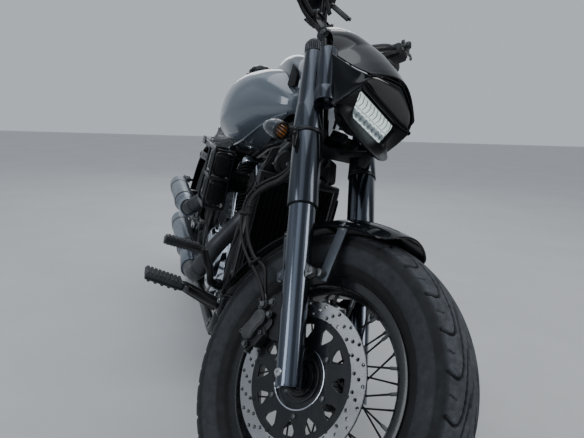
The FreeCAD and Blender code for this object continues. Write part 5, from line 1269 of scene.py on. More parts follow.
def mask_patches():
    """Upper facet ridge to crease, and lower fluted facet, as grids of points [along][across] for the left half."""
    n = 56
    rr = catmull(RIDGE, 7); cc = catmull(CREASE[:5], 7)[:-1].tolist() + catmull(CREASE[4:], 7).tolist()
    cc = np.array(cc)
    assert len(rr) == len(cc)
    m_ = 16
    up = np.zeros((len(rr), m_ + 1, 3))
    for i in range(len(rr)):
        f = i / (len(rr) - 1)
        for j in range(m_ + 1):
            u = j / m_
            p = rr[i] * (1 - u) + cc[i] * u
            # convex across, fullest a third of the way down, ridge kept narrow
            lift = (13.0 * math.sin(math.pi * u ** 0.72)) * (0.35 + 0.65 * math.sin(math.pi * min(1, 0.12 + f * 0.95)))
            p = p + np.array((0.52, -0.10, 0.85)) * lift
            up[i, j] = p
    kk = 4 * 7 + 1
    top = cc[:kk]
    low = resample(LOW, kk)
    lo = np.zeros((kk, 11, 3))
    for i in range(kk):
        f = i / (kk - 1)
        for j in range(11):
            u = j / 10
            p = top[i] * (1 - u) + low[i] * u
            dent = 9.0 * math.sin(math.pi * u) ** 0.9 * math.sin(math.pi * (0.15 + 0.8 * f))
            lo[i, j] = p - np.array((1.0, 0.0, 0.0)) * dent
    return up, lo

def outer_edge(n=25):
    """The left half of the cavity's outer rim from the ridge round to the chin."""
    a = smooth_edge(ARCH, 15)
    b = smooth_edge(LOW[:4], 8)[1:]
    c = smooth_edge(LIP, 16)[1:]
    return np.concatenate([a, b, c])
#@@END_GEOM

def lit_material(name, c0, c1, strength, rough=0.12):
    m, nt, b = new_mat(name)
    v = coords(nt)
    col = ramp(nt, noise(nt, v, 120.0, 3.0), [(0.3, c0), (0.7, c1)])
    nt.links.new(col, b.inputs["Base Color"])
    nt.links.new(col, b.inputs["Emission Color"])
    b.inputs["Emission Strength"].default_value = strength
    nt.links.new(rng(nt, noise(nt, v, 60.0), rough, rough + 0.08), b.inputs["Roughness"])
    return m

M["lens_glass"] = lit_material("lens_glass", (0.60, 0.70, 0.70), (0.82, 0.90, 0.90), 0.72)
M["lens_rib"] = lit_material("lens_rib", (0.20, 0.25, 0.27), (0.32, 0.38, 0.40), 0.22)
# dim dark glow for the spots in the lamp's cups: painted shade inside each reflector cup
M["lens_cup_painted_shade"] = lit_material("lens_cup_painted_shade", (0.10, 0.12, 0.13), (0.20, 0.23, 0.25), 0.10)
M["lamp_glass"] = surface("lamp_glass", (0.004, 0.005, 0.006), (0.008, 0.010, 0.011), (0.05, 0.10), coat=0.6, coat_rough=0.02, spots=30, grain_bump=0.0, wave=(30, 0.06))
M["jaw_black"] = surface("jaw_black", (0.0026, 0.0030, 0.0040), (0.0048, 0.0054, 0.0068), (0.26, 0.36), grain=1200, grain_bump=0.05, spec=0.20)

def both(A):
    """A left edge that starts on the centre plane, joined with its mirror image: right end to left end."""
    B = np.array(A)[::-1].copy(); B[:, 0] *= -1
    return np.concatenate([B[:-1], np.array(A)])

up_, lo_ = mask_patches()
wide = np.concatenate([(up_[:, ::-1] * np.array((-1, 1, 1)))[:, :-1], up_], 1)      # right crease, ridge, left crease
msk = Piece("mask_cowl", "K", "fork", "gloss_black", crease=24)
msk.add(shell(wide[:, ::-1], 3.2), 0, ROLL)
msk.mirror(shell(lo_, 3.0, True), 0, ROLL)
# rolled rim round the lamp opening and along the rear edges
rim_line = both(smooth_edge(ARCH, 24))
msk.add(tube(rim_line + np.array((0, 1.5, 0.4)), 1.7, 10), 0, ROLL)
msk.mirror(tube(np.concatenate([lo_[-1], lo_[::-1, -1][1:]]), 1.2, 8), 0, ROLL)
# rounded bead along the crease, where the two faces meet
msk.mirror(tube(lo_[:, 0] + np.array((-0.4, 0, -0.3)), 2.5, 12), 0, ROLL)
# inner ribs and bosses to the sleeves
msk.mirror(boxr(84, 108, 60, 120, 40, 48, 2.0), 0, ROLL)
msk.mirror(cyl((112, 70, 34), (84, 70, 40), 8, 20, 1.0), 0, ROLL)
msk.mirror(domebolt((112.0, 72, 34), (1, 0, -0.1), 6.0, 3.0), 0, ROLL)
msk.add(cyl((110, -4, 38), (127, -8, 37), 3.2, 14, 0.6), 0, ROLL)
msk.add(domebolt((126, -8, 37), (1, -0.2, 0), 6.0, 4.0), 0, ROLL)
msk.done(replaces=("headlight_mask",))

# jaw: from the opening's rim in to the lens, and the chin under it
edge = outer_edge()
half_out = resample(edge[14:], 40)
NJ = len(half_out)
LE = [(a, 0.0, b) for a, b in LENS]
mid = (1.0, 0.0, -34.0)
inL = resample([(80.5, 0, 27), (82, 0, 16), (70, 0, -30), (62, 0, -35), mid], NJ)
inR = resample([mid, (-60, 0, -33), (-70, 0, -24), (-83, 0, 22), (-78.5, 0, 31)], NJ)
outer = np.concatenate([half_out, (half_out[::-1] * np.array((-1, 1, 1)))[1:]])
inner = np.concatenate([inL, inR[1:]])
cols = []
for k in range(len(outer)):
    o_, i_ = outer[k], inner[k]
    col = [o_ + np.array((0, 20, 6.0)) * (1 if abs(o_[0]) < 114 else 0.4), o_ + np.array((0, 4.0, -0.6))]
    t_ = k / (len(outer) - 1)
    low_ = math.sin(math.pi * min(1, max(0, (t_ - 0.05) / 0.9)))
    for u in np.linspace(0, 1, 13):
        p = o_ * (1 - u) + (i_ + np.array((0, -5.0, 0))) * u
        b_ = 5.5 * math.sin(math.pi * u ** 0.8) * low_
        col.append(p + np.array((0, -b_ * 0.8, -b_ * 0.6)))
    col += [i_ + np.array((0, -3.0, 0)) + (i_ - np.array((0, i_[1], 0))) * -0.018, i_ + np.array((0, 9.0, 0)) + (i_ - np.array((0, i_[1], 0))) * -0.05]
    cols.append(col)
jaw = Piece("mask_jaw", "K", "fork", "jaw_black", "radiator_black", crease=40)
jaw.add(shell(np.array(cols)[:, ::-1], 1.6), 0, ROLL)
# divider over the lens: two bars with a bright line between
DIV = [(-104, -19, 33.5), (-84, -11, 33.5), (-40, -9, 32.4), (0, -8.5, 31.2), (40, -9, 30.0), (84, -11, 28.6), (104, -19, 28.0)]
dv = catmull(DIV, 6)
jaw.add(tube(dv + np.array((0, 0, 2.5)), 3.6, 12, flat=(1.6, 1)), 1, ROLL)
jaw.add(tube(dv + np.array((0, -1.0, 9.5)), 2.6, 12, flat=(1.5, 1)), 1, ROLL)
jaw.add(tube(dv + np.array((0, 4.0, 5.6)), 4.0, 10, flat=(1.6, 1)), 0, ROLL)
# chin tab with its bolt, and the bracket that runs back from the chin to the lower clamp
jaw.add(plate(round_outline([(-60, -80), (-44, -80), (-34, -104), (-44, -120), (-66, -120), (-70, -100)], 5, 3), 5, "yz", -6, 1.0), 1, ROLL)
jaw.add(hexbolt((-1, -55, -110), (0.4, -1, -0.2), 12, 7), 1, ROLL)
jaw.add(boxr(-14, 14, -52, 40, -84, -78, 2.0, 2, turn((1, 0, 0), -14, (0, -58, -80))), 1, ROLL)
jaw.mirror(boxr(14, 30, 20, 64, -84, -62, 3.0), 1, ROLL)
jaw.done()

lampw = Piece("lamp_led", "K", "fork", "lens_glass", "lens_rib", "lens_cup_painted_shade", "dark_plastic", crease=40)
lampw.add(plate(LENS, 6, "xz", 5.0, 0.8), 0, ROLL)
def on_panel(x, z, y=4.6):
    return (x, y, z + (26.5 - (x + 78) / 157 * 5 - 26.5) * 0)
# upper row: bowed ribs across the light
for k in range(10):
    x = -68 + k * 15.0
    pts = [(x + 5.5 * math.sin(math.pi * u) - 1.5, 3.8, 26 - 26 * u) for u in np.linspace(0, 1, 9)]
    lampw.add(tube(pts, 1.25, 8), 1, ROLL)
for z0, z1 in ((-3.4, -2.0),):
    lampw.add(boxr(-76, 75, 3.0, 5.4, z0, z1, 0.4, 1), 1, ROLL)
# lower row: round cups, each with a small dark spot set off its middle: painted shade in the cup
for k in range(8):
    x = -61 + k * 17.2
    z = -17.0
    T_ = axis_frame((x, 4.8, z), (0, -1, 0))
    lampw.add(lathe([(0.0, 8.2), (1.6, 8.0), (1.6, 7.2), (0.3, 6.6)], 28, M4=T_), 1, ROLL)
    lampw.add(lathe([(0.0, 3.4), (1.6, 3.0), (2.0, 1.4)], 20, M4=axis_frame((x - 2.0, 4.8, z - 1.0), (0, -1, 0))), 2, ROLL)
    lampw.add(tube([(x + 8.6, 4.0, -5.0), (x + 9.8, 4.0, -16), (x + 8.6, 4.0, -29.0)], 0.9, 6), 1, ROLL)
# thin dark frame round the light
fr = resample([(a, 2.0, b) for a, b in LENS + LENS[:1]], 61)[:-1]
lampw.add(tube(fr, 1.8, 8, closed=True), 3, ROLL)
lampw.done(replaces=("headlight_lens",))

lg = Piece("lamp_glass", "K", "fork", "lamp_glass", crease=60)
A_ = both(smooth_edge(ARCH, 30))[:, :] + np.array((0, 5.0, -1.5))
A_[:, 0] *= 0.975
B_ = resample(dv + np.array((0, 0.5, 9.0)), len(A_))
G_ = []
for k in range(len(A_)):
    t_ = k / (len(A_) - 1)
    row = []
    for u in np.linspace(0, 1, 12):
        p = A_[k] * (1 - u) + B_[k] * u
        row.append(p + np.array((0, -1.0, 0.25)) * 13.0 * math.sin(math.pi * u) ** 0.8 * math.sin(math.pi * min(max(t_, 0.0), 1.0)) ** 0.6)
    G_.append(row)
lg.add(shell(np.array(G_), 1.4), 0, ROLL)
lg.done()

hs = Piece("lamp_housing", "K", "fork", "dark_plastic", crease=30)
hs.add(plate(round_outline([(-74, -38), (74, -38), (76, 40), (-76, 40)], 20, 5), 44, "xz", 11, 3.0), 0, ROLL)
hs.add(lathe(soft_profile([(0, 0), (0, 56), (8, 52), (14, 48), (34, 44), (38, 30), (38, 0)], 2, 2), 48, M4=axis_frame((0, 54, 2), (0, 1, 0))), 0, ROLL)
for k in range(12):
    a_ = 2 * math.pi * k / 12
    hs.add(boxr(-1.5, 1.5, 56, 84, 44, 51, 0.5, 1, move(0, 0, 2) @ turn((0, 1, 0), 30 * k)), 0, ROLL)
hs.add(cyl((0, 88, 2), (0, 98, 2), 12, 24, 1.0), 0, ROLL)
hs.mirror(boxr(72, 104, 30, 44, -6, 8, 2.0), 0, ROLL)
hs.done(replaces=("headlight_housing",))
# ================================================================== frame, engine, tank, exhaust, tail
M["rubber_grid"] = surface("rubber_grid", (0.020, 0.022, 0.026), (0.038, 0.041, 0.046), (0.55, 0.70), spots=40, grain_bump=0.3)
M["red_lens"] = surface("red_lens", (0.22, 0.010, 0.008), (0.34, 0.018, 0.012), (0.10, 0.16), coat=1.0, coat_rough=0.03, spots=60, grain_bump=0.05)
M["slate_gloss"] = surface("slate_gloss", (0.042, 0.052, 0.070), (0.052, 0.063, 0.083), (0.14, 0.20), metal=0.35, coat=1.0, coat_rough=0.03, grain_bump=0.01)

def axis_point(v, back=0.0, x=0.0):
    y = 56 + back
    return (x, y * cosd(33) + v * sind(33), 320 - y * sind(33) + v * cosd(33))

# ------------------------------------------------------------------ main frame
mf = Piece("main_frame", "D", "frame", "frame_black", "dull_steel", "dark_plastic", crease=34)
h0, h1 = np.array(axis_point(607)), np.array(axis_point(757))
hd = (h1 - h0) / np.linalg.norm(h1 - h0)
mf.add(turned(h0, hd, [(0, 30), (12, 30), (18, 27), (132, 27), (138, 30), (150, 30)], 48, 1.2), 0)
mf.add(turned(h0, hd, [(-0.6, 25), (1, 25)], 40, 0.4), 1)
bb = arcs([axis_point(690, 22), (0, 620, 788), (0, 900, 744), (0, 1084, 690)], 200.0)
mf.add(tube(bb, 24, 26), 0)
g0, g1 = np.array(axis_point(640, 20)), np.array(axis_point(735, 20))
mf.add(plate(round_outline([(g0[1], g0[2]), (g1[1], g1[2]), (560, 800), (640, 770), (600, 700), (500, 660)], 8, 3), 9, "yz", -4.5, 2.5), 0)
mf.mirror(plate(round_outline([(g0[1] + 6, g0[2] - 4), (g1[1] + 6, g1[2] - 20), (560, 786), (560, 752), (500, 690), (g0[1] + 16, g0[2] - 12)], 8, 3), 5, "yz", 22, 2.0), 0)
rails = arcs([(98, 1000, 690), (112, 1290, 636), (116, 1500, 660), (116, 1700, 664)], 120.0)
mf.mirror(tube(rails, 13, 20), 0)
mf.add(tube([(-104, 1104, 666), (-60, 1104, 667), (0, 1104, 667), (60, 1104, 667), (104, 1104, 666)], 14, 22), 0)
mf.add(tube(catmull([(116, 1690, 664), (110, 1725, 665), (70, 1746, 665), (0, 1750, 665), (-70, 1746, 665), (-110, 1725, 665), (-116, 1690, 664)], 5), 11, 18), 0)
mf.mirror(plate(round_outline([(1050, 676), (1130, 676), (1120, 600), (1104, 540), (1084, 540)], 10, 4), 8, "yz", 92, 2.4), 0)
for y_ in (1300, 1480):
    mf.mirror(hexbolt((113, y_, 652 if y_ > 1400 else 640), (1, 0, 0.2), 12, 6), 1)
mf.mirror(plate(round_outline([(1600, 655), (1700, 655), (1700, 690), (1600, 690)], 6, 3), 5, "yz", 128, 1.5), 0)
mf.done(replaces=("main_frame",))

CR = [axis_point(640, 24, 22), (86, 466, 690), (108, 480, 500), (108, 505, 190), (105, 1010, 185), (105, 1110, 380), (105, 1060, 600), (98, 1080, 664)]
cr = Piece("cradle_tubes", "D", "frame", "frame_black", "dull_steel", "dark_plastic", crease=40)
cp = arcs(CR, 70.0)
cr.mirror(tube(cp, 16, 24), 0)
# lugs for the engine bolts, the plate behind the pivot and cross tubes
for y_, z_ in ((516, 252), (560, 186), (1000, 186)):
    cr.mirror(boxr(84, 118, y_ - 22, y_ + 26, z_ - 12, z_ + 30, 6, 3), 0)
    cr.mirror(hexbolt((118, y_ + 2, z_ + 12), (1, 0, 0), 15, 7), 1)
cr.mirror(plate(round_outline([(1070, 250), (1128, 300), (1146, 372), (1128, 450), (1084, 520), (1050, 470), (1060, 380), (1040, 300)], 16, 4), 12, "yz", 99, 3.0), 0)
cr.mirror(hexbolt((111, 1125, 372), (1, 0, 0), 26, 8), 1)
for y_, z_ in ((1090, 300), (1092, 440)):
    cr.mirror(hexbolt((111, y_, z_), (1, 0, 0), 12, 6), 1)
cr.add(tube([(-106, 505, 200), (0, 505, 200), (106, 505, 200)], 13, 20), 0)
cr.add(tube([(-104, 1052, 198), (0, 1052, 198), (104, 1052, 198)], 13, 20), 0)
cr.add(tube([(-86, 468, 680), (-40, 462, 684), (0, 460, 685), (40, 462, 684), (86, 468, 680)], 10, 18), 0)
# bare plate tied along the right down tube, and the wiring that follows it
a_, b_ = np.array((-60.0, 440, 716)), np.array((-99.0, 452, 612))
cr.add(strap(a_ + (-14, -12, 4), b_ + (-14, -8, 0), 34, 3.0, (0.35, -0.9, 0.25), 1.0), 2)
for t_ in (0.12, 0.88):
    q_ = a_ * (1 - t_) + b_ * t_ + (-15, -14, 2)
    cr.add(domebolt(q_, (-0.35, -0.9, 0.2), 4.5, 2.5), 1)
for s in (-1, 1):
    cr.add(tube(catmull([(s * 30, 430, 742), (s * 78, 452, 712), (s * 99, 455, 640), (s * 112, 462, 560), (s * 120, 474, 480), (s * 122, 500, 400)], 8), 5, 12), 2)
    for z_ in (660, 600, 520):
        y_ = float(np.interp(-z_, [-690, -500], [466, 480])); x_ = float(np.interp(-z_, [-690, -500], [86, 108]))
        cr.add(lathe([(-3, 18.5), (3, 18.5), (3, 16.2), (-3, 16.2)], 28, True, axis_frame((s * x_, y_, z_), (0.1 * s, 0.05, 1))), 2)
cr.done(replaces=("cradle_tubes",))

# ------------------------------------------------------------------ engine
en = Piece("engine_block", "D", "frame", "engine_dark", "dull_steel", "polished_metal", "frame_black", crease=34)
en.add(plate(round_outline([(566, 300), (560, 400), (600, 440), (760, 452), (840, 452), (960, 438), (1046, 420), (1050, 300), (1020, 236), (960, 214), (700, 207), (620, 220)], 26, 5), 172, "yz", -86, 5.0), 0)
for k in range(9):
    y_ = 640 + 46 * k
    en.mirror(boxr(70, 88.5, y_ - 3, y_ + 3, 212, 246, 2, 2), 0)
en.add(boxr(-76, 76, 690, 950, 199, 216, 6, 3), 0)
for k in range(13):
    en.add(boxr(-70, 70, 700 + 19 * k, 704 + 19 * k, 196, 205, 1.5, 1), 0)
en.add(cyl((0, 575, 290), (0, 528, 290), 36, 56, 4), 3)
for k in range(16):
    a_ = 22.5 * k
    en.add(boxr(34.5, 37.5, -3, 3, 4, 24, 1.2, 1, move(0, 528, 290) @ turn((1, 0, 0), -90) @ turn((0, 0, 1), a_)), 3)
en.add(hexbolt((0, 528, 290), (0, -1, 0), 20, 6), 1)
for (y_, z_) in ((584, 330), (584, 400), (640, 436), (940, 432), (1030, 400), (1036, 300), (990, 232), (640, 226)):
    en.mirror(capbolt((86, y_, z_), (1, 0, 0), 5.5, 6), 1)
# breather and wiring at the front of the case
en.add(tube(catmull([(-40, 575, 430), (-62, 540, 470), (-64, 520, 540), (-52, 500, 600)], 8), 8, 14), 3)
en.done(replaces=("engine_block",))

ec = Piece("engine_cylinders", "D", "frame", "engine_dark", "polished_metal", "dull_steel", "frame_black", "hose_rubber", crease=34)
for sg in (1, -1):
    Tc = move(0, 800, 345) @ turn((1, 0, 0), 27.0 * sg)
    ec.add(lathe([(106, 50), (285, 50)], 56, M4=axis_frame((0, 0, 0), (0, 0, 1))), 0, Tc)
    for k in range(14):
        l_ = 120 + 11.6 * k
        ol = rounded_rect(61.5, -59.5, 59.5, 26, 6)
        ec.add(plate(ol, 3.0, "xy", l_, 1.0, None, 1), 0, Tc)
    ec.add(plate(rounded_rect(66, -62, 62, 20, 5), 9, "xy", 108, 2.0), 0, Tc)
    # head: three broad fins, then the rocker cover with its bolts
    for k in range(4):
        ec.add(plate(rounded_rect(73.5, -67, 67, 24, 6), 4.0, "xy", 287 + 11.0 * k, 1.4, None, 1), 0, Tc)
    ec.add(plate(rounded_rect(60, -56, 56, 22, 6), 46, "xy", 285, 2.0), 0, Tc)
    ec.add(plate(rounded_rect(70, -62, 62, 24, 6), 22, "xy", 329, 5.0, None, 3), 1, Tc)
    ec.add(plate(rounded_rect(48, -42, 42, 20, 6), 6, "xy", 350, 2.4, None, 2), 1, Tc)
    for (x_, y_) in ((58, 50), (-58, 50), (58, -50), (-58, -50), (0, 54), (0, -54)):
        ec.add(capbolt((x_, y_, 350), (0, 0, 1), 5.0, 5), 2, Tc)
    # push rod tubes in front of the barrel, plug and lead
    for y_ in (-22, 12):
        ec.add(cyl((-64, y_ * 0.5, 96), (-66, y_, 292), 8.0, 24, 1.0), 1, Tc)
        ec.add(cyl((-64, y_ * 0.5, 92), (-64.2, y_ * 0.55, 112), 11, 24, 1.4), 2, Tc)
        ec.add(cyl((-66, y_, 276), (-66, y_, 296), 11, 24, 1.4), 2, Tc)
    ec.add(cyl((68, 0, 300), (86, 0, 304), 9, 24, 1.4), 4, Tc)
    ec.add(tube(catmull([(84, 0, 304), (98, 6, 320), (84, 18, 352), (50, 24, 372)], 8), 4.0, 12), 4, Tc)
ec.add(boxr(-52, 40, 762, 838, 560, 640, 12, 3), 3)
ec.add(cyl((-46, 800, 600), (-62, 800, 600), 34, 48, 2), 2)
ec.done(replaces=("engine_cylinders",))

cv = Piece("engine_covers", "D", "frame", "polished_metal", "dull_steel", "engine_dark", crease=34)
def side_dome(x0, s, y, z, r, deep, bolts, a0=0.0, inner=0.62):
    T = axis_frame((x0, y, z), (s, 0, 0))
    cv.add(lathe(soft_profile([(-1, 0), (-1, r), (8, r), (12, r - 6), (deep * 0.62, r * 0.90), (deep * 0.86, r * 0.74), (deep * 0.93, r * inner), (deep * 0.93 - 2.5, r * inner - 3), (deep * 0.96, r * inner - 8), (deep, r * 0.28), (deep, 0)], 3.5, 3), 84, M4=T), 0)
    for k in range(bolts):
        a = 2 * math.pi * (k + 0.5) / bolts + a0
        q = (x0 + s * 8, y + (r - 4) * math.cos(a), z + (r - 4) * math.sin(a))
        cv.add(cyl((x0, q[1], q[2]), q, 8.5, 22, 1.5), 0)
        cv.add(capbolt(q, (s, 0, 0), 4.8, 5), 1)
side_dome(-88, -1, 730, 345, 110, 45, 10)
side_dome(-88, -1, 900, 350, 78, 37, 7)
side_dome(88, 1, 740, 345, 110, 47, 10)
side_dome(88, 1, 930, 340, 82, 39, 7)
cv.add(plate(round_outline([(620, 330), (650, 270), (780, 236), (930, 268), (980, 330), (970, 392), (900, 430), (740, 452), (640, 410)], 30, 5), 12, "yz", -98, 4.0, None, 3), 0)
cv.add(plate(round_outline([(630, 330), (660, 270), (790, 236), (950, 258), (1010, 330), (1000, 392), (920, 426), (750, 452), (650, 410)], 30, 5), 12, "yz", 86, 4.0, None, 3), 0)
cv.add(hexbolt((-133, 730, 345), (-1, 0, 0), 16, 2.5, False), 1)
cv.add(cyl((-126, 664, 398), (-131, 664, 398), 15, 36, 1.5), 1)
cv.add(hexbolt((-98, 828, 286), (-1, 0, 0), 18, 8), 1)
cv.done(replaces=("engine_covers",))

# ------------------------------------------------------------------ radiator
rd = Piece("radiator", "D", "frame", "radiator_black", "frame_black", "dull_steel", "hose_rubber", crease=34)
rd.add(boxr(-96, 96, 424, 436, 356, 668, 1.0, 1), 0)
for k in range(15):
    x_ = -91 + 13 * k
    rd.add(boxr(x_ - 0.8, x_ + 0.8, 419, 443, 356, 668, 0.3, 1), 0)
for k in range(62):
    z_ = 359 + 5.0 * k
    rd.add(boxr(-95, 95, 417.5, 442, z_, z_ + 0.9, 0.0, 1), 0)
rd.mirror(boxr(95, 113.5, 414, 446, 348, 676, 7, 3), 1)
rd.add(boxr(-112, 112, 414.5, 445.5, 664, 683, 6, 3), 1)
rd.add(boxr(-112, 112, 414.5, 445.5, 341, 358, 6, 3), 1)
rd.add(boxr(-110, 110, 412.5, 416, 678, 680.5, 1.0, 2), 1)
# shroud above the core, with ribs, and the horn and cable ties that hang before it
rd.add(plate(round_outline([(-104, 684), (104, 684), (92, 742), (60, 756), (-60, 756), (-92, 742)], 12, 4), 8, "xz", 436, 2.2), 1)
for x_ in (-66, -22, 22, 66):
    rd.add(boxr(x_ - 2, x_ + 2, 428, 438, 690, 744, 1.4, 2), 1)
rd.add(lathe(soft_profile([(0, 0), (0, 34), (3, 37), (9, 37), (13, 31), (13, 24), (10, 20), (10, 0)], 1.4, 2), 48, M4=axis_frame((-44, 432, 712), (0, -1, 0))), 1)
rd.add(hexbolt((-44, 421, 712), (0, -1, 0), 9, 3), 2)
rd.add(boxr(16, 74, 424, 437, 700, 732, 4, 3), 3)
for x_ in (26, 44, 62):
    rd.add(tube(catmull([(x_, 426, 728), (x_ + 3, 424, 748), (x_ - 8, 436, 764), (x_ - 20, 470, 782)], 6), 3.6, 10), 3)
rd.mirror(plate(round_outline([(452, 392), (452, 640), (416, 652), (412, 640), (412, 384)], 6, 3), 3.0, "yz", 113.0, 1.0), 1)
for z_ in (400, 620):
    rd.mirror(boxr(100, 116, 440, 478, z_ - 12, z_ + 12, 4, 2), 1)
    rd.mirror(domebolt((116, 430, z_), (1, 0, 0), 6, 3), 2)
rd.add(tube(catmull([(-80, 446, 664), (-84, 474, 672), (-70, 520, 640), (-50, 570, 600)], 8), 15, 20), 3)
rd.add(tube(catmull([(80, 446, 362), (84, 480, 350), (70, 530, 330), (50, 566, 320)], 8), 15, 20), 3)
rd.add(cyl((62, 430, 680), (62, 430, 694), 17, 36, 2), 1)
rd.done(replaces=("radiator",))

# ------------------------------------------------------------------ tank, console, cap
def through(rows, ys):
    """Section values at those y, smooth through the given columns."""
    R = np.array(rows, float)
    out = []
    c = catmull(np.c_[R[:, 0], R[:, 1:]], 16) if False else None
    y = R[:, 0]
    res = []
    for k in range(1, R.shape[1]):
        v = R[:, k]; m = np.gradient(v, y)
        col = []
        for q in ys:
            i = int(np.clip(np.searchsorted(y, q) - 1, 0, len(y) - 2))
            h = y[i + 1] - y[i]; t = (q - y[i]) / h
            col.append((2*t**3 - 3*t**2 + 1) * v[i] + (t**3 - 2*t**2 + t) * h * m[i] + (-2*t**3 + 3*t**2) * v[i + 1] + (t**3 - t**2) * h * m[i + 1])
        res.append(col)
    return np.array(res).T

TANK = [(548, 50, 850, 902, 28), (600, 98, 822, 938, 52), (650, 139, 792, 965, 82), (720, 174, 750, 974, 108), (790, 190, 722, 972, 122), (870, 188, 708, 960, 120), (960, 170, 700, 938, 112), (1040, 132, 693, 892, 90), (1105, 92, 692, 838, 66)]
ys = np.r_[548, 552, 560, np.linspace(574, 1090, 38), 1100, 1104, 1105]
S = through(TANK, ys)
def tank_ring(y, half, z0, z1, c, shrink=0.0, n=56):
    """Bulging section, widest below the middle, with the tunnel for the backbone."""
    half -= shrink; z1 -= shrink; z0 += shrink * 0.5
    zw = z0 + (z1 - z0) * 0.40
    pts = []
    for k in range(n + 1):
        a = math.pi * k / n                                # over the top from left to right
        ca, sa = math.cos(a), math.sin(a)
        pts.append((half * math.copysign(abs(ca) ** 0.84, ca), zw + (z1 - zw) * abs(sa) ** 0.80))
    tun = min(40.0, half * 0.5)
    low = []
    for k in range(1, 12):
        a = (math.pi / 2) * k / 12
        low.append((-tun - (half - tun) * math.cos(a) ** 0.72, zw - (zw - z0) * math.sin(a) ** 1.0))
    zt = max(z0 + 12, min(852.0, z1 - 60))
    mid_ = [(-tun - 2, z0), (-tun, z0 + 6), (-tun, zt), (-tun * 0.6, zt + 14), (tun * 0.6, zt + 14), (tun, zt), (tun, z0 + 6), (tun + 2, z0)]
    return [(x, y, z) for x, z in pts + low + mid_ + [(-x, z) for x, z in reversed(low)]]
rings = []
for i, (y, row) in enumerate(zip(ys, S)):
    e = {0: 9.0, 1: 4.0, 2: 1.2}.get(i, {len(ys) - 1: 9.0, len(ys) - 2: 4.0, len(ys) - 3: 1.4}.get(i, 0.0))
    rings.append(tank_ring(y, *row, shrink=e))
tk = Piece("fuel_tank", "D", "frame", "tank_grey", "slate_gloss", "dull_steel", "frame_black", crease=50)
tk.add(loft_rings(rings), 0)
# welded lip under the flanks
RG = np.array(rings)
for sd in (-1, 1):
    j = 56 + 9 if sd < 0 else 56 + 11 + 8 + 2 + 1
    path = RG[2:-2, j] + np.array((0, 0, -2.0))
    tk.add(tube(catmull(path[::2], 3), 3.2, 10), 0)
tk.add(hexbolt((0, 1112, 706), (0, 0.5, 1), 12, 5), 2)
tk.add(plate(round_outline([(1080, 690), (1122, 696), (1122, 702), (1080, 706)], 2, 2), 44, "yz", -22, 1.5), 3)
# petcock and fuel line on the left flank
tk.add(cyl((70, 990, 706), (70, 990, 676), 9, 24, 1.5), 2)
tk.add(tube(catmull([(70, 990, 680), (74, 975, 652), (60, 930, 630), (36, 860, 620)], 8), 5, 12), 3)
tk.done(replaces=("fuel_tank",))

CON = [(556, 34, 896, 958, 20), (580, 46, 898, 984, 24), (620, 55, 905, 1008, 28), (660, 59, 915, 1021, 30), (704, 60, 925, 1024, 30), (780, 57, 938, 1008, 26), (850, 53, 946, 988, 18), (890, 48, 948, 975, 12)]
ys = np.r_[556, 558, 563, np.linspace(572, 876, 28), 886, 889, 890]
S = through(CON, ys)
def oval_ring(y, half, z0, z1, p=0.78, n=48):
    zc, hz = (z0 + z1) / 2, (z1 - z0) / 2
    return [(half * math.copysign(abs(math.cos(a)) ** p, math.cos(a)), y, zc + hz * math.copysign(abs(math.sin(a)) ** p, math.sin(a))) for a in np.linspace(0, 2 * math.pi, n, endpoint=False)]
rings = []
for i, (y, row) in enumerate(zip(ys, S)):
    e = {0: 8.0, 1: 4.0, 2: 1.2}.get(i, {len(ys) - 1: 8.0, len(ys) - 2: 4.0, len(ys) - 3: 1.2}.get(i, 0.0))
    rings.append(oval_ring(y, row[0] - e, row[1] + e, row[2] - e))
tc = Piece("tank_console", "D", "frame", "slate_gloss", "dark_plastic", "dull_steel", crease=50)
tc.add(loft_rings(rings), 0)
# dark sheet down each cheek of its front: painted shade standing for a recess
for s in (-1, 1):
    Q = [(s * 39.5, 561, 950), (s * 42.5, 568, 960), (s * 46.0, 580, 972), (s * 49.5, 594, 980)]
    Z = [(s * 39.0, 560.5, 922), (s * 43.0, 568, 919), (s * 47.5, 580, 916), (s * 51.0, 594, 922)]
    G_ = np.array([[np.array(a_) * (1 - u) + np.array(b_) * u for u in np.linspace(0, 1, 7)] for a_, b_ in zip(catmull(Q, 5), catmull(Z, 5))])
    tc.add(shell(G_ + np.array((s * 2.2, -1.6, 0)), 5.0, flip=(s > 0)), 1)
tc.add(boxr(-22, 22, 554.5, 560, 906, 948, 2.4, 2), 1)
tc.add(boxr(-6, 6, 720, 860, 1000, 1014, 3, 3, move(0, 0, -2)), 1)
for y_ in (740, 842):
    tc.add(domebolt((0, y_, 1012 if y_ < 800 else 1011), (0, 0, 1), 4.5, 2.5), 2)
tc.add(cyl((0, 690, 1018), (0, 690, 1026), 14, 40, 2.0), 1)
tc.done(replaces=("tank_console",))

fc = Piece("fuel_cap", "D", "frame", "gloss_black", "dull_steel", crease=34)
T = axis_frame((-92, 842, 938), (-0.22, 0, 1))
fc.add(lathe(soft_profile([(4, 0), (4, 44), (12, 44), (14, 36), (24, 35.5), (28, 33), (36, 25), (40.5, 12), (41.5, 0)], 3, 3), 72, M4=T), 0)
for k in range(12):
    fc.add(boxr(15, 25, 33.8, 36.4, -3.0, 3.0, 1.0, 1, T @ turn((1, 0, 0), 30 * k)), 0)
fc.add(lathe([(12, 45.2), (13.6, 45.2), (13.6, 43), (12, 43)], 72, True, T), 1)
fc.done(replaces=("fuel_cap",))

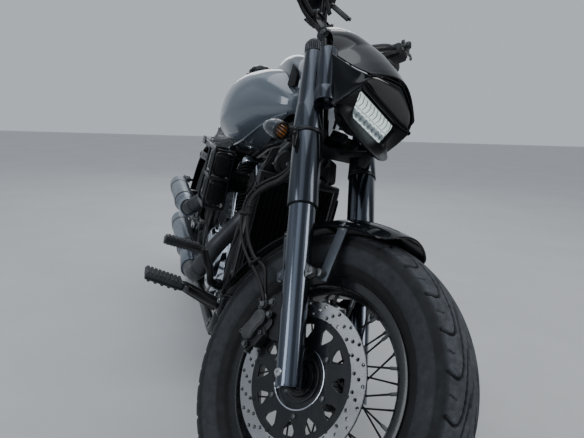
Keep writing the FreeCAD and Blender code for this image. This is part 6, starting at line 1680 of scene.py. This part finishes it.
# ------------------------------------------------------------------ exhaust
eh = Piece("exhaust_headers", "D", "frame", "header_satin", "dull_steel", "muffler_satin", crease=40)
fh = arcs([(-38, 598, 600), (-52, 560, 588), (-100, 560, 520), (-150, 590, 420), (-176, 660, 312), (-176, 800, 294), (-168, 975, 298)], 90.0, 6)
rh = arcs([(-60, 930, 590), (-120, 905, 556), (-178, 905, 500), (-204, 960, 458), (-206, 1052, 452)], 70.0, 6)
for path, r0, r1 in ((fh, 22.0, 27.0), (rh, 23.0, 26.0)):
    dense = catmull(path, 3)
    s_ = np.r_[0, np.cumsum(np.linalg.norm(np.diff(dense, axis=0), axis=1))]
    eh.add(tube(dense, r0 + (r1 - r0) * np.clip(s_ / s_[-1] * 1.4, 0, 1), 36), 0)
    d = dense[1] - dense[0]
    eh.add(turned(dense[0] + d * 0.1, d, [(0, 34), (9, 34), (12, 30)], 40, 1.5), 1)
    for a in (0, 120, 240):
        m = axis_frame(dense[0], d) @ turn((1, 0, 0), a)
        q = xf(m, [(9, 0, 30.5)])[0]
        eh.add(hexbolt(q, d, 9, 7), 1)
    e = dense[-1] - dense[-6]
    eh.add(pipe_between(dense[-6] - e * 0.1, dense[-1], r1 + 4.5, r1 - 1, 44, 1.0), 2)
    eh.add(boxr(-10, 10, -7, 7, -6, 6, 2, 2, axis_frame(dense[-3] + np.array((0, 0, -r1 - 7)), e)), 1)
    # welded joint rings where the bends meet the straights
    for i in (len(dense) // 3, 2 * len(dense) // 3):
        dd = dense[i + 1] - dense[i - 1]
        rr = r0 + (r1 - r0) * min(1, s_[i] / s_[-1] * 1.4)
        eh.add(lathe(soft_profile([(-2, rr - 1), (-2, rr + 1.2), (2, rr + 1.2), (2, rr - 1)], 0.6, 2, True), 36, True, axis_frame(dense[i], dd)), 0)
eh.done(replaces=("exhaust_headers",))

mu = Piece("mufflers", "D", "frame", "muffler_satin", "dull_steel", "frame_black", crease=34)
def muffler_shell(x, z, y0, y1, r, sub=64):
    st = [(y0, 27.5), (y0 + 14, 28.0), (y0 + 40, 36), (y0 + 66, r - 1.2), (y0 + 78, r), (y0 + 200, r)]
    ang = np.linspace(0, 2 * math.pi, sub, endpoint=False)
    rings = [[(x + rr * math.cos(a), y, z + rr * math.sin(a)) for a in ang] for y, rr in st]
    for f in (0.3, 0.6, 0.9):
        rings.append([(x + r * math.cos(a), y0 + 200 + (y1 - 90 - y0 - 200) * f, z + r * math.sin(a)) for a in ang])
    def cut_y(a): return y1 - 35 + 35 * math.sin(a)
    rings.append([(x + r * math.cos(a), cut_y(a) - 1.2, z + r * math.sin(a)) for a in ang])
    rings.append([(x + (r - 1.2) * math.cos(a), cut_y(a), z + (r - 1.2) * math.sin(a)) for a in ang])
    rings.append([(x + (r - 3.4) * math.cos(a), cut_y(a) - 0.6, z + (r - 3.4) * math.sin(a)) for a in ang])
    rings.append([(x + (r - 4) * math.cos(a), y1 - 200, z + (r - 4) * math.sin(a)) for a in ang])
    rings.append([(x + 16 * math.cos(a), y1 - 205, z + 16 * math.sin(a)) for a in ang])
    return loft_rings(rings)
for x, z, y0, y1 in ((-168, 298, 960, 1560), (-206, 452, 1040, 1580)):
    mu.add(muffler_shell(x, z, y0, y1, 38), 0)
    mu.add(cyl((x, y1 - 200, z), (x, y1 - 150, z), 15, 32, 2), 2)
    for yy in (y0 + 84, y1 - 130):
        mu.add(lathe(soft_profile([(-9, 37.4), (-9, 39.6), (9, 39.6), (9, 37.4)], 0.8, 2, True), 72, True, axis_frame((x, yy, z), (0, 1, 0))), 1)
    mu.add(boxr(x + 10, -118, y1 - 260, y1 - 222, z - 4, z + 4 + 16, 4, 2), 2)
mu.add(strap((-122, 1340, 462), (-122, 1325, 300), 30, 6, (1, 0, 0)), 2)
mu.add(strap((-122, 1340, 470), (-118, 1330, 640), 26, 6, (1, 0, 0)), 2)
mu.done(replaces=("mufflers",))

# ------------------------------------------------------------------ air cleaner in its cage
ac = Piece("air_cleaner", "D", "frame", "dark_plastic", "frame_black", "dull_steel", "gloss_black", crease=34)
ac.add(cyl((-62, 800, 600), (-146, 756, 600), 30, 48, 3), 0)
for k in range(6):
    p_ = np.array((-70, 796, 600.0)) + np.array((-76, -40, 0.0)) * (k / 6)
    ac.add(lathe([(0, 33), (3.5, 33), (3.5, 29), (0, 29)], 44, True, axis_frame(p_, (-76, -40, 0))), 0)
for z0, z1 in ((532, 606), (616, 688)):
    ac.add(boxr(-196, -150, 650, 790, z0, z1, 12, 4), 0)
    n = int((z1 - z0 - 20) / 5.2)
    for k in range(n):
        z_ = z0 + 11 + 5.2 * k
        ac.add(boxr(-199.5, -148, 647, 793, z_, z_ + 2.4, 1.0, 1), 0)
ac.add(boxr(-148, -142, 642, 798, 522, 696, 2.5, 2), 3)
# cage: hoops over the top and bottom, bars and corner brackets with their bolts
for y_ in (654, 786):
    ac.add(tube(arcs([(-146, y_, 696), (-203, y_, 692), (-205, y_, 526), (-146, y_, 522)], 14.0), 4.2, 12), 1)
for z_ in (524, 611, 694):
    ac.add(boxr(-206, -200, 642, 798, z_ - 5.5, z_ + 5.5, 2.0, 2), 1)
for y_, z_ in ((642, 611), (798, 611)):
    ac.add(boxr(-204, -146, y_ - 3, y_ + 3, z_ - 5, z_ + 5, 1.8, 2), 1)
for z_ in (524, 694):
    ac.add(boxr(-204, -146, 652, 662, z_ - 3.5, z_ + 3.5, 1.8, 2), 1)
    ac.add(boxr(-204, -146, 778, 788, z_ - 3.5, z_ + 3.5, 1.8, 2), 1)
ac.add(plate(round_outline([(640, 604), (668, 604), (668, 646), (652, 646)], 5, 3), 5, "yz", -206, 1.6), 1)
ac.add(plate(round_outline([(800, 604), (772, 604), (772, 646), (788, 646)], 5, 3), 5, "yz", -206, 1.6), 1)
for y_ in (654, 786):
    for z_ in (530, 611, 688):
        ac.add(domebolt((-206, y_, z_), (-1, 0, 0), 4.6, 3), 2)
ac.done(replaces=("air_cleaner",))

sc = Piece("side_covers", "D", "frame", "gloss_black", "dull_steel", "frame_black", crease=34)
ol = round_outline([(1030, 500), (1230, 520), (1270, 640), (1110, 676), (1020, 640)], 18, 6)
sc.mirror(plate(ol, 14, "yz", 128, 4.5, None, 4), 0)
ol2 = round_outline([(1052, 520), (1214, 537), (1244, 626), (1112, 655), (1044, 624)], 14, 5)
sc.mirror(plate(ol2, 3.4, "yz", 140.6, 1.4, None, 2), 0)
for y_, z_ in ((1060, 540), (1206, 556), (1112, 636)):
    sc.mirror(capbolt((143.6, y_, z_), (1, 0, 0), 5.5, 3), 1)
for y_, z_ in ((1080, 560), (1190, 600)):
    sc.mirror(cyl((100, y_, z_), (130, y_, z_), 9, 20, 1.0), 2)
sc.done(replaces=("side_covers",))

# ------------------------------------------------------------------ pegs, pedal, lever
fp = Piece("foot_pegs", "D", "frame", "frame_black", "rubber_grid", "dull_steel", "bright_steel", crease=34)
for s in (-1, 1):
    A = move(s * 232, 433, 343) @ turn((0, 1, 0), -s * math.degrees(math.atan2(16, 104)))
    def X(a, b): return (min(s * a, s * b), max(s * a, s * b))
    x0, x1 = X(2, 104)
    fp.add(boxr(x0, x1, -30, 30, -11, 0, 4, 3), 0, A)
    x0, x1 = X(6, 106)
    fp.add(boxr(x0, x1, -33, 33, -2, 7, 3.5, 3), 1, A)
    for i in range(9):
        for j in range(6):
            cx = s * (14 + 10.6 * i); cy = -26 + 10.4 * j
            fp.add(boxr(cx - 3.9, cx + 3.9, cy - 3.8, cy + 3.8, 5.5, 11.0, 1.1, 1), 1, A)
    for k in range(5):
        cx = s * (20 + 18 * k)
        fp.add(boxr(cx - 4, cx + 4, -26, 26, -15, -9, 1.8, 2), 0, A)
    x0, x1 = X(-12, 10)
    fp.add(boxr(x0, x1, -17, 17, -14, 6, 5, 3), 0, A)
    fp.add(cyl((s * -6, -24, -4), (s * -6, 24, -4), 8, 28, 1.5), 2, A)
    fp.add(conic((s * 232, 433, 341), (s * 130, 466, 297), 12.0, 15.5, 32, 2), 0)
    fp.add(strap((s * 226, 440, 332), (s * 128, 474, 282), 22, 9, (0, 1, 0.3), 2.5), 0)
    fp.add(boxr(min(s * 126, s * 100), max(s * 126, s * 100), 440, 524, 266, 324, 8, 3), 0)
    for y_, z_ in ((456, 282), (456, 308), (508, 282), (508, 308)):
        fp.add(hexbolt((s * 126, y_, z_), (s, 0, 0), 12, 6), 3)
fp.done(replaces=("foot_pegs",))

def lever_arm(P, s, pad_a, pad_b, r_pad, path, piv, big):
    pts = catmull([(s * x, y, z) for x, y, z in path], 8)
    P.add(tube(pts, np.interp(np.arange(len(pts)), [0, len(pts) - 1], [8.6, 10.5]), 18, flat=(0.72, 1.15)), 0)
    a, b = np.array((s * pad_a[0], *pad_a[1:])), np.array((s * pad_b[0], *pad_b[1:]))
    P.add(cyl(a, b, r_pad - 4, 28, 1.5), 0)
    d = (b - a) / np.linalg.norm(b - a); L = np.linalg.norm(b - a)
    n = int(L / 8.5)
    T = axis_frame(a, d)
    prof = [(6, r_pad - 4.5), (6, r_pad - 0.5)]
    for k in range(n - 1):
        q = 7 + k * 8.5
        prof += [(q, r_pad), (q + 5.6, r_pad), (q + 6.4, r_pad - 1.6), (q + 7.7, r_pad - 1.6)]
    prof += [(L - 3, r_pad), (L, r_pad - 2), (L, r_pad - 4.5)]
    P.add(lathe(prof, 32, True, T), 1)
    if big:
        n_ = np.cross(d, (0, 0, 1)); n_ /= np.linalg.norm(n_)
        up = np.cross(n_, d) * 1.0
        if up[2] < 0: up = -up
        m = np.eye(4); m[:3, 0], m[:3, 1], m[:3, 2], m[:3, 3] = d, np.cross(up, d), up, a
        P.add(boxr(14, L + 1, -15, 15, -3, 8, 4, 3, m), 0)
        P.add(boxr(16, L - 1, -13, 13, 7, 12.5, 3, 3, m), 1)
        for k in range(int((L - 24) / 9)):
            P.add(boxr(20 + 9 * k, 25.5 + 9 * k, -11.5, 11.5, 11, 14.5, 1.0, 1, m), 1)
    P.add(cyl((s * 124.4, *piv), (s * 143, *piv), 15, 32, 1.5), 0)
    P.add(hexbolt((s * 143, *piv), (s, 0, 0), 16, 7), 2)

bpd = Piece("brake_pedal", "D", "frame", "frame_black", "rubber_grid", "dull_steel", "hose_rubber", crease=34)
lever_arm(bpd, -1, (205, 396, 452), (310, 390, 462), 11.5, [(207, 396, 452), (194, 404, 424), (178, 420, 400), (162, 462, 358), (148, 488, 344), (136, 500, 340)], (500, 340), True)
bpd.add(tube(catmull([(-140, 512, 330), (-134, 600, 300), (-128, 700, 236), (-122, 800, 224)], 8), 4.0, 12), 2)
bpd.done(replaces=("brake_pedal",))
sl = Piece("shift_lever", "D", "frame", "frame_black", "rubber_grid", "dull_steel", crease=34)
lever_arm(sl, 1, (205, 400, 440), (290, 396, 446), 11.5, [(207, 400, 440), (196, 408, 418), (180, 424, 396), (162, 464, 356), (148, 488, 344), (136, 500, 340)], (500, 340), False)
sl.add(tube([(140, 508, 330), (138, 560, 332), (138, 640, 334), (136, 700, 336)], 4.0, 12), 2)
sl.add(cyl((139, 500, 330), (139, 520, 330), 7, 20, 1.5), 2)
sl.done(replaces=("shift_lever",))

# ------------------------------------------------------------------ swingarm, drive, shock, rear caliper
sw = Piece("swingarm", "D", "frame", "frame_black", "dull_steel", crease=40)
sw.mirror(tube(catmull([(112, 1125, 372), (113, 1210, 362), (113, 1300, 352), (113, 1480, 339), (113, 1640, 327.5)], 8), 18, 26, flat=(0.82, 1.12)), 0)
sw.mirror(cyl((100, 1655, 326.5), (127, 1655, 326.5), 31, 48, 3), 0)
sw.mirror(boxr(103, 124, 1600, 1690, 306, 347, 7, 3), 0)
sw.add(cyl((-96, 1190, 364), (96, 1190, 364), 21, 36, 2), 0)
sw.add(cyl((-134, 1125, 372), (134, 1125, 372), 19.5, 40, 2), 0)
sw.mirror(plate(round_outline([(1170, 345), (1300, 334), (1300, 366), (1190, 392)], 12, 4), 8, "yz", 84, 2.4), 0)
sw.mirror(hexbolt((134, 1125, 372), (1, 0, 0), 24, 4, False), 1)
sw.mirror(cyl((113.5, 1690, 326.5), (113.5, 1704, 326.5), 6, 20, 1), 1)
sw.mirror(hexbolt((113.5, 1702, 326.5), (0, 1, 0), 13, 6), 1)
sw.done(replaces=("swingarm",))

ra = Piece("rear_axle", "D", "frame", "bright_steel", "dull_steel", crease=34)
ra.add(cyl((-139, 1655, 326.5), (139, 1655, 326.5), 9.95, 36, 0.6), 0)
ra.add(hexbolt((-131, 1655, 326.5), (-1, 0, 0), 24, 9), 0)
ra.add(hexbolt((131, 1655, 326.5), (1, 0, 0), 24, 14), 0)
ra.done(replaces=("rear_axle",))

fd = Piece("final_drive", "D", "frame", "engine_dark", "dull_steel", "frame_black", crease=34)
T = axis_frame((87.5, 1655, 326.5), (1, 0, 0))
fd.add(lathe(soft_profile([(0, 12), (0, 80), (10, 80), (15, 74), (26, 70), (30, 52), (34.5, 40), (34.5, 12)], 3, 3, True), 72, True, T), 0)
for k in range(12):
    a = math.radians(30 * k)
    fd.add(capbolt((97, 1655 + 75.5 * math.cos(a), 326.5 + 75.5 * math.sin(a)), (1, 0, 0), 4.6, 5), 1)
    fd.add(boxr(10, 27, -2, 2, 42, 70, 1.2, 1, T @ turn((1, 0, 0), 30 * k + 15)), 0)
fd.add(hexbolt((104, 1655, 262), (1, 0, 0), 14, 6), 1)
fd.done(replaces=("final_drive",))

sh = Piece("rear_shock", "D", "frame", "frame_black", "dull_steel", "bright_steel", crease=40)
p0, p1, p2 = np.array((0, 1196, 392.0)), np.array((0, 1150, 600.0)), np.array((0, 1140, 640.0))
d = (p1 - p0) / np.linalg.norm(p1 - p0)
sh.add(cyl(p0 + d * 6, p0 + d * 110, 15, 32, 2), 2)
sh.add(cyl(p0 + d * 92, p1, 22, 40, 2), 0)
sh.add(cyl(p1 - d * 4, p2, 14, 32, 2), 0)
sh.add(cyl(p0 - d * 2, p0 + d * 14, 29, 48, 2), 0)
sh.add(cyl(p1 - d * 12, p1, 30, 48, 2), 0)
n = 14 * 7
T = axis_frame(p0 + d * 12, d)
L = float(np.linalg.norm(p1 - p0)) - 24
sh.add(tube(xf(T, [(L * k / n, 25.5 * math.cos(2 * math.pi * 7 * k / n), 25.5 * math.sin(2 * math.pi * 7 * k / n)) for k in range(n + 1)]), 4.6, 10), 1)
sh.add(cyl(p2 - (18, 0, 0), p2 + (18, 0, 0), 14, 32, 1.5), 1)
sh.done(replaces=("rear_shock",))

rc = Piece("rear_caliper", "D", "frame", "caliper_grey", "dull_steel", "pad_brown", "hose_rubber", "frame_black", crease=34)
rc.add(boxr(-106, -92, 1522, 1588, 376, 434, 8, 3), 0)
rc.add(boxr(-79, -66, 1522, 1588, 376, 434, 6, 3), 0)
rc.add(boxr(-94, -76, 1524, 1586, 429, 436, 3, 2), 0)
for y_ in (1538, 1572):
    rc.add(cyl((-104, y_, 404), (-111, y_, 404), 15, 36, 2), 0)
for y_ in (1530, 1580):
    rc.add(capbolt((-106, y_, 428), (-1, 0, 0), 5, 5), 1)
rc.add(boxr(-92.4, -90.9, 1530, 1580, 384, 426, 0.6), 2)
rc.add(strap((-99, 1585, 400), (-99, 1640, 352), 26, 8, (1, 0, 0)), 4)
rc.add(strap((-99, 1530, 392), (-112, 1500, 352), 22, 7, (1, 0, 0)), 4)
rc.add(tube(catmull([(-100, 1524, 420), (-104, 1490, 400), (-126, 1430, 360), (-134, 1320, 360), (-134, 1180, 384)], 8), 4, 12), 3)
rc.done(replaces=("rear_caliper",))

# ------------------------------------------------------------------ tail
rf = Piece("rear_fender", "D", "frame", "gloss_black", "frame_black", "dull_steel", crease=40)
G = fender_grid(108, 322, 372, -52, 92, 96, 31, 34.0, 1655.0, 326.5)
rf.add(shell(G, 4.0), 0)
loop = edge_loop(G)
cen = np.array([(p[0] * 0.985, 1655 + (p[1] - 1655) * 0.994, 326.5 + (p[2] - 326.5) * 0.994) for p in loop])
rf.add(tube(cen, 3.2, 8, closed=True), 0)
# stays from the rails down each side
rf.mirror(strap((114, 1660, 668), (106, 1700, 636), 34, 6, (1, 0, 0), 2), 1)
rf.mirror(plate(round_outline([(1470, 618), (1840, 610), (1860, 586), (1840, 574), (1470, 588)], 10, 4), 6, "yz", 108, 2.0), 1)
for y_ in (1500, 1600, 1700, 1820):
    rf.mirror(domebolt((114, y_, 600 if y_ < 1750 else 594), (1, 0, 0), 8, 4), 2)
rf.done(replaces=("rear_fender",))

def on_fender(a, r):
    return (1655 + r * sind(a), 326.5 + r * cosd(a))
y_, z_ = on_fender(56, 374)
TL = move(0, y_ - 2, z_) @ turn((1, 0, 0), -8)
tl = Piece("tail_light", "D", "frame", "dark_plastic", "red_lens", "dull_steel", crease=34)
tl.add(boxr(-42, 42, -6, 24, -24, 24, 10, 4), 0, TL)
tl.add(boxr(-38, 38, 20, 33, -20, 20, 8, 4), 1, TL)
for k in range(7):
    tl.add(boxr(-36 + 11 * k, -33.6 + 11 * k, 32, 34, -17, 17, 0.7, 1), 1, TL)
tl.add(boxr(-43, 43, 20.5, 23.5, -25, 25, 1.2, 2), 2, TL)
tl.done(replaces=("tail_light",))

pb = Piece("plate_bracket", "D", "frame", "frame_black", "dull_steel", "dark_plastic", crease=34)
pb.add(holed(rounded_rect(90, 350, 480, 10, 5), [circle2(x_, 460, 3.25, 16) for x_ in (-62.5, 62.5)], 4, "xz", 2062), 0)
pb.add(boxr(-90, 90, 2058, 2063, 350, 356, 2, 2), 0)
pb.add(boxr(-18, 18, 1996, 2063, 400, 408, 3, 2), 0)
pb.mirror(strap((14, 2004, 404), (14, 2060, 452), 10, 5, (1, 0, 0), 1.5), 0)
pb.add(boxr(-24, 24, 2046, 2063, 470, 492, 6, 3), 2)
for x_ in (-10, 10):
    pb.add(hexbolt((x_, 2014, 408), (0, 0, 1), 10, 5), 1)
pb.done(replaces=("plate_bracket",))

ri = Piece("rear_indicators", "D", "frame", "pod_grey", "amber_lens", "dark_plastic", "frame_black", crease=34)
for s in (-1, 1):
    indicator_pod(ri, np.array((s * 132.0, 2036, 430)), (0, -1, 0), 23.5, 16, 40, (0, 0, 1), (0, 1, 2))
    ri.add(cyl((s * 86, 2054.5, 430), (s * 124, 2040, 430), 7, 24, 1), 3)
    ri.add(turned((s * 84, 2056, 430), (s * 0.93, -0.36, 0), [(0, 10), (8, 9)], 28, 1.0), 3)
ri.done(replaces=("rear_indicators",))

# ------------------------------------------------------------------ side stand and its bracket
SP, SA = np.array((146.0, 690, 205)), np.array((0.569399, -0.130371, 0.811658)); SA /= np.linalg.norm(SA)
SFT = np.array((308.7952, 600.0501, 76.3469))
NUP = REST[:3, :3].T @ np.array((0, 0, 1.0))
ss = Piece("side_stand", "D", "side_stand", "frame_black", "dull_steel", "hose_rubber", crease=34)
ld = (SFT - SP) / np.linalg.norm(SFT - SP)
ss.add(tube(catmull([SP + ld * 8, SP + ld * 60, SP + ld * 130, SFT - ld * 4 + NUP * 2], 8), 11, 24, flat=(1.0, 0.86)), 0)
ss.add(pipe_between(SP - SA * 8, SP + SA * 8, 20, 8.1, 44, 1.5), 0)
ss.add(turned(SFT - NUP * 4.9, NUP, [(0, 27), (3, 28), (8, 28), (10, 24), (13, 14)], 44, 1.5), 0)
ss.add(turned(SFT - NUP * 5.0, NUP, [(0, 24), (2, 24)], 40, 0.4), 2)
# tang for the rider's heel and the return spring, hooked on the leg alone
q = SP + ld * 120
ss.add(tube(catmull([q, q + np.array((14, -24, 8)), q + np.array((22, -40, 6))], 6), 5.5, 14), 0)
n = 20 * 12
sdn = np.cross(ld, SA); sdn /= np.linalg.norm(sdn)
T = axis_frame(SP + ld * 26 + sdn * 17, ld)
ss.add(tube(xf(T, [(70.0 * k / n, 5.0 * math.cos(2 * math.pi * 20 * k / n), 5.0 * math.sin(2 * math.pi * 20 * k / n)) for k in range(n + 1)]), 1.3, 6), 1)
for t_ in (24, 98):
    ss.add(cyl(SP + ld * t_, SP + ld * t_ + sdn * 20, 3, 16, 0.6), 1)
ss.done(replaces=("side_stand",))

sb = Piece("stand_bracket", "D", "frame", "frame_black", "dull_steel", crease=34)
IN = np.array((-1.0, 0, 0)); IN -= SA * (IN @ SA); IN /= np.linalg.norm(IN)
ends = []
for k in (-1, 1):
    c = SP + SA * 15.6 * k
    sb.add(cyl(c - SA * 3.8, c + SA * 3.8, 15, 36, 1.0), 0)
    e = c + IN * 38
    m = np.eye(4); m[:3, 0], m[:3, 1], m[:3, 2], m[:3, 3] = IN, np.cross(SA, IN), SA, c
    sb.add(boxr(0, 40, -13, 13, -3.6, 3.6, 1.5, 2, m), 0)
    ends.append(e)
sb.add(cyl(SP - SA * 19.5, SP + SA * 19.5, 7.95, 28, 0.8), 1)
sb.add(hexbolt(SP + SA * 19.4, SA, 15, 5), 1)
m = np.eye(4); m[:3, 0], m[:3, 1], m[:3, 2], m[:3, 3] = IN, np.cross(SA, IN), SA, SP
sb.add(boxr(33, 42, -14, 14, -19.4, 19.4, 2, 2, m), 0)
mid_ = (ends[0] + ends[1]) / 2
sb.add(conic(mid_, (107, 690, 188), 10, 12, 28, 1.0), 0)
sb.done(replaces=("stand_bracket",))
# ================================================================== seats
M["seat_leather"] = surface("seat_leather", (0.018, 0.019, 0.022), (0.030, 0.032, 0.036), (0.42, 0.56), spots=18, grain_bump=0.35)
M["seam_thread"] = surface("seam_thread", (0.045, 0.047, 0.052), (0.070, 0.073, 0.080), (0.60, 0.75), spots=60, grain_bump=0.3)
def seat_rings(rows, ys, p=0.62, n=44, dish=10.0):
    S = through(rows, ys)
    rings = []
    for i, (y, (half, z0, z1, c)) in enumerate(zip(ys, S)):
        k = min(i, len(ys) - 1 - i)
        e = {0: 12.0, 1: 6.0, 2: 2.5}.get(k, 0.0)
        zc, hz = (z0 + z1) / 2, (z1 - z0) / 2 - e
        ring = []
        for a in np.linspace(0, 2 * math.pi, n, endpoint=False):
            ca, sa = math.cos(a), math.sin(a)
            x = (half - e) * math.copysign(abs(ca) ** p, ca)
            z = zc + hz * math.copysign(abs(sa) ** p, sa)
            if sa > 0: z -= dish * math.exp(-(x / (0.42 * half)) ** 2) * 0.4
            ring.append((x, y, z))
        rings.append(ring)
    return rings
def soft_seat(name, rows, ys, node, seams):
    """Cushion: a slightly smaller shape, remeshed and blown up as cloth, then smoothed once."""
    small = [(y, h - 3, z0 + 2, z1 - 4, c) for y, h, z0, z1, c in rows]
    V, F = loft_rings(seat_rings(small, ys))
    me = bpy.data.meshes.new(name)
    me.from_pydata((xf(REST, V) * 0.001).tolist(), [], F)
    bm = bmesh.new(); bm.from_mesh(me); bmesh.ops.recalc_face_normals(bm, faces=bm.faces); bm.to_mesh(me); bm.free()
    o = bpy.data.objects.new(name, me)
    scene.collection.objects.link(o)
    bpy.context.view_layer.objects.active = o
    o.select_set(True)
    rm = o.modifiers.new("remesh", "REMESH"); rm.mode = "VOXEL"; rm.voxel_size = 0.006
    bpy.ops.object.modifier_apply(modifier="remesh")
    rest = np.array([v.co[:] for v in o.data.vertices])
    cl = o.modifiers.new("cloth", "CLOTH")
    st = cl.settings
    st.quality = 5; st.mass = 0.3; st.use_pressure = True; st.uniform_pressure_force = 4.0
    st.tension_stiffness = 30; st.compression_stiffness = 30; st.bending_stiffness = 4
    st.effector_weights.gravity = 0.0
    cl.point_cache.frame_start = 1; cl.point_cache.frame_end = 20
    for f in range(1, 21):
        scene.frame_set(f)
    dg = bpy.context.evaluated_depsgraph_get()
    ev = o.evaluated_get(dg)
    out = np.array([v.co[:] for v in ev.data.vertices])
    o.modifiers.remove(cl)
    scene.frame_set(1)
    mv = out - rest
    ln = np.linalg.norm(mv, axis=1)
    mv *= np.minimum(1.0, 0.010 / np.maximum(ln, 1e-9))[:, None]
    o.data.vertices.foreach_set("co", (rest + mv).ravel())
    sm = o.modifiers.new("smooth", "SMOOTH"); sm.factor = 0.5; sm.iterations = 6
    bpy.ops.object.modifier_apply(modifier="smooth")
    # pressed seams: narrow valleys along the given lines, on the upper faces only
    inv = np.linalg.inv(REST)
    co = np.array([v.co[:] for v in o.data.vertices]) * 1000
    P = xf(inv, co)
    for kind, val, depth, wide in seams:
        if kind == "y":
            dist = np.abs(P[:, 1] - val)
        else:
            dist = np.abs(np.abs(P[:, 0]) - val)
        P[:, 2] -= depth * np.exp(-(dist / wide) ** 2) * (P[:, 2] > np.median(P[:, 2]) - 6)
    o.data.vertices.foreach_set("co", (xf(REST, P) * 0.001).ravel())
    o.data.materials.clear(); o.data.materials.append(M["seat_leather"])
    at = o.data.attributes.new("loc", "FLOAT_VECTOR", "POINT")
    at.data.foreach_set("vector", P.astype(np.float32).ravel())
    o.data.shade_smooth()
    o.select_set(False)
    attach(o, "frame"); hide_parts(node)
    return o, P
RS = [(1088, 76, 726, 796, 26), (1180, 100, 690, 748, 30), (1300, 126, 672, 716, 26), (1420, 130, 678, 730, 26), (1490, 98, 700, 798, 30)]
PS = [(1492, 88, 714, 794, 28), (1600, 88, 728, 786, 28), (1740, 62, 712, 764, 24)]
ysr = np.r_[1089, 1092, 1098, np.linspace(1108, 1472, 30), 1480, 1486, 1489]
ysp = np.r_[1494, 1498, 1504, np.linspace(1514, 1722, 20), 1730, 1736, 1739]
rider, RP = soft_seat("rider_seat", RS, ysr, "rider_seat", [("y", 1190, 5, 5), ("y", 1300, 5, 5), ("y", 1400, 5, 5), ("x", 74, 4, 5)])
pill, PP = soft_seat("pillion_seat", PS, ysp, "pillion_seat", [("y", 1580, 4, 5), ("y", 1660, 4, 5)])
# piping round the lower edge of each cushion, and stitches beside the pressed seams
tr = Piece("seat_piping", "D", "frame", "seam_thread", crease=60)
def piping(rows, ys, dz):
    S = through(rows, ys)
    L = [(h - 1.5, y, z0 + dz) for y, (h, z0, z1, c) in zip(ys[3:-3], S[3:-3])]
    return catmull([(x, y, z) for x, y, z in L[::3]] + [(-x, y, z) for x, y, z in reversed(L[::3])], 4, True)
def top_at(P, x, y):
    d = (P[:, 0] - x) ** 2 + (P[:, 1] - y) ** 2
    near = np.where(d < 64)[0]
    if not len(near): return None
    return float(P[near, 2].max())
tr.add(tube(piping(RS, ysr, 12), 2.6, 8, closed=True), 0)
tr.add(tube(piping(PS, ysp, 12), 2.6, 8, closed=True), 0)
for P, lines, w in ((RP, (1190, 1300, 1400), 66), (PP, (1580, 1660), 58)):
    for yv in lines:
        for off in (-7, 7):
            for k in range(-int(w / 7), int(w / 7) + 1):
                x_ = k * 7.0
                z_ = top_at(P, x_, yv + off)
                if z_ is not None:
                    tr.add(tube([(x_ - 2.2, yv + off, z_ + 0.1), (x_, yv + off, z_ + 0.7), (x_ + 2.2, yv + off, z_ + 0.1)], 0.7, 6), 0)
tr.done()

NODE_MAT = {"fork_sliders": "fork_gunmetal", "fork_covers": "fork_gunmetal", "fork_yokes": "frame_black", "front_axle": "bright_steel",
            "rear_axle": "bright_steel", "front_fender": "gloss_black", "fender_struts": "fork_dark", "brake_caliper": "caliper_grey",
            "brake_hose": "hose_rubber", "headlight_mask": "gloss_black", "headlight_housing": "dark_plastic", "headlight_lens": "black_glass",
            "handlebar": "frame_black", "bar_risers": "frame_black", "grips": "hose_rubber", "hand_controls": "dark_plastic",
            "instrument": "dark_plastic", "front_indicators": "fork_dark", "main_frame": "frame_black", "cradle_tubes": "frame_black",
            "engine_block": "engine_dark", "engine_cylinders": "engine_dark", "engine_covers": "polished_metal", "radiator": "radiator_black",
            "fuel_tank": "tank_grey", "tank_console": "tank_grey", "fuel_cap": "gloss_black", "rider_seat": "dark_plastic", "pillion_seat": "dark_plastic",
            "rear_fender": "gloss_black", "swingarm": "frame_black", "final_drive": "engine_dark", "rear_shock": "frame_black",
            "rear_caliper": "caliper_grey", "exhaust_headers": "header_satin", "mufflers": "muffler_satin", "air_cleaner": "dark_plastic",
            "side_covers": "gloss_black", "tail_light": "dark_plastic", "plate_bracket": "frame_black", "rear_indicators": "fork_dark",
            "foot_pegs": "frame_black", "brake_pedal": "frame_black", "shift_lever": "frame_black", "stand_bracket": "frame_black", "side_stand": "frame_black"}

# ------------------------------------------------------------------ floor
m, nt, b = new_mat("floor_pale")
v = coords(nt)
nt.links.new(ramp(nt, noise(nt, v, 2.0, 6.0, 0.6), [(0.3, (0.56, 0.56, 0.56)), (0.7, (0.61, 0.61, 0.61))]), b.inputs["Base Color"])
nt.links.new(rng(nt, noise(nt, v, 30.0, 4.0), 0.62, 0.75), b.inputs["Roughness"])
bump(nt, b, noise(nt, v, 240.0, 4.0), 0.08, 0.0005)
me = bpy.data.meshes.new("studio_floor")
R_ = 14.0
me.from_pydata([(-R_, -R_, 0), (R_, -R_, 0), (R_, R_, 0), (-R_, R_, 0)], [], [(0, 1, 2, 3)])
me.materials.append(m)
floor = bpy.data.objects.new("studio_floor", me)
scene.collection.objects.link(floor)

# ------------------------------------------------------------------ CAD nodes that stay get a finish
for n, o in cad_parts.items():
    rec = [s for s in (o.material_slots or [])]
    key = NODE_MAT.get(n)
    if key:
        for s in rec: s.material = M[key]
